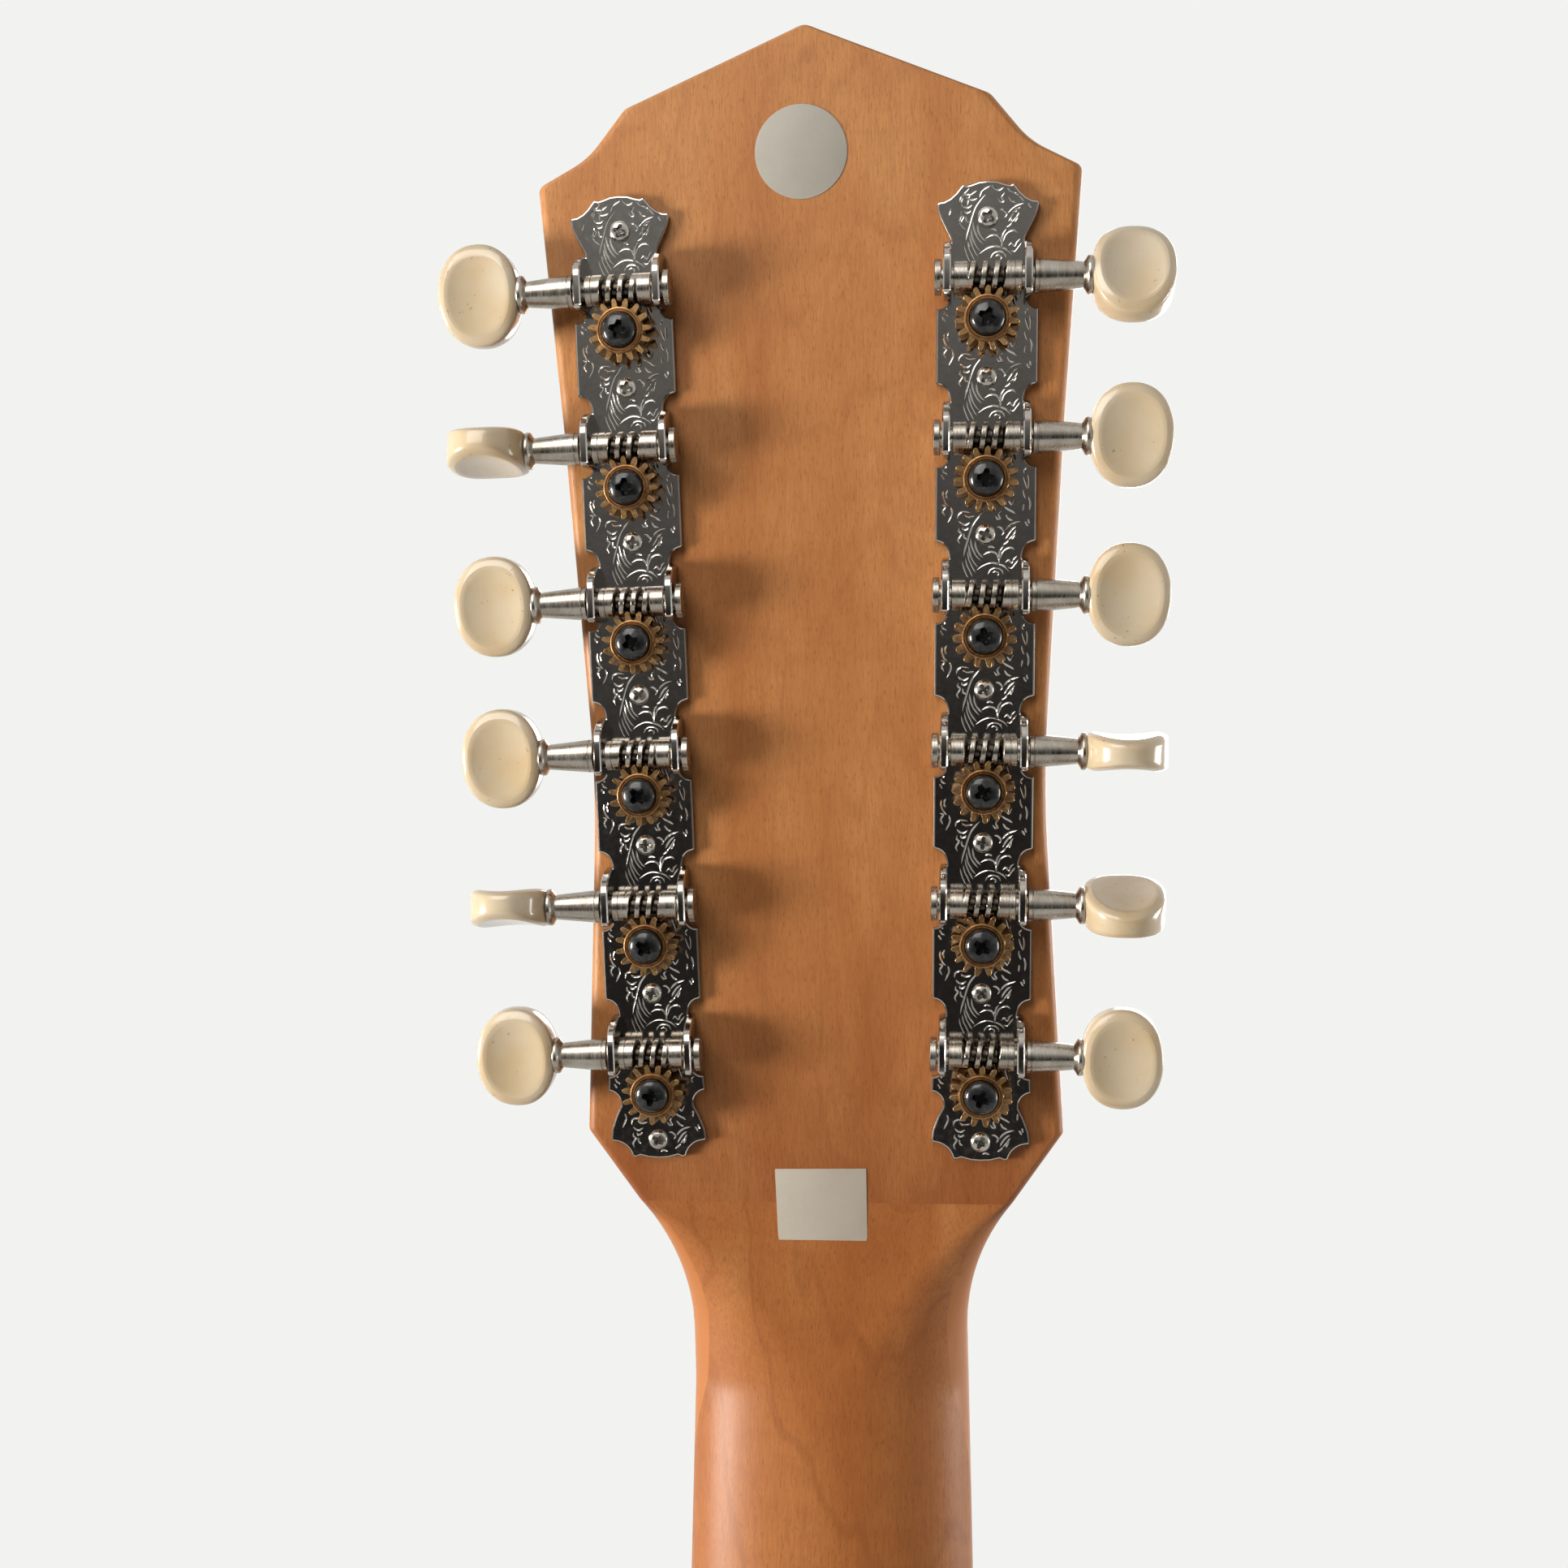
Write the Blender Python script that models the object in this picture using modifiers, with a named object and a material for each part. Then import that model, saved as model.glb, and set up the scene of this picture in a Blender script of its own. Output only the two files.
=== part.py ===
"""A twelve-string acoustic guitar, standing upright, in metres.

+Z runs up the neck to the headstock's tip, the soundboard faces -Y and the bass side is at -X.
The origin is in the middle of the headstock's flare, where a hanger's two arms carry the guitar.
"""

import math

import bmesh
import bpy
from mathutils import Matrix, Vector

# Clearances
GAP = 0.0003            # between pieces that are glued, screwed or laid together
RUNNING = 0.0003        # round a turning shaft, on the radius

# Scale, frets and fingerboard
SCALE_LENGTH = 0.645
COMPENSATION = 0.0025   # added to the scale at the saddle
FRET_COUNT = 20
BODY_FRET = 14          # the fret at which the neck meets the body
NUT_WIDTH = 0.0476
NUT_THICKNESS = 0.0055
NUT_HEIGHT = 0.0093
BOARD_END_WIDTH = 0.0592
BOARD_THICKNESS = 0.0062
BOARD_CROWN = 0.0008    # how far the board's middle stands above its edges
BOARD_PAST_LAST_FRET = 0.008
FRET_WIDTH = 0.0026
FRET_HEIGHT = 0.0011
FRET_TANG = 0.0016
FRET_END_INSET = 0.0006

# Neck
NECK_DEPTH_AT_NUT = 0.0150      # wood only, behind the fingerboard
NECK_DEPTH_AT_HEEL = 0.0185
NECK_SIDE_WALL = 0.0022         # flat strip along the neck's edge before it rounds off
HEEL_LENGTH = 0.075
HEEL_DEPTH = 0.092
HEEL_CAP_WIDTH = 0.024
ROD_WIDTH = 0.006
ROD_DEPTH = 0.009
ROD_BELOW_NUT = 0.064

# Headstock, seen square to its back, with s measured up from the nut
HEAD_ANGLE = math.radians(14)
HEAD_THICKNESS = 0.0150
VENEER_THICKNESS = 0.0015
MIDDLE_SCREW_S = 0.1080         # the strips' middle screws above the nut
HEAD_EDGE_RADIUS = 0.0020
HEAD_TIP_S = 0.2149
SHOULDER = (0.0296, 0.20275)
SCOOP = (0.0358, 0.1952)
TOP_CORNER = (0.04405, 0.1909)
UPPER_SIDE = (0.0410, 0.1520)
WAIST = (0.0373, 0.0930)
BOTTOM_CORNER = (0.0401, 0.0340)
FLARE_S = 0.0108
TRANSITION_RADIUS = 0.164       # bend between the headstock's back and the neck's
SCARF_ANGLE = math.radians(20)  # between the scarf joint and the fingerboard's plane

# Tuner strips: six posts a side
POSTS = 6
POST_PITCH = 0.025
STRIP_HALF_SPACING = 0.02833
STRIPS_OFF_CENTRE = 0.0007      # towards the treble side
STRIP_SPLAY = math.radians(1.0)
PLATE_THICKNESS = 0.0010
PLATE_NARROW = 0.0059           # half widths
PLATE_WIDE = 0.00805
WORM_BELOW_SCREW = 0.0097
WORM_HEIGHT = 0.0041            # shaft's axis above the headstock's back
EAR_SPAN = 0.0140
EAR_THICKNESS = 0.00125
EAR_HEIGHT = 0.0071             # above the strip's lower face
EAR_ABOVE_SHAFT = 0.0060        # how far an ear runs along the strip, towards its crown
EAR_BELOW_SHAFT = 0.0031        # and towards its foot
EAR_SHOULDER = 0.0019           # above the shaft, where the ear's top starts to slope down
EAR_CORNER = 0.0009

# Worm, gear and post
TEETH = 15
GEAR_PITCH_RADIUS = 0.00455
GEAR_TIP_RADIUS = 0.00515
GEAR_ROOT_RADIUS = 0.0037
TOOTH_TIP_WIDTH = 0.00052
GEAR_THICKNESS = 0.0030
CENTRE_DISTANCE = 0.0066        # worm's axis to gear's axis
WORM_RADIUS = 0.00245
GROOVE_FLOOR_RADIUS = 0.00125
GROOVE_FLOOR_WIDTH = 0.00094
GROOVE_TOP_WIDTH = 0.00156
GROOVE_STEPS = 31               # eighths of a turn
JOURNAL_RADIUS = 0.0017
END_CAP_RADIUS = 0.0029
END_CAP_THICKNESS = 0.0011
BARREL_RADIUS = 0.0027
BARREL_TIP_RADIUS = 0.00205
BARREL_END = 0.0152             # from the strip's middle line
COLLAR_RADIUS = 0.00305
COLLAR_END = 0.0166
BUTTON_START = 0.0162
BUTTON_LENGTH = 0.0130
BUTTON_WIDTH = 0.0164
BUTTON_THICKNESS = 0.0069       # at its two ends
BUTTON_DISH = 0.00115           # how far each face dips half-way along
BUTTON_EDGE = 0.0011            # rounding between a face and the rim
BUTTON_SQUARENESS = 2.3         # exponent of the button's oval
SHAFT_SIDES = 8
POST_RADIUS = 0.0030
POST_ABOVE_FACE = 0.0185
BORE_SIDES = 8                  # facets of each hole that a post turns in
GEAR_COLLAR_RADIUS = 0.00365
GEAR_COLLAR_HEIGHT = 0.0005
SCREW_HEAD_RADIUS = 0.00285
SCREW_HEAD_HEIGHT = 0.0016      # above the gear's upper face
# Where each key was left standing, in degrees about its own shaft, from the top pair down
BASS_KEY_TURNS = (-27, 0, 0, 90, -72, 0)
TREBLE_KEY_TURNS = (0, -78, 0, 0, -77, 0)

# Strings, from the bass side: octave or unison partner, then the main string, of each course
STRING_DIAMETERS = (0.00076, 0.00132, 0.00046, 0.00107, 0.00030, 0.00081,
                    0.00024, 0.00058, 0.00036, 0.00036, 0.00026, 0.00026)
COURSES = 6
NUT_COURSE_SPACING = 0.0078
NUT_PAIR_SPACING = 0.0019
SADDLE_COURSE_SPACING = 0.0107
SADDLE_PAIR_SPACING = 0.0028
STRING_HEIGHT_AT_NUT = 0.0082   # string's middle in front of the neck's glue plane
STRING_HEIGHT_AT_SADDLE = 0.0122
STRING_ABOVE_VENEER = 0.0070    # where a string reaches its post

# Body
BODY_LENGTH = 0.508
UPPER_BOUT = 0.292
WAIST_WIDTH = 0.273
LOWER_BOUT = 0.397
UPPER_BOUT_BELOW_TOP = 0.095
WAIST_BELOW_TOP = 0.195
LOWER_BOUT_BELOW_TOP = 0.372
SHOULDER_REACH = 0.085          # how far each curve of the outline runs on before it turns
UPPER_BOUT_REACH = (0.055, 0.040)   # above and below the widest place
WAIST_REACH = (0.035, 0.045)
LOWER_BOUT_REACH = (0.080, 0.075)
TAIL_REACH = 0.110
DEPTH_AT_NECK = 0.100
DEPTH_AT_TAIL = 0.123
TOP_THICKNESS = 0.0028
BACK_THICKNESS = 0.0026
SIDE_THICKNESS = 0.0022
SOUNDHOLE_RADIUS = 0.050
SOUNDHOLE_BELOW_TOP = 0.148
NECK_BLOCK_HALF_WIDTH = 0.036
NECK_BLOCK_LENGTH = 0.045
TAIL_BLOCK_HALF_WIDTH = 0.036
TAIL_BLOCK_LENGTH = 0.020
BRACE_WIDTH = 0.008
BRACE_HEIGHT = 0.014
X_BRACE_ANGLE = math.radians(45)
X_CROSSING_BELOW_TOP = 0.226
X_BRACE_UP = 0.165              # length of each arm above and below the crossing
X_BRACE_DOWN = 0.225
CROSSBAR_BELOW_TOP = 0.073
CROSSBAR_WIDTH = 0.022
CROSSBAR_LENGTH = 0.262
BACK_BRACES = ((0.085, 0.250), (0.215, 0.246), (0.365, 0.365))   # below the top, length
BACK_BRACE_WIDTH = 0.016

# Bridge, saddle and pins
BRIDGE_LENGTH = 0.165
BRIDGE_HEIGHT = 0.0088
BRIDGE_ABOVE_SADDLE = 0.0085
BRIDGE_BELOW_SADDLE = 0.0290
BRIDGE_WING = 0.0240            # width of the bridge's two ends
SADDLE_LENGTH = 0.078
SADDLE_THICKNESS = 0.0032
SADDLE_SLOT_DEPTH = 0.0055
SADDLE_SLANT = math.radians(2.2)
PIN_RADIUS = 0.0026
PIN_HEIGHT = 0.0027
PIN_ROW_BELOW_SADDLE = (0.0195, 0.0110)   # partner strings' row, main strings' row
PIN_BESIDE_STRING = 0.0014
PLATE_UNDER_BRIDGE = 0.0026

# Pickguard and strap button
PICKGUARD_THICKNESS = 0.0009
PICKGUARD_FROM_HOLE = 0.0060
PICKGUARD_REACH = 0.060
PICKGUARD_ABOVE_BRIDGE = 0.0215
STRAP_BUTTON_LENGTH = 0.0125
STRAP_BUTTON_RADIUS = 0.0070
STRAP_BUTTON_WAIST = 0.0035

# Where the neck's glue plane and the nut lie, worked out from the origin in the flare
HANG_ABOVE_NUT = 0.013
UP_HEAD = Vector((0, math.sin(HEAD_ANGLE), math.cos(HEAD_ANGLE)))
OUT_OF_BACK = Vector((0, math.cos(HEAD_ANGLE), -math.sin(HEAD_ANGLE)))
NUT_LINE = -(HANG_ABOVE_NUT * UP_HEAD + HEAD_THICKNESS / 2 * OUT_OF_BACK)
GLUE_Y = NUT_LINE.y
NUT_Z = NUT_LINE.z
BOARD_TOP_Z = NUT_Z - NUT_THICKNESS
BODY_Z = BOARD_TOP_Z - SCALE_LENGTH * (1 - 2 ** (-BODY_FRET / 12))
LAST_FRET_DROP = SCALE_LENGTH * (1 - 2 ** (-FRET_COUNT / 12))
BOARD_LENGTH = LAST_FRET_DROP + BOARD_PAST_LAST_FRET
SADDLE_Z = BOARD_TOP_Z - SCALE_LENGTH - COMPENSATION
BACK_TILT = math.atan((DEPTH_AT_TAIL - DEPTH_AT_NECK) / BODY_LENGTH)

# The headstock's back as a frame: X to the right as seen from behind, Y up it, Z out of it
BACK_FRAME = Matrix.Translation(NUT_LINE + HEAD_THICKNESS * OUT_OF_BACK) @ Matrix((
    (-1, 0, 0, 0),
    (0, UP_HEAD.y, OUT_OF_BACK.y, 0),
    (0, UP_HEAD.z, OUT_OF_BACK.z, 0),
    (0, 0, 0, 1)))

for old in list(bpy.data.objects):
    bpy.data.objects.remove(old, do_unlink=True)

guitar = bpy.data.collections.new("twelve_string_guitar")
bpy.context.scene.collection.children.link(guitar)
cutters = bpy.data.collections.new("cutters")
bpy.context.scene.collection.children.link(cutters)


def material(name, colour, roughness, metallic=0.0):
    made = bpy.data.materials.new(name)
    made.use_nodes = True
    shader = made.node_tree.nodes["Principled BSDF"]
    shader.inputs["Base Color"].default_value = (*colour, 1)
    shader.inputs["Roughness"].default_value = roughness
    shader.inputs["Metallic"].default_value = metallic
    return made


SPRUCE = material("spruce", (0.72, 0.50, 0.27), 0.35)
MAHOGANY = material("mahogany", (0.24, 0.085, 0.035), 0.35)
BRACE_SPRUCE = material("brace_spruce", (0.70, 0.54, 0.34), 0.6)
MAPLE = material("maple", (0.50, 0.24, 0.095), 0.3)
DARK_VENEER = material("dark_veneer", (0.02, 0.014, 0.012), 0.3)
ROSEWOOD = material("rosewood", (0.06, 0.025, 0.016), 0.5)
BONE = material("bone", (0.80, 0.74, 0.60), 0.4)
NICKEL = material("nickel", (0.45, 0.44, 0.42), 0.25, 1.0)
BRASS = material("brass", (0.50, 0.30, 0.12), 0.35, 1.0)
KEY_PLASTIC = material("cream_plastic", (0.80, 0.68, 0.45), 0.3)
STEEL = material("steel", (0.5, 0.5, 0.5), 0.3, 1.0)
BRONZE_STRING = material("string_metal", (0.62, 0.45, 0.28), 0.35, 1.0)
GUARD_PLASTIC = material("guard_plastic", (0.02, 0.016, 0.014), 0.2)


def solid(name, mesh, finish, frame=None, smooth=True):
    """One finished piece of the guitar, shown at its place."""
    made = bpy.data.objects.new(name, mesh)
    guitar.objects.link(made)
    if frame is not None:
        made.matrix_world = frame
    if finish.name not in mesh.materials:
        mesh.materials.clear()
        mesh.materials.append(finish)
    if smooth:
        mesh.shade_smooth()
        mesh.set_sharp_from_angle(angle=math.radians(35))
    return made


def helper(name, mesh, frame=None):
    """An object that only cuts or is joined to another, left out of the guitar."""
    made = bpy.data.objects.new(name, mesh)
    cutters.objects.link(made)
    made.hide_render = True
    made.display_type = "WIRE"
    if frame is not None:
        made.matrix_world = frame
    return made


def evaluated_mesh(obj, name, weld=1e-6):
    """The mesh that an object's modifiers make, in its own frame, with its points welded."""
    bpy.context.view_layer.update()
    mesh = bpy.data.meshes.new_from_object(obj.evaluated_get(bpy.context.evaluated_depsgraph_get()))
    mesh.name = name
    work = bmesh.new()
    work.from_mesh(mesh)
    bmesh.ops.remove_doubles(work, verts=work.verts, dist=weld)
    bmesh.ops.recalc_face_normals(work, faces=work.faces)
    work.to_mesh(mesh)
    work.free()
    return mesh


def combined(name, target, operation, others):
    """The mesh of target after a Boolean with each of the others, all in world coordinates."""
    for index, other in enumerate(others):
        step = target.modifiers.new(f"{operation.lower()}_{index}", "BOOLEAN")
        step.operation = operation
        step.solver = "EXACT"
        step.object = other
    return evaluated_mesh(target, name)


def loft(name, rings):
    """A closed skin through rings of the same number of points, with a flat cap at each end."""
    work = bmesh.new()
    rows = [[work.verts.new(point) for point in ring] for ring in rings]
    for low, high in zip(rows, rows[1:]):
        for index in range(len(low)):
            after = (index + 1) % len(low)
            work.faces.new((low[index], low[after], high[after], high[index]))
    work.faces.new(rows[0][::-1])
    work.faces.new(rows[-1])
    bmesh.ops.recalc_face_normals(work, faces=work.faces)
    mesh = bpy.data.meshes.new(name)
    work.to_mesh(mesh)
    work.free()
    return mesh


def box(name, low, high):
    """A box between two corners, from a unit cube."""
    work = bmesh.new()
    bmesh.ops.create_cube(work, size=1)
    size = Vector(high) - Vector(low)
    middle = (Vector(high) + Vector(low)) / 2
    bmesh.ops.transform(work, verts=work.verts, matrix=Matrix.Translation(middle) @ Matrix.Diagonal((*size, 1)))
    mesh = bpy.data.meshes.new(name)
    work.to_mesh(mesh)
    work.free()
    return mesh


def cylinders(name, frames, radius, low, high, sides):
    """Equal cylinders along each frame's Z, from low to high, in one mesh."""
    work = bmesh.new()
    for frame in frames:
        place = frame @ Matrix.Translation((0, 0, (low + high) / 2))
        bmesh.ops.create_cone(work, cap_ends=True, segments=sides, radius1=radius, radius2=radius,
                              depth=high - low, matrix=place)
    mesh = bpy.data.meshes.new(name)
    work.to_mesh(mesh)
    work.free()
    return mesh


def flat(name, loops, thickness):
    """A flat plate in XY, centred on Z: the first loop is its outline, and the others are holes."""
    curve = bpy.data.curves.new(name, "CURVE")
    curve.dimensions = "2D"
    curve.fill_mode = "BOTH"
    curve.extrude = thickness / 2
    for loop in loops:
        spline = curve.splines.new("POLY")
        spline.points.add(len(loop) - 1)
        for point, (x, y) in zip(spline.points, loop):
            point.co = (x, y, 0, 1)
        spline.use_cyclic_u = True
    drawn = helper(name + "_outline", curve)
    mesh = evaluated_mesh(drawn, name)
    bpy.data.objects.remove(drawn)
    return mesh


def turned(name, profile, sides):
    """A turned shape: the profile's (radius, height) points run down its outer side."""
    mesh = bpy.data.meshes.new(name + "_profile")
    mesh.from_pydata([(radius, 0, height) for radius, height in profile],
                     [(index, index + 1) for index in range(len(profile) - 1)], [])
    drawn = helper(name + "_profile", mesh)
    screw = drawn.modifiers.new("turn", "SCREW")
    screw.steps = sides
    screw.render_steps = sides
    screw.use_merge_vertices = True
    screw.merge_threshold = 0.00001
    made = evaluated_mesh(drawn, name)
    bpy.data.objects.remove(drawn)
    return made


def tube(name, points, radius):
    """A thin wire through the points, six-sided, with closed ends."""
    curve = bpy.data.curves.new(name, "CURVE")
    curve.dimensions = "3D"
    curve.bevel_depth = radius
    curve.bevel_resolution = 1
    curve.use_fill_caps = True
    spline = curve.splines.new("POLY")
    spline.points.add(len(points) - 1)
    for point, place in zip(spline.points, points):
        point.co = (*place, 1)
    drawn = helper(name + "_line", curve)
    mesh = evaluated_mesh(drawn, name)
    bpy.data.objects.remove(drawn)
    return mesh


def merged(name, meshes_and_frames):
    """Separate shapes in one mesh, each moved to its frame."""
    work = bmesh.new()
    for mesh, frame in meshes_and_frames:
        before = len(work.verts)
        work.from_mesh(mesh)
        work.verts.ensure_lookup_table()
        bmesh.ops.transform(work, verts=work.verts[before:], matrix=frame)
    made = bpy.data.meshes.new(name)
    work.to_mesh(made)
    work.free()
    return made


def arc(centre, radius, start, end, steps):
    """Points on an arc, its angles in degrees, both ends included."""
    angles = [math.radians(start + (end - start) * index / steps) for index in range(steps + 1)]
    return [(centre[0] + radius * math.cos(a), centre[1] + radius * math.sin(a)) for a in angles]


def circle(centre, radius, sides):
    """A round hole whose flat facets still lie this far from its centre."""
    return arc(centre, radius / math.cos(math.pi / sides), 0, 360, sides)[:-1]


def filleted(corners, steps=3):
    """A line through (x, y, radius) corners, each with a radius rounded by an arc."""
    line = [Vector(corners[0][:2])]
    for before, corner, after in zip(corners, corners[1:], corners[2:]):
        here, radius = Vector(corner[:2]), corner[2]
        back = (Vector(before[:2]) - here).normalized()
        ahead = (Vector(after[:2]) - here).normalized()
        if radius == 0:
            line.append(here)
            continue
        half = back.angle(ahead) / 2
        middle = here + (back + ahead).normalized() * radius / math.sin(half)
        start = here + back * radius / math.tan(half) - middle
        end = here + ahead * radius / math.tan(half) - middle
        turn = math.atan2(start.x * end.y - start.y * end.x, start.dot(end))
        for step in range(steps + 1):
            line.append(middle + Matrix.Rotation(turn * step / steps, 2) @ start)
    line.append(Vector(corners[-1][:2]))
    return [(point.x, point.y) for point in line]


def bezier(start, start_handle, end_handle, end, steps):
    """Points along one cubic curve, without its last."""
    points = []
    for index in range(steps):
        t = index / steps
        weights = ((1 - t) ** 3, 3 * (1 - t) ** 2 * t, 3 * (1 - t) * t * t, t ** 3)
        corners = (start, start_handle, end_handle, end)
        points.append(tuple(sum(w * c[axis] for w, c in zip(weights, corners)) for axis in (0, 1)))
    return points


# Headstock and neck are lofted as one shape, then parted at the scarf joint

def neck_half_width(below_board_top):
    """Half the fingerboard's and the neck's width, a distance below the top of the board."""
    share = below_board_top / BOARD_LENGTH
    return (NUT_WIDTH + (BOARD_END_WIDTH - NUT_WIDTH) * share) / 2


HEAD_SIDE = filleted((
    (-0.01, HEAD_TIP_S - 0.0041, 0), (0, HEAD_TIP_S, 0.006), (*SHOULDER, 0.0025), (*SCOOP, 0.014),
    (*TOP_CORNER, 0.0015), (*UPPER_SIDE, 0), (*WAIST, 0.2), (*BOTTOM_CORNER, 0.0016),
    (NUT_WIDTH / 2, FLARE_S, 0.044), (NUT_WIDTH / 2, -0.02, 0)))
HEAD_SIDE = [(x, s) for x, s in HEAD_SIDE if x > 0.0003]
BEND_START = (HEAD_THICKNESS + TRANSITION_RADIUS) * math.tan(HEAD_ANGLE / 2)


def head_half_width(s):
    """Half the headstock's width at a height above the nut."""
    for (x_high, s_high), (x_low, s_low) in zip(HEAD_SIDE, HEAD_SIDE[1:]):
        if s_low <= s <= s_high:
            return x_low + (x_high - x_low) * (s - s_low) / (s_high - s_low)
    return NUT_WIDTH / 2


def section(front, deeper, half_width, depth, round_across, round_deep, steps=4):
    """A ring across the neck: flat front, straight sides, back edges rounded off."""
    half = [(half_width, 0)]
    for step in range(steps + 1):
        angle = math.pi / 2 * step / steps
        half.append((half_width - round_across * (1 - math.cos(angle)),
                     depth - round_deep * (1 - math.sin(angle))))
    ring = half + [(-x, d) for x, d in reversed(half)]
    return [front + Vector((x, 0, 0)) + deeper * d for x, d in ring]


def neck_and_head_rings():
    rings = []
    for x, s in HEAD_SIDE:
        if s > BEND_START + 0.001:
            edge = min(HEAD_EDGE_RADIUS, 0.8 * x)
            rings.append(section(NUT_LINE + s * UP_HEAD, OUT_OF_BACK, x, HEAD_THICKNESS, edge, edge))

    # Round the bend the sections fan out from the bend's centre, and the back edges grow round
    to_centre = (HEAD_THICKNESS + TRANSITION_RADIUS) / math.cos(HEAD_ANGLE / 2)
    half_angle = HEAD_ANGLE / 2
    centre = NUT_LINE + to_centre * Vector((0, math.cos(half_angle), -math.sin(half_angle)))
    fan = 8
    for index in range(fan + 1):
        angle = HEAD_ANGLE * (1 - index / fan)
        deeper = Vector((0, math.cos(angle), -math.sin(angle)))
        back = centre - TRANSITION_RADIUS * deeper
        face = OUT_OF_BACK if angle > half_angle else Vector((0, 1, 0))
        depth = (back - NUT_LINE).dot(face) / deeper.dot(face)
        front = back - depth * deeper
        height = (front - NUT_LINE).dot(UP_HEAD) if angle > half_angle else front.z - NUT_Z
        half_width = head_half_width(height) if height > -NUT_THICKNESS else neck_half_width(
            -height - NUT_THICKNESS)
        roundness = min(1, index / (0.8 * fan))
        across = HEAD_EDGE_RADIUS + (0.93 * half_width - HEAD_EDGE_RADIUS) * roundness
        deep = HEAD_EDGE_RADIUS + (depth - NECK_SIDE_WALL - HEAD_EDGE_RADIUS) * roundness
        rings.append(section(front, deeper, half_width, depth, across, deep))

    # Down the neck, then out to the foot of the heel
    heel_start = BODY_Z + GAP + HEEL_LENGTH
    shaft_top = NUT_Z - BEND_START
    shaft = [shaft_top - 0.03, (NUT_Z + heel_start) / 2, heel_start]
    heel = [heel_start - HEEL_LENGTH * share for share in (0.35, 0.6, 0.78, 0.9, 0.97, 1)]
    for z in shaft + heel:
        below = BOARD_TOP_Z - z
        half_width = neck_half_width(below)
        share = (shaft_top - z) / (shaft_top - heel_start)
        depth = NECK_DEPTH_AT_NUT + (NECK_DEPTH_AT_HEEL - NECK_DEPTH_AT_NUT) * min(share, 1)
        across = 0.93 * half_width
        into_heel = min(max(0, (heel_start - z) / HEEL_LENGTH), 1)
        curve = 1 - math.sqrt(1 - into_heel ** 3)
        depth += (HEEL_DEPTH - depth) * curve
        across += (half_width - HEEL_CAP_WIDTH / 2 - across) * curve
        rings.append(section(Vector((0, GLUE_Y, z)), Vector((0, 1, 0)), half_width, depth,
                             across, depth - NECK_SIDE_WALL))
    return rings


def strip_frame(side):
    """A strip's frame at its middle screw, on the headstock's back: side is 1 for bass, -1 for treble."""
    spot = Vector((side * STRIP_HALF_SPACING - STRIPS_OFF_CENTRE, MIDDLE_SCREW_S, 0))
    return BACK_FRAME @ Matrix.Translation(spot) @ Matrix.Rotation(-side * STRIP_SPLAY, 4, "Z")


def post_frames():
    """(side, number, frame) of each tuner, its frame on the strip's line at the gear's centre."""
    for side in (1, -1):
        strip = strip_frame(side)
        for number in range(POSTS):
            screw = (POSTS / 2 - number) * POST_PITCH
            gear = screw - WORM_BELOW_SCREW - CENTRE_DISTANCE
            yield side, number, strip @ Matrix.Translation((0, gear, 0))


whole = helper("neck_and_head_stock", loft("neck_and_head", neck_and_head_rings()))

# The scarf joint leaves the back where the bend starts, and runs down to the fingerboard
scarf_edge = BACK_FRAME @ Vector((0, BEND_START, 0))
scarf = Matrix.Translation(scarf_edge) @ Matrix.Rotation(-SCARF_ANGLE, 4, "X")
behind_scarf = helper("behind_scarf", box("behind_scarf", (-0.1, -GAP / 2, -0.8), (0.1, 0.3, 0.3)), scarf)
before_scarf = helper("before_scarf", box("before_scarf", (-0.1, -0.3, -0.8), (0.1, GAP / 2, 0.3)), scarf)

post_places = list(post_frames())
bores = helper("post_bores", cylinders(
    "post_bores", [frame for _, _, frame in post_places], (POST_RADIUS + RUNNING) / math.cos(math.pi / BORE_SIDES),
    -HEAD_THICKNESS - 0.005, 0.003, BORE_SIDES))
head_blank = helper("head_blank", whole.data.copy())
solid("headstock", combined("headstock", head_blank, "DIFFERENCE", [behind_scarf, bores]), MAPLE)

ROD_TOP_Z = NUT_Z - ROD_BELOW_NUT
channel = helper("rod_channel", box(
    "rod_channel", (-ROD_WIDTH / 2 - GAP, GLUE_Y - 0.01, BODY_Z - 0.01),
    (ROD_WIDTH / 2 + GAP, GLUE_Y + ROD_DEPTH + 2 * GAP, ROD_TOP_Z + GAP)))
neck_blank = helper("neck_blank", whole.data.copy())
solid("neck", combined("neck", neck_blank, "DIFFERENCE", [before_scarf, channel]), MAPLE)
solid("truss_rod", box("truss_rod", (-ROD_WIDTH / 2, GLUE_Y + GAP, BODY_Z + 2 * GAP),
                       (ROD_WIDTH / 2, GLUE_Y + GAP + ROD_DEPTH, ROD_TOP_Z)), STEEL, smooth=False)

# Dark veneer on the headstock's front
veneer_side = [(x, s) for x, s in HEAD_SIDE if s > GAP] + [(head_half_width(GAP), GAP)]
veneer_line = veneer_side + [(-x, s) for x, s in reversed(veneer_side)]
post_spots = [BACK_FRAME.inverted() @ frame.translation for _, _, frame in post_places]
veneer_holes = [circle((spot.x, spot.y), POST_RADIUS + RUNNING, BORE_SIDES) for spot in post_spots]
VENEER_FRAME = BACK_FRAME @ Matrix.Translation((0, 0, -HEAD_THICKNESS - GAP - VENEER_THICKNESS / 2))
solid("head_veneer", flat("head_veneer", [veneer_line] + veneer_holes, VENEER_THICKNESS), DARK_VENEER,
      VENEER_FRAME)

# Fingerboard with its frets, one body
BOARD_BACK_Y = GLUE_Y - GAP


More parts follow.
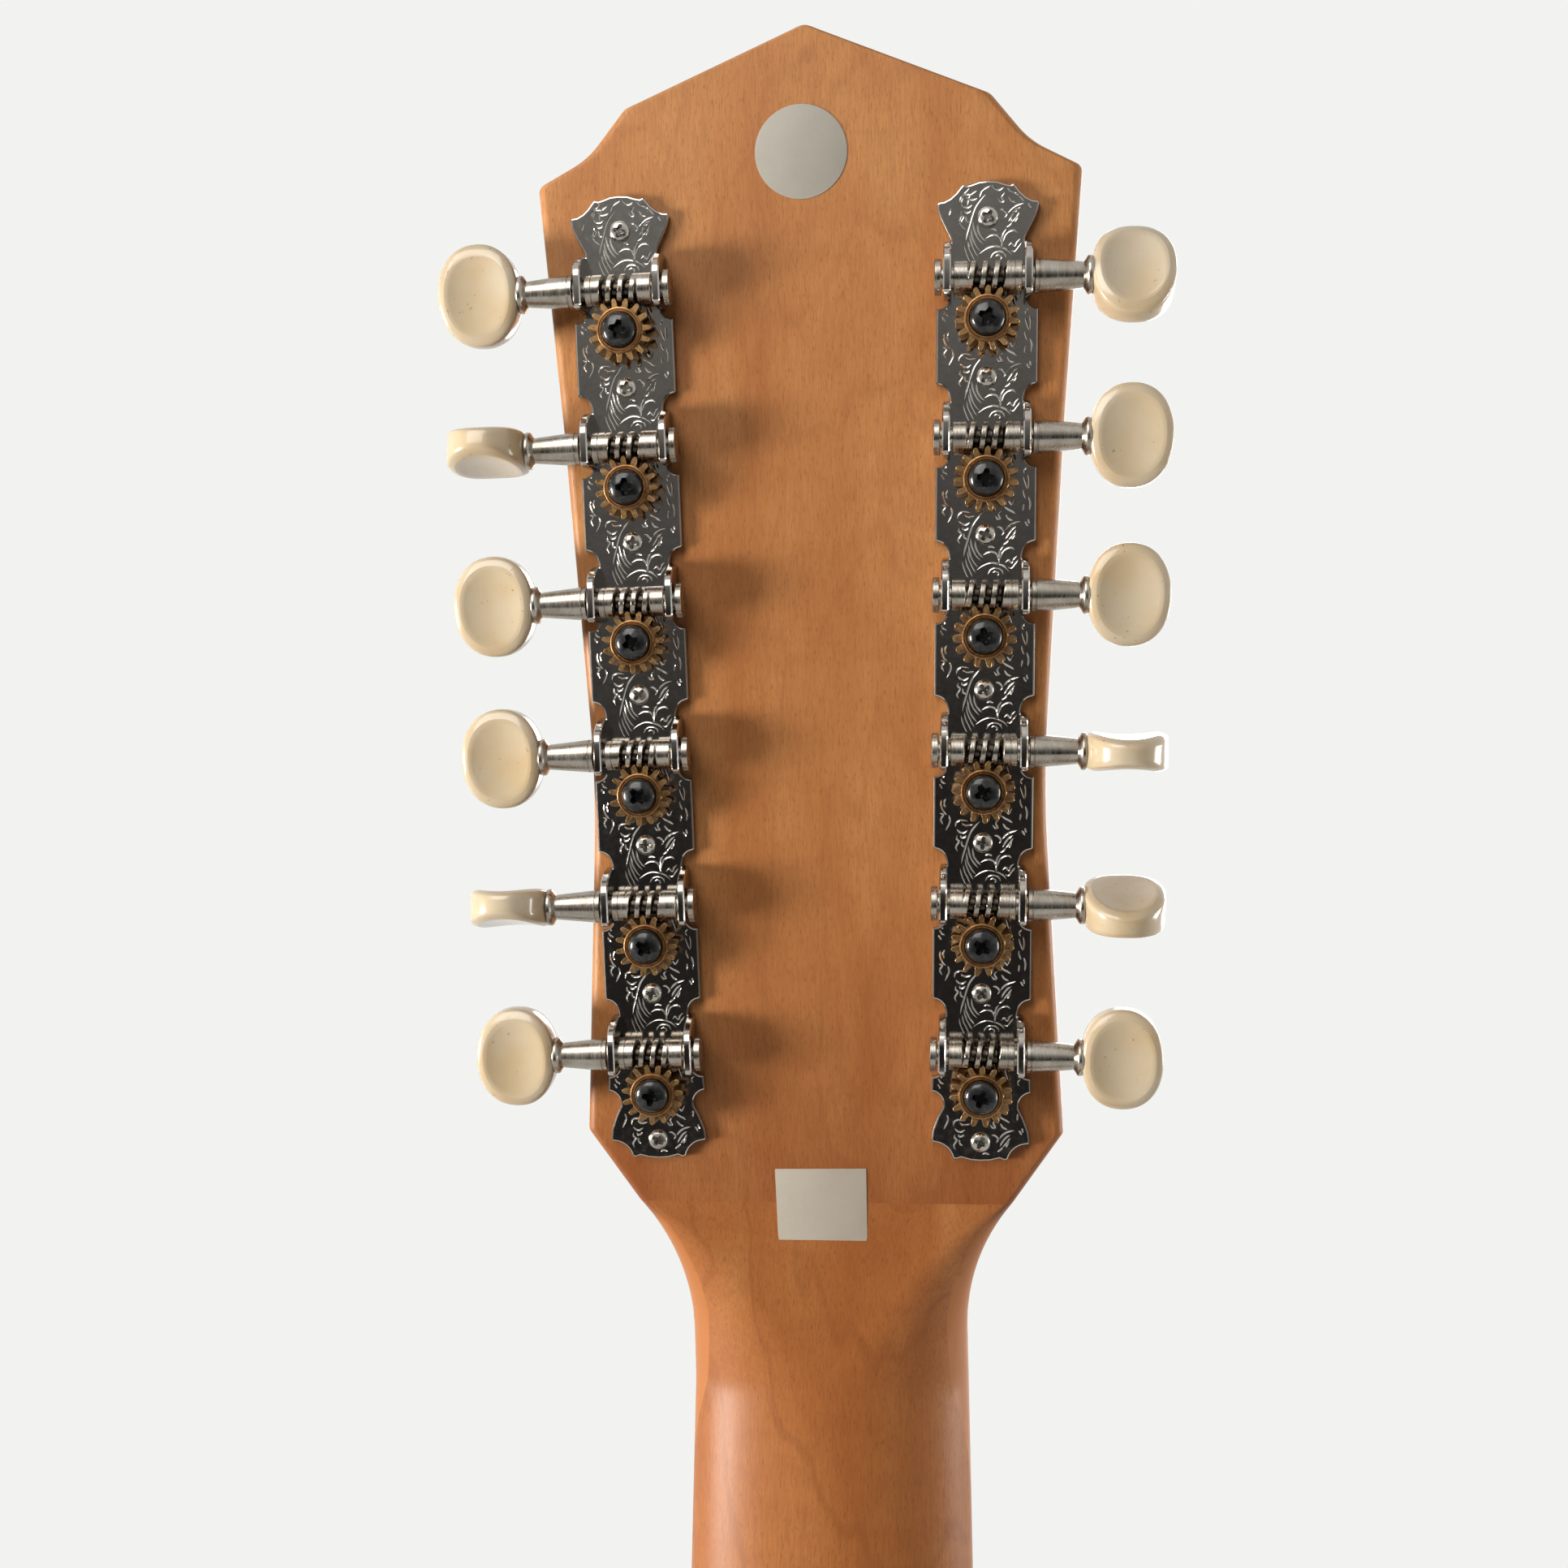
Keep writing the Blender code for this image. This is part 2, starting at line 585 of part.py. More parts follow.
def board_ring(z, half_width):
    crown = [(x, BOARD_THICKNESS - BOARD_CROWN * x * x) for x in (1, 0, -1)]
    front = [Vector((x * half_width, BOARD_BACK_Y - height, z)) for x, height in crown]
    return front + [Vector((-half_width, BOARD_BACK_Y, z)), Vector((half_width, BOARD_BACK_Y, z))]


def fret_ring(z, half_width, height):
    crown = [(x, height - BOARD_CROWN * x * x) for x in (1, 0, -1)]
    across = half_width - FRET_END_INSET
    front = [Vector((x * across, BOARD_BACK_Y - h, z)) for x, h in crown]
    tang_y = BOARD_BACK_Y - BOARD_THICKNESS + BOARD_CROWN + FRET_TANG
    return front + [Vector((-across, tang_y, z)), Vector((across, tang_y, z))]


board = helper("board_blank", loft("board_blank", [
    board_ring(BOARD_TOP_Z - drop, neck_half_width(drop)) for drop in (GAP, BOARD_LENGTH)]))
fret_meshes = []
for fret in range(1, FRET_COUNT + 1):
    drop = SCALE_LENGTH * (1 - 2 ** (-fret / 12))
    half_width = neck_half_width(drop)
    z = BOARD_TOP_Z - drop
    foot = BOARD_THICKNESS - FRET_TANG / 2
    top = BOARD_THICKNESS + FRET_HEIGHT
    rings = [fret_ring(z + FRET_WIDTH / 2, half_width, foot), fret_ring(z, half_width, top),
             fret_ring(z - FRET_WIDTH / 2, half_width, foot)]
    fret_meshes.append((loft("fret", rings), Matrix()))
frets = helper("frets", merged("frets", fret_meshes))
solid("fingerboard", combined("fingerboard", board, "UNION", [frets]), ROSEWOOD)

# Strings: where each crosses the nut and the saddle, and the post it runs to


def string_x(index, course_spacing, pair_spacing):
    course, partner = divmod(index, 2)
    return (course - (COURSES - 1) / 2) * course_spacing + (partner - 0.5) * pair_spacing


def post_of(index):
    """The post of a string: on each side the outermost string has the post nearest the nut."""
    bass = index < POSTS
    number = POSTS - 1 - (index if bass else 2 * POSTS - 1 - index)
    side = 1 if bass else -1
    return side, number


frames_by_post = {(side, number): frame for side, number, frame in post_places}
post_touch = HEAD_THICKNESS + GAP + VENEER_THICKNESS + STRING_ABOVE_VENEER
string_paths = []
for index, diameter in enumerate(STRING_DIAMETERS):
    frame = frames_by_post[post_of(index)]
    inward = frame @ Vector((-post_of(index)[0] * (POST_RADIUS + GAP + diameter / 2), 0, -post_touch))
    nut_x = string_x(index, NUT_COURSE_SPACING, NUT_PAIR_SPACING)
    saddle_x = string_x(index, SADDLE_COURSE_SPACING, SADDLE_PAIR_SPACING)
    saddle_z = SADDLE_Z + math.tan(SADDLE_SLANT) * saddle_x
    pin_z = SADDLE_Z - PIN_ROW_BELOW_SADDLE[index % 2]
    end_z = pin_z + PIN_RADIUS + GAP + diameter / 2
    end_y = GLUE_Y - GAP - BRIDGE_HEIGHT - GAP - diameter / 2
    string_paths.append((
        inward,
        Vector((nut_x, GLUE_Y - STRING_HEIGHT_AT_NUT, NUT_Z)),
        Vector((nut_x, GLUE_Y - STRING_HEIGHT_AT_NUT, BOARD_TOP_Z)),
        Vector((saddle_x, GLUE_Y - STRING_HEIGHT_AT_SADDLE, saddle_z)),
        Vector((saddle_x, end_y, end_z))))
for index, (path, diameter) in enumerate(zip(string_paths, STRING_DIAMETERS)):
    solid(f"string_{index + 1:02d}", tube("string", path, diameter / 2), BRONZE_STRING)

# Nut with a slot for each string
nut_blank = helper("nut_blank", box(
    "nut_blank", (-NUT_WIDTH / 2, GLUE_Y - NUT_HEIGHT, BOARD_TOP_Z + GAP),
    (NUT_WIDTH / 2, GLUE_Y - GAP, NUT_Z)))
slots = []
for path, diameter in zip(string_paths, STRING_DIAMETERS):
    half_slot = diameter / 2 + GAP
    slots.append((box("slot", (path[1].x - half_slot, GLUE_Y - NUT_HEIGHT - 0.002, BOARD_TOP_Z - 0.002),
                      (path[1].x + half_slot, path[1].y + half_slot, NUT_Z + 0.002)), Matrix()))
nut_slots = helper("nut_slots", merged("nut_slots", slots))
solid("nut", combined("nut", nut_blank, "DIFFERENCE", [nut_slots]), BONE, smooth=False)

# Body outline: half of it, from the neck's joint down to the tail, as (x, distance below the top)


def body_half_outline(steps=8):
    top, tail = (0, 0), (0, BODY_LENGTH)
    upper = (UPPER_BOUT / 2, UPPER_BOUT_BELOW_TOP)
    waist = (WAIST_WIDTH / 2, WAIST_BELOW_TOP)
    lower = (LOWER_BOUT / 2, LOWER_BOUT_BELOW_TOP)
    points = bezier(top, (SHOULDER_REACH, 0), (upper[0], upper[1] - UPPER_BOUT_REACH[0]), upper, steps)
    points += bezier(upper, (upper[0], upper[1] + UPPER_BOUT_REACH[1]),
                     (waist[0], waist[1] - WAIST_REACH[0]), waist, steps)
    points += bezier(waist, (waist[0], waist[1] + WAIST_REACH[1]),
                     (lower[0], lower[1] - LOWER_BOUT_REACH[0]), lower, steps)
    points += bezier(lower, (lower[0], lower[1] + LOWER_BOUT_REACH[1]), (TAIL_REACH, tail[1]), tail, steps)
    return points + [tail]


HALF_BODY = body_half_outline()


def inside_line(inset):
    """The half outline moved inwards by a distance, square to itself."""
    moved = []
    for index, (x, drop) in enumerate(HALF_BODY):
        before = HALF_BODY[max(index - 1, 0)]
        after = HALF_BODY[min(index + 1, len(HALF_BODY) - 1)]
        along = Vector((after[0] - before[0], after[1] - before[1])).normalized()
        if index in (0, len(HALF_BODY) - 1):
            along = Vector((1, 0)) if index == 0 else Vector((-1, 0))
        moved.append((x - along.y * inset, drop + along.x * inset))
    return moved


def back_inside_y(drop):
    """The back plate's inner face, a distance below the body's top."""
    share = drop / BODY_LENGTH
    depth = DEPTH_AT_NECK + (DEPTH_AT_TAIL - DEPTH_AT_NECK) * share
    return GLUE_Y + depth - BACK_THICKNESS


TOP_INSIDE_Y = GLUE_Y + TOP_THICKNESS
body_line = HALF_BODY + [(-x, drop) for x, drop in HALF_BODY[-2:0:-1]]

FRONT_FRAME = Matrix.Translation((0, GLUE_Y, BODY_Z)) @ Matrix.Rotation(math.pi / 2, 4, "X")
top_frame = FRONT_FRAME @ Matrix.Translation((0, 0, -TOP_THICKNESS / 2))
soundhole = circle((0, -SOUNDHOLE_BELOW_TOP), SOUNDHOLE_RADIUS, 36)
solid("soundboard", flat("soundboard", [[(x, -drop) for x, drop in body_line], soundhole], TOP_THICKNESS),
      SPRUCE, top_frame)

# The flat back leans, so the body is deeper at its tail
back_frame = Matrix.Translation((0, back_inside_y(0), BODY_Z)) @ Matrix.Rotation(BACK_TILT, 4, "X") @ \
    Matrix.Rotation(math.pi / 2, 4, "X") @ Matrix.Translation((0, 0, -BACK_THICKNESS / 2))
back_line = [(x, -drop / math.cos(BACK_TILT)) for x, drop in body_line]
solid("back", flat("back", [back_line], BACK_THICKNESS), MAHOGANY, back_frame)


def side(name, sign):
    """One bent side, from the tail to the neck along half the outline."""
    rings = []
    for outer, inner in zip(HALF_BODY, inside_line(SIDE_THICKNESS)):
        ring = []
        for x, drop in (outer, inner):
            across = sign * max(x, GAP / 2)
            faces = [TOP_INSIDE_Y + GAP, back_inside_y(drop) - GAP]
            ring += [Vector((across, y, BODY_Z - drop)) for y in (faces if not ring else faces[::-1])]
        rings.append(ring)
    solid(name, loft(name, rings), MAHOGANY)


side("side_bass", -1)
side("side_treble", 1)


def between_plates(name, outline, finish):
    """A block that fills the body's depth, from (x, distance below the top) points."""
    front = [Vector((x, TOP_INSIDE_Y + GAP, BODY_Z - drop)) for x, drop in outline]
    back = [Vector((x, back_inside_y(drop) - GAP, BODY_Z - drop)) for x, drop in outline]
    solid(name, loft(name, [front, back]), finish, smooth=False)


def block_outline(half_width, inner_edge, near_tail):
    line = inside_line(SIDE_THICKNESS + GAP)
    line = line[::-1] if near_tail else line
    beyond = next(index for index, (x, _) in enumerate(line) if x >= half_width)
    kept = line[:beyond]
    (x0, d0), (x1, d1) = line[beyond - 1], line[beyond]
    share = (half_width - x0) / (x1 - x0)
    kept = [(max(x, 0), drop) for x, drop in kept] + [(half_width, d0 + (d1 - d0) * share)]
    kept.append((half_width, inner_edge))
    return kept + [(-x, drop) for x, drop in kept[:0:-1]]


between_plates("neck_block", block_outline(NECK_BLOCK_HALF_WIDTH, NECK_BLOCK_LENGTH, False), MAHOGANY)
between_plates("tail_block", block_outline(TAIL_BLOCK_HALF_WIDTH, BODY_LENGTH - TAIL_BLOCK_LENGTH, True),
               MAHOGANY)


def brace_bar(name, length_up, length_down, width, height):
    """A brace lying on the plate's inner face: Y along it, Z into the body, ends sloped off."""
    profile = [(-length_down, 0), (length_up, 0), (length_up, height * 0.3), (length_up * 0.72, height),
               (-length_down * 0.72, height), (-length_down, height * 0.3)]
    return loft(name, [[Vector((x, along, high)) for along, high in profile]
                       for x in (-width / 2, width / 2)])


# Bracing under the soundboard: Z of this frame points into the body
UNDER_TOP = Matrix.Translation((0, TOP_INSIDE_Y + GAP, BODY_Z)) @ Matrix.Rotation(-math.pi / 2, 4, "X") @ \
    Matrix.Rotation(math.pi, 4, "Z")
crossing = UNDER_TOP @ Matrix.Translation((0, -X_CROSSING_BELOW_TOP, 0))
arms = [helper(f"x_arm_{index}", brace_bar("x_arm", X_BRACE_UP, X_BRACE_DOWN, BRACE_WIDTH, BRACE_HEIGHT),
               crossing @ Matrix.Rotation(turn, 4, "Z"))
        for index, turn in enumerate((X_BRACE_ANGLE, -X_BRACE_ANGLE))]
arms[0].data.transform(arms[0].matrix_world)
arms[0].matrix_world = Matrix()
solid("x_brace", combined("x_brace", arms[0], "UNION", [arms[1]]), BRACE_SPRUCE, smooth=False)
solid("top_crossbar", brace_bar("top_crossbar", CROSSBAR_LENGTH / 2, CROSSBAR_LENGTH / 2, CROSSBAR_WIDTH,
                                BRACE_HEIGHT), BRACE_SPRUCE,
      UNDER_TOP @ Matrix.Translation((0, -CROSSBAR_BELOW_TOP, 0)) @ Matrix.Rotation(math.pi / 2, 4, "Z"),
      smooth=False)

# The bridge plate fills the fork of the X below the bridge
saddle_drop = BODY_Z - SADDLE_Z
plate_top = saddle_drop - BRIDGE_ABOVE_SADDLE + 0.002
plate_bottom = saddle_drop + BRIDGE_BELOW_SADDLE
fork = BRACE_WIDTH / 2 / math.sin(X_BRACE_ANGLE) + 2 * GAP
plate_line = []
for drop in (plate_top, plate_bottom):
    plate_line.append(((drop - X_CROSSING_BELOW_TOP) * math.tan(X_BRACE_ANGLE) - fork, -drop))
plate_line += [(-x, y) for x, y in reversed(plate_line)]
solid("bridge_plate", flat("bridge_plate", [plate_line], PLATE_UNDER_BRIDGE), MAPLE,
      UNDER_TOP @ Matrix.Translation((0, 0, PLATE_UNDER_BRIDGE / 2)), smooth=False)

ON_BACK = back_frame @ Matrix.Translation((0, 0, BACK_THICKNESS / 2 + GAP))
for number, (drop, length) in enumerate(BACK_BRACES, start=1):
    solid(f"back_brace_{number}", brace_bar("back_brace", length / 2, length / 2, BACK_BRACE_WIDTH,
                                            BRACE_HEIGHT), BRACE_SPRUCE,
          ON_BACK @ Matrix.Translation((0, -drop, 0)) @ Matrix.Rotation(math.pi / 2, 4, "Z"), smooth=False)

# Bridge with its twelve pins, one body, and the saddle in its slot


def bridge_outline():
    top, low = BRIDGE_ABOVE_SADDLE, -BRIDGE_BELOW_SADDLE
    wing_low = top - BRIDGE_WING
    end = BRIDGE_LENGTH / 2
    right = [(0, top), (end - 0.006, top)] + arc((end - 0.006, top - 0.006), 0.006, 75, 0, 2)
    right += arc((end - 0.006, wing_low + 0.006), 0.006, 0, -75, 2)
    right += bezier((end - 0.012, wing_low), (end - 0.035, wing_low), (0.035, low), (0, low), 6)
    return right + [(0, low)] + [(-x, y) for x, y in right[:0:-1]]


ON_TOP = Matrix.Translation((0, GLUE_Y - GAP, SADDLE_Z)) @ Matrix.Rotation(math.pi / 2, 4, "X")
bridge_blank = helper("bridge_blank", flat("bridge_blank", [bridge_outline()], BRIDGE_HEIGHT))
bridge_blank.data.transform(ON_TOP @ Matrix.Translation((0, 0, BRIDGE_HEIGHT / 2)))
saddle_frame = ON_TOP @ Matrix.Rotation(SADDLE_SLANT, 4, "Z")
SADDLE_FOOT = BRIDGE_HEIGHT - SADDLE_SLOT_DEPTH
slot = helper("saddle_slot", box(
    "saddle_slot", (-SADDLE_LENGTH / 2 - GAP, -SADDLE_THICKNESS / 2 - GAP, SADDLE_FOOT - GAP),
    (SADDLE_LENGTH / 2 + GAP, SADDLE_THICKNESS / 2 + GAP, BRIDGE_HEIGHT + 0.01)), saddle_frame)
pin_frames = []
for index, path in enumerate(string_paths):
    outward = 1 if index % 2 else -1
    spot = path[-1].x + outward * PIN_BESIDE_STRING
    pin_frames.append(ON_TOP @ Matrix.Translation((spot, -PIN_ROW_BELOW_SADDLE[index % 2], 0)))
pin = turned("pin", ((0, BRIDGE_HEIGHT + PIN_HEIGHT), (PIN_RADIUS * 0.75, BRIDGE_HEIGHT + PIN_HEIGHT * 0.7),
                     (PIN_RADIUS, BRIDGE_HEIGHT - 0.003), (0, BRIDGE_HEIGHT - 0.003)), 7)
pins = helper("bridge_pins", merged("bridge_pins", [(pin, frame) for frame in pin_frames]))
cut_bridge = helper("cut_bridge", combined("cut_bridge", bridge_blank, "DIFFERENCE", [slot]))
solid("bridge", combined("bridge", cut_bridge, "UNION", [pins]), ROSEWOOD)
thickest = max(STRING_DIAMETERS)
saddle_top = STRING_HEIGHT_AT_SADDLE - GAP - thickest / 2 - GAP
solid("saddle", loft("saddle", [
    [Vector((x, -SADDLE_THICKNESS / 2, SADDLE_FOOT)), Vector((x, SADDLE_THICKNESS / 2, SADDLE_FOOT)),
     Vector((x, SADDLE_THICKNESS / 2, saddle_top - 0.0012)), Vector((x, 0.0002, saddle_top)),
     Vector((x, -SADDLE_THICKNESS / 2, saddle_top - 0.0012))]
    for x in (-SADDLE_LENGTH / 2, SADDLE_LENGTH / 2)]), BONE, saddle_frame, smooth=False)

# Pickguard round the treble side of the soundhole, its foot clear of the bridge
hole_y = -SOUNDHOLE_BELOW_TOP
guard_foot = -(saddle_drop - BRIDGE_ABOVE_SADDLE - PICKGUARD_ABOVE_BRIDGE)
fall = hole_y - guard_foot
guard_inner = arc((0, hole_y), SOUNDHOLE_RADIUS + PICKGUARD_FROM_HOLE, -62, 38, 9)
reach = SOUNDHOLE_RADIUS + PICKGUARD_REACH
start, end = guard_inner[0], guard_inner[-1]
widest = (reach, hole_y - fall * 0.27)
foot = (reach * 0.5, guard_foot)
guard_outer = bezier(end, (end[0] + reach * 0.18, end[1] + reach * 0.11), (reach, hole_y + reach * 0.09),
                     widest, 6)
guard_outer += bezier(widest, (reach, hole_y - fall * 0.76), (reach * 0.77, guard_foot - fall * 0.04), foot, 6)
guard_outer += bezier(foot, (reach * 0.34, guard_foot + fall * 0.04),
                      (start[0] + reach * 0.04, start[1] - fall * 0.18), start, 5)
solid("pickguard", flat("pickguard", [guard_inner + guard_outer[1:]], PICKGUARD_THICKNESS), GUARD_PLASTIC,
      FRONT_FRAME @ Matrix.Translation((0, 0, GAP + PICKGUARD_THICKNESS / 2)))

# Strap button at the tail, its flat end pointing down
TAIL_Z = BODY_Z - BODY_LENGTH
button_y = (TOP_INSIDE_Y + back_inside_y(BODY_LENGTH)) / 2
length = STRAP_BUTTON_LENGTH
solid("strap_button", turned("strap_button", (
    (0, length), (STRAP_BUTTON_RADIUS - 0.001, length), (STRAP_BUTTON_RADIUS, length - 0.0012),
    (STRAP_BUTTON_RADIUS - 0.0008, length - 0.0028), (STRAP_BUTTON_WAIST, length - 0.0045),
    (STRAP_BUTTON_WAIST, 0.0032), (STRAP_BUTTON_RADIUS - 0.001, 0), (0, 0)), 16), STEEL,
    Matrix.Translation((0, button_y, TAIL_Z - GAP)) @ Matrix.Rotation(math.pi, 4, "X"))

# Tuner plates: a stamped strip a side, with two ears bent up for each worm. An ear is highest at
# the shaft and slopes down towards the crown


def plate_side():
    """Right edge of a strip from its crown down to its finial, about the strip's middle screw."""
    top = POSTS / 2 * POST_PITCH
    root = EAR_SPAN / 2 - 0.0002
    edge = [(0, top + 0.0055), (0.0034, top + 0.0050), (0.0047, top + 0.0034), (0.0079, top + 0.0024)]
    for number in range(POSTS):
        screw = top - number * POST_PITCH
        shaft = screw - WORM_BELOW_SCREW
        edge += [(PLATE_NARROW, screw - 0.0031), (PLATE_NARROW, shaft + EAR_ABOVE_SHAFT - 0.0001),
                 (root, shaft + EAR_ABOVE_SHAFT - 0.0001), (root, shaft - EAR_BELOW_SHAFT + 0.0001)]
        edge += [(PLATE_NARROW + 0.0002, shaft - 0.0035), (PLATE_NARROW + 0.0009, shaft - 0.0042),
                 (PLATE_WIDE, shaft - 0.0042)]
        if number < POSTS - 1:
            low = screw - POST_PITCH - 0.0009
            edge += [(PLATE_WIDE, low), (PLATE_NARROW + 0.0006, low - 0.0007)]
    low = -top
    edge += [(PLATE_WIDE, low + 0.0085), (PLATE_NARROW, low + 0.0056), (0.0074, low + 0.0037),
             (0.0079, low + 0.0007), (0.0051, low - 0.0006), (0.0036, low - 0.0024), (0, low - 0.0028)]
    return edge


def ear_outline():
    """An ear in its own plane: X along the strip, Y up from the plate's lower face."""
    foot = PLATE_THICKNESS * 0.3
    slope = [(EAR_SHOULDER + (EAR_ABOVE_SHAFT - EAR_SHOULDER) * math.cos(angle), EAR_HEIGHT * math.sin(angle))
             for angle in (math.radians(degrees) for degrees in (20, 42, 65, 90))]
    lug = [(-EAR_BELOW_SHAFT, foot), (EAR_ABOVE_SHAFT, foot)] + slope
    lug += [(-EAR_BELOW_SHAFT + EAR_CORNER, EAR_HEIGHT), (-EAR_BELOW_SHAFT, EAR_HEIGHT - EAR_CORNER)]
    return [lug, circle((0, WORM_HEIGHT - GAP), JOURNAL_RADIUS + RUNNING, 6)]


ear = flat("ear", ear_outline(), EAR_THICKNESS)
EAR_MIDDLE = EAR_SPAN / 2 - EAR_THICKNESS / 2
plate_edge = plate_side()
plate_line = plate_edge + [(-x, y) for x, y in plate_edge[-2:0:-1]]
for sign, name in ((1, "tuner_plate_bass"), (-1, "tuner_plate_treble")):
    strip = strip_frame(sign) @ Matrix.Translation((0, 0, GAP))
    spots = [strip.inverted() @ frame.translation for at, _, frame in post_places if at == sign]
    holes = [circle((spot.x, spot.y), POST_RADIUS + RUNNING, BORE_SIDES) for spot in spots]
    sheet = helper(name + "_sheet", flat(name + "_sheet", [plate_line] + holes, PLATE_THICKNESS),
                   strip @ Matrix.Translation((0, 0, PLATE_THICKNESS / 2)))
    upright = Matrix(((0, 0, 1, 0), (1, 0, 0, 0), (0, 1, 0, -PLATE_THICKNESS / 2), (0, 0, 0, 1)))
    ears = helper(name + "_ears", merged(name + "_ears", [
        (ear, Matrix.Translation((across, spot.y + CENTRE_DISTANCE, 0)) @ upright)
        for spot in spots for across in (-EAR_MIDDLE, EAR_MIDDLE)]), sheet.matrix_world)
    solid(name, combined(name, sheet, "UNION", [ears]), NICKEL, sheet.matrix_world)

# One key: a turned shaft with a helical groove, and its button. Z of its mesh is the shaft's axis
WORM_END = EAR_SPAN / 2 - EAR_THICKNESS - GAP
EAR_OUTSIDE = EAR_SPAN / 2 + GAP
PITCH = 2 * math.pi * GEAR_PITCH_RADIUS / TEETH


def key_shaft():
    """The turned shaft with a left-hand helical groove, centred on Z = 0 at the side towards +Y."""
    work = bmesh.new()

    def corner(radius, step, height):
        angle = math.pi / 2 + 2 * math.pi * step / SHAFT_SIDES
        return work.verts.new((radius * math.cos(angle), radius * math.sin(angle), height))

    def rings(profile):
        return [[corner(radius, step, height) for step in range(SHAFT_SIDES)] for radius, height in profile]

    outer = rings(((WORM_RADIUS, WORM_END), (JOURNAL_RADIUS, WORM_END), (JOURNAL_RADIUS, EAR_OUTSIDE),
                   (BARREL_RADIUS, EAR_OUTSIDE), (BARREL_TIP_RADIUS, BARREL_END), (COLLAR_RADIUS, COLLAR_END),
                   (COLLAR_RADIUS * 0.8, COLLAR_END + 0.0015)))
    inner = rings(((WORM_RADIUS, -WORM_END), (JOURNAL_RADIUS, -WORM_END), (JOURNAL_RADIUS, -EAR_OUTSIDE),
                   (END_CAP_RADIUS, -EAR_OUTSIDE), (END_CAP_RADIUS, -EAR_OUTSIDE - END_CAP_THICKNESS)))
    for rows in (outer, inner):
        for near, far in zip(rows, rows[1:]):
            for step in range(SHAFT_SIDES):
                after = (step + 1) % SHAFT_SIDES
                work.faces.new((near[step], near[after], far[after], far[step]))
        work.faces.new(rows[-1])

    # The groove's four edges at each step; it starts and ends in a point on the worm's surface
    start = -(GROOVE_STEPS // 2)
    groove = []
    for step in range(start, start + GROOVE_STEPS + 1):
        middle = -PITCH * step / SHAFT_SIDES
        if step in (start, start + GROOVE_STEPS):
            groove.append([corner(WORM_RADIUS, step, middle)] * 4)
            continue
        half_top, half_floor = GROOVE_TOP_WIDTH / 2, GROOVE_FLOOR_WIDTH / 2
        groove.append([corner(WORM_RADIUS, step, middle + half_top),
                       corner(GROOVE_FLOOR_RADIUS, step, middle + half_floor),
                       corner(GROOVE_FLOOR_RADIUS, step, middle - half_floor),
                       corner(WORM_RADIUS, step, middle - half_top)])
    for before, after in zip(groove, groove[1:]):
        for edge in range(3):
            corners = (before[edge], before[edge + 1], after[edge + 1], after[edge])
            work.faces.new(list(dict.fromkeys(corners)))

    # The ridge between one turn and the next, then the worm's ends up to the turned rings
    for step in range(GROOVE_STEPS - SHAFT_SIDES):
        work.faces.new((groove[step][3], groove[step + 1][3], groove[step + 1 + SHAFT_SIDES][0],
                        groove[step + SHAFT_SIDES][0]))
    first = start % SHAFT_SIDES
    last = (start + GROOVE_STEPS) % SHAFT_SIDES
    for step in range(SHAFT_SIDES):
        here, after = (first + step) % SHAFT_SIDES, (first + step + 1) % SHAFT_SIDES
        corners = [outer[0][here], outer[0][after], groove[step + 1][0], groove[step][0]]
        if step == SHAFT_SIDES - 1:
            corners.insert(2, groove[0][0])
        work.faces.new(corners)
        here, after = (last - step) % SHAFT_SIDES, (last - step - 1) % SHAFT_SIDES
        corners = [inner[0][here], inner[0][after], groove[-2 - step][3], groove[-1 - step][3]]
        if step == SHAFT_SIDES - 1:
            corners.insert(2, groove[-1][3])
        work.faces.new(corners)
    bmesh.ops.recalc_face_normals(work, faces=work.faces)
    mesh = bpy.data.meshes.new("key_shaft")
    work.to_mesh(mesh)
    work.free()
    return mesh


def button_mesh():
    """The oval button in slices along the shaft: both faces dip half-way, and its rim is rounded off."""
    rings = []
    for along in (-0.97, -0.75, -0.4, 0, 0.4, 0.75, 0.97):
        across = BUTTON_WIDTH / 2 * (1 - abs(along) ** BUTTON_SQUARENESS) ** (1 / BUTTON_SQUARENESS)
        thick = BUTTON_THICKNESS / 2 - BUTTON_DISH * (1 - along * along)
        height = BUTTON_START + BUTTON_LENGTH / 2 * (1 + along)
        right = [(thick, across - BUTTON_EDGE), (thick - BUTTON_EDGE, across)]
        right += [(-x, y) for x, y in reversed(right)]
        rings.append([Vector((x, y, height)) for x, y in right + [(-x, -y) for x, y in right]])
    return loft("button", rings)


shaft = helper("key_shaft", key_shaft())
button = helper("key_button", button_mesh())
key_mesh = combined("tuner_key", shaft, "UNION", [button])

# One gear and post, with its screw. Z of its mesh is the post's axis, pointing out of the back
GEAR_LOW = WORM_HEIGHT - GEAR_THICKNESS / 2
GEAR_HIGH = WORM_HEIGHT + GEAR_THICKNESS / 2
POST_END = -(HEAD_THICKNESS + GAP + VENEER_THICKNESS + POST_ABOVE_FACE)


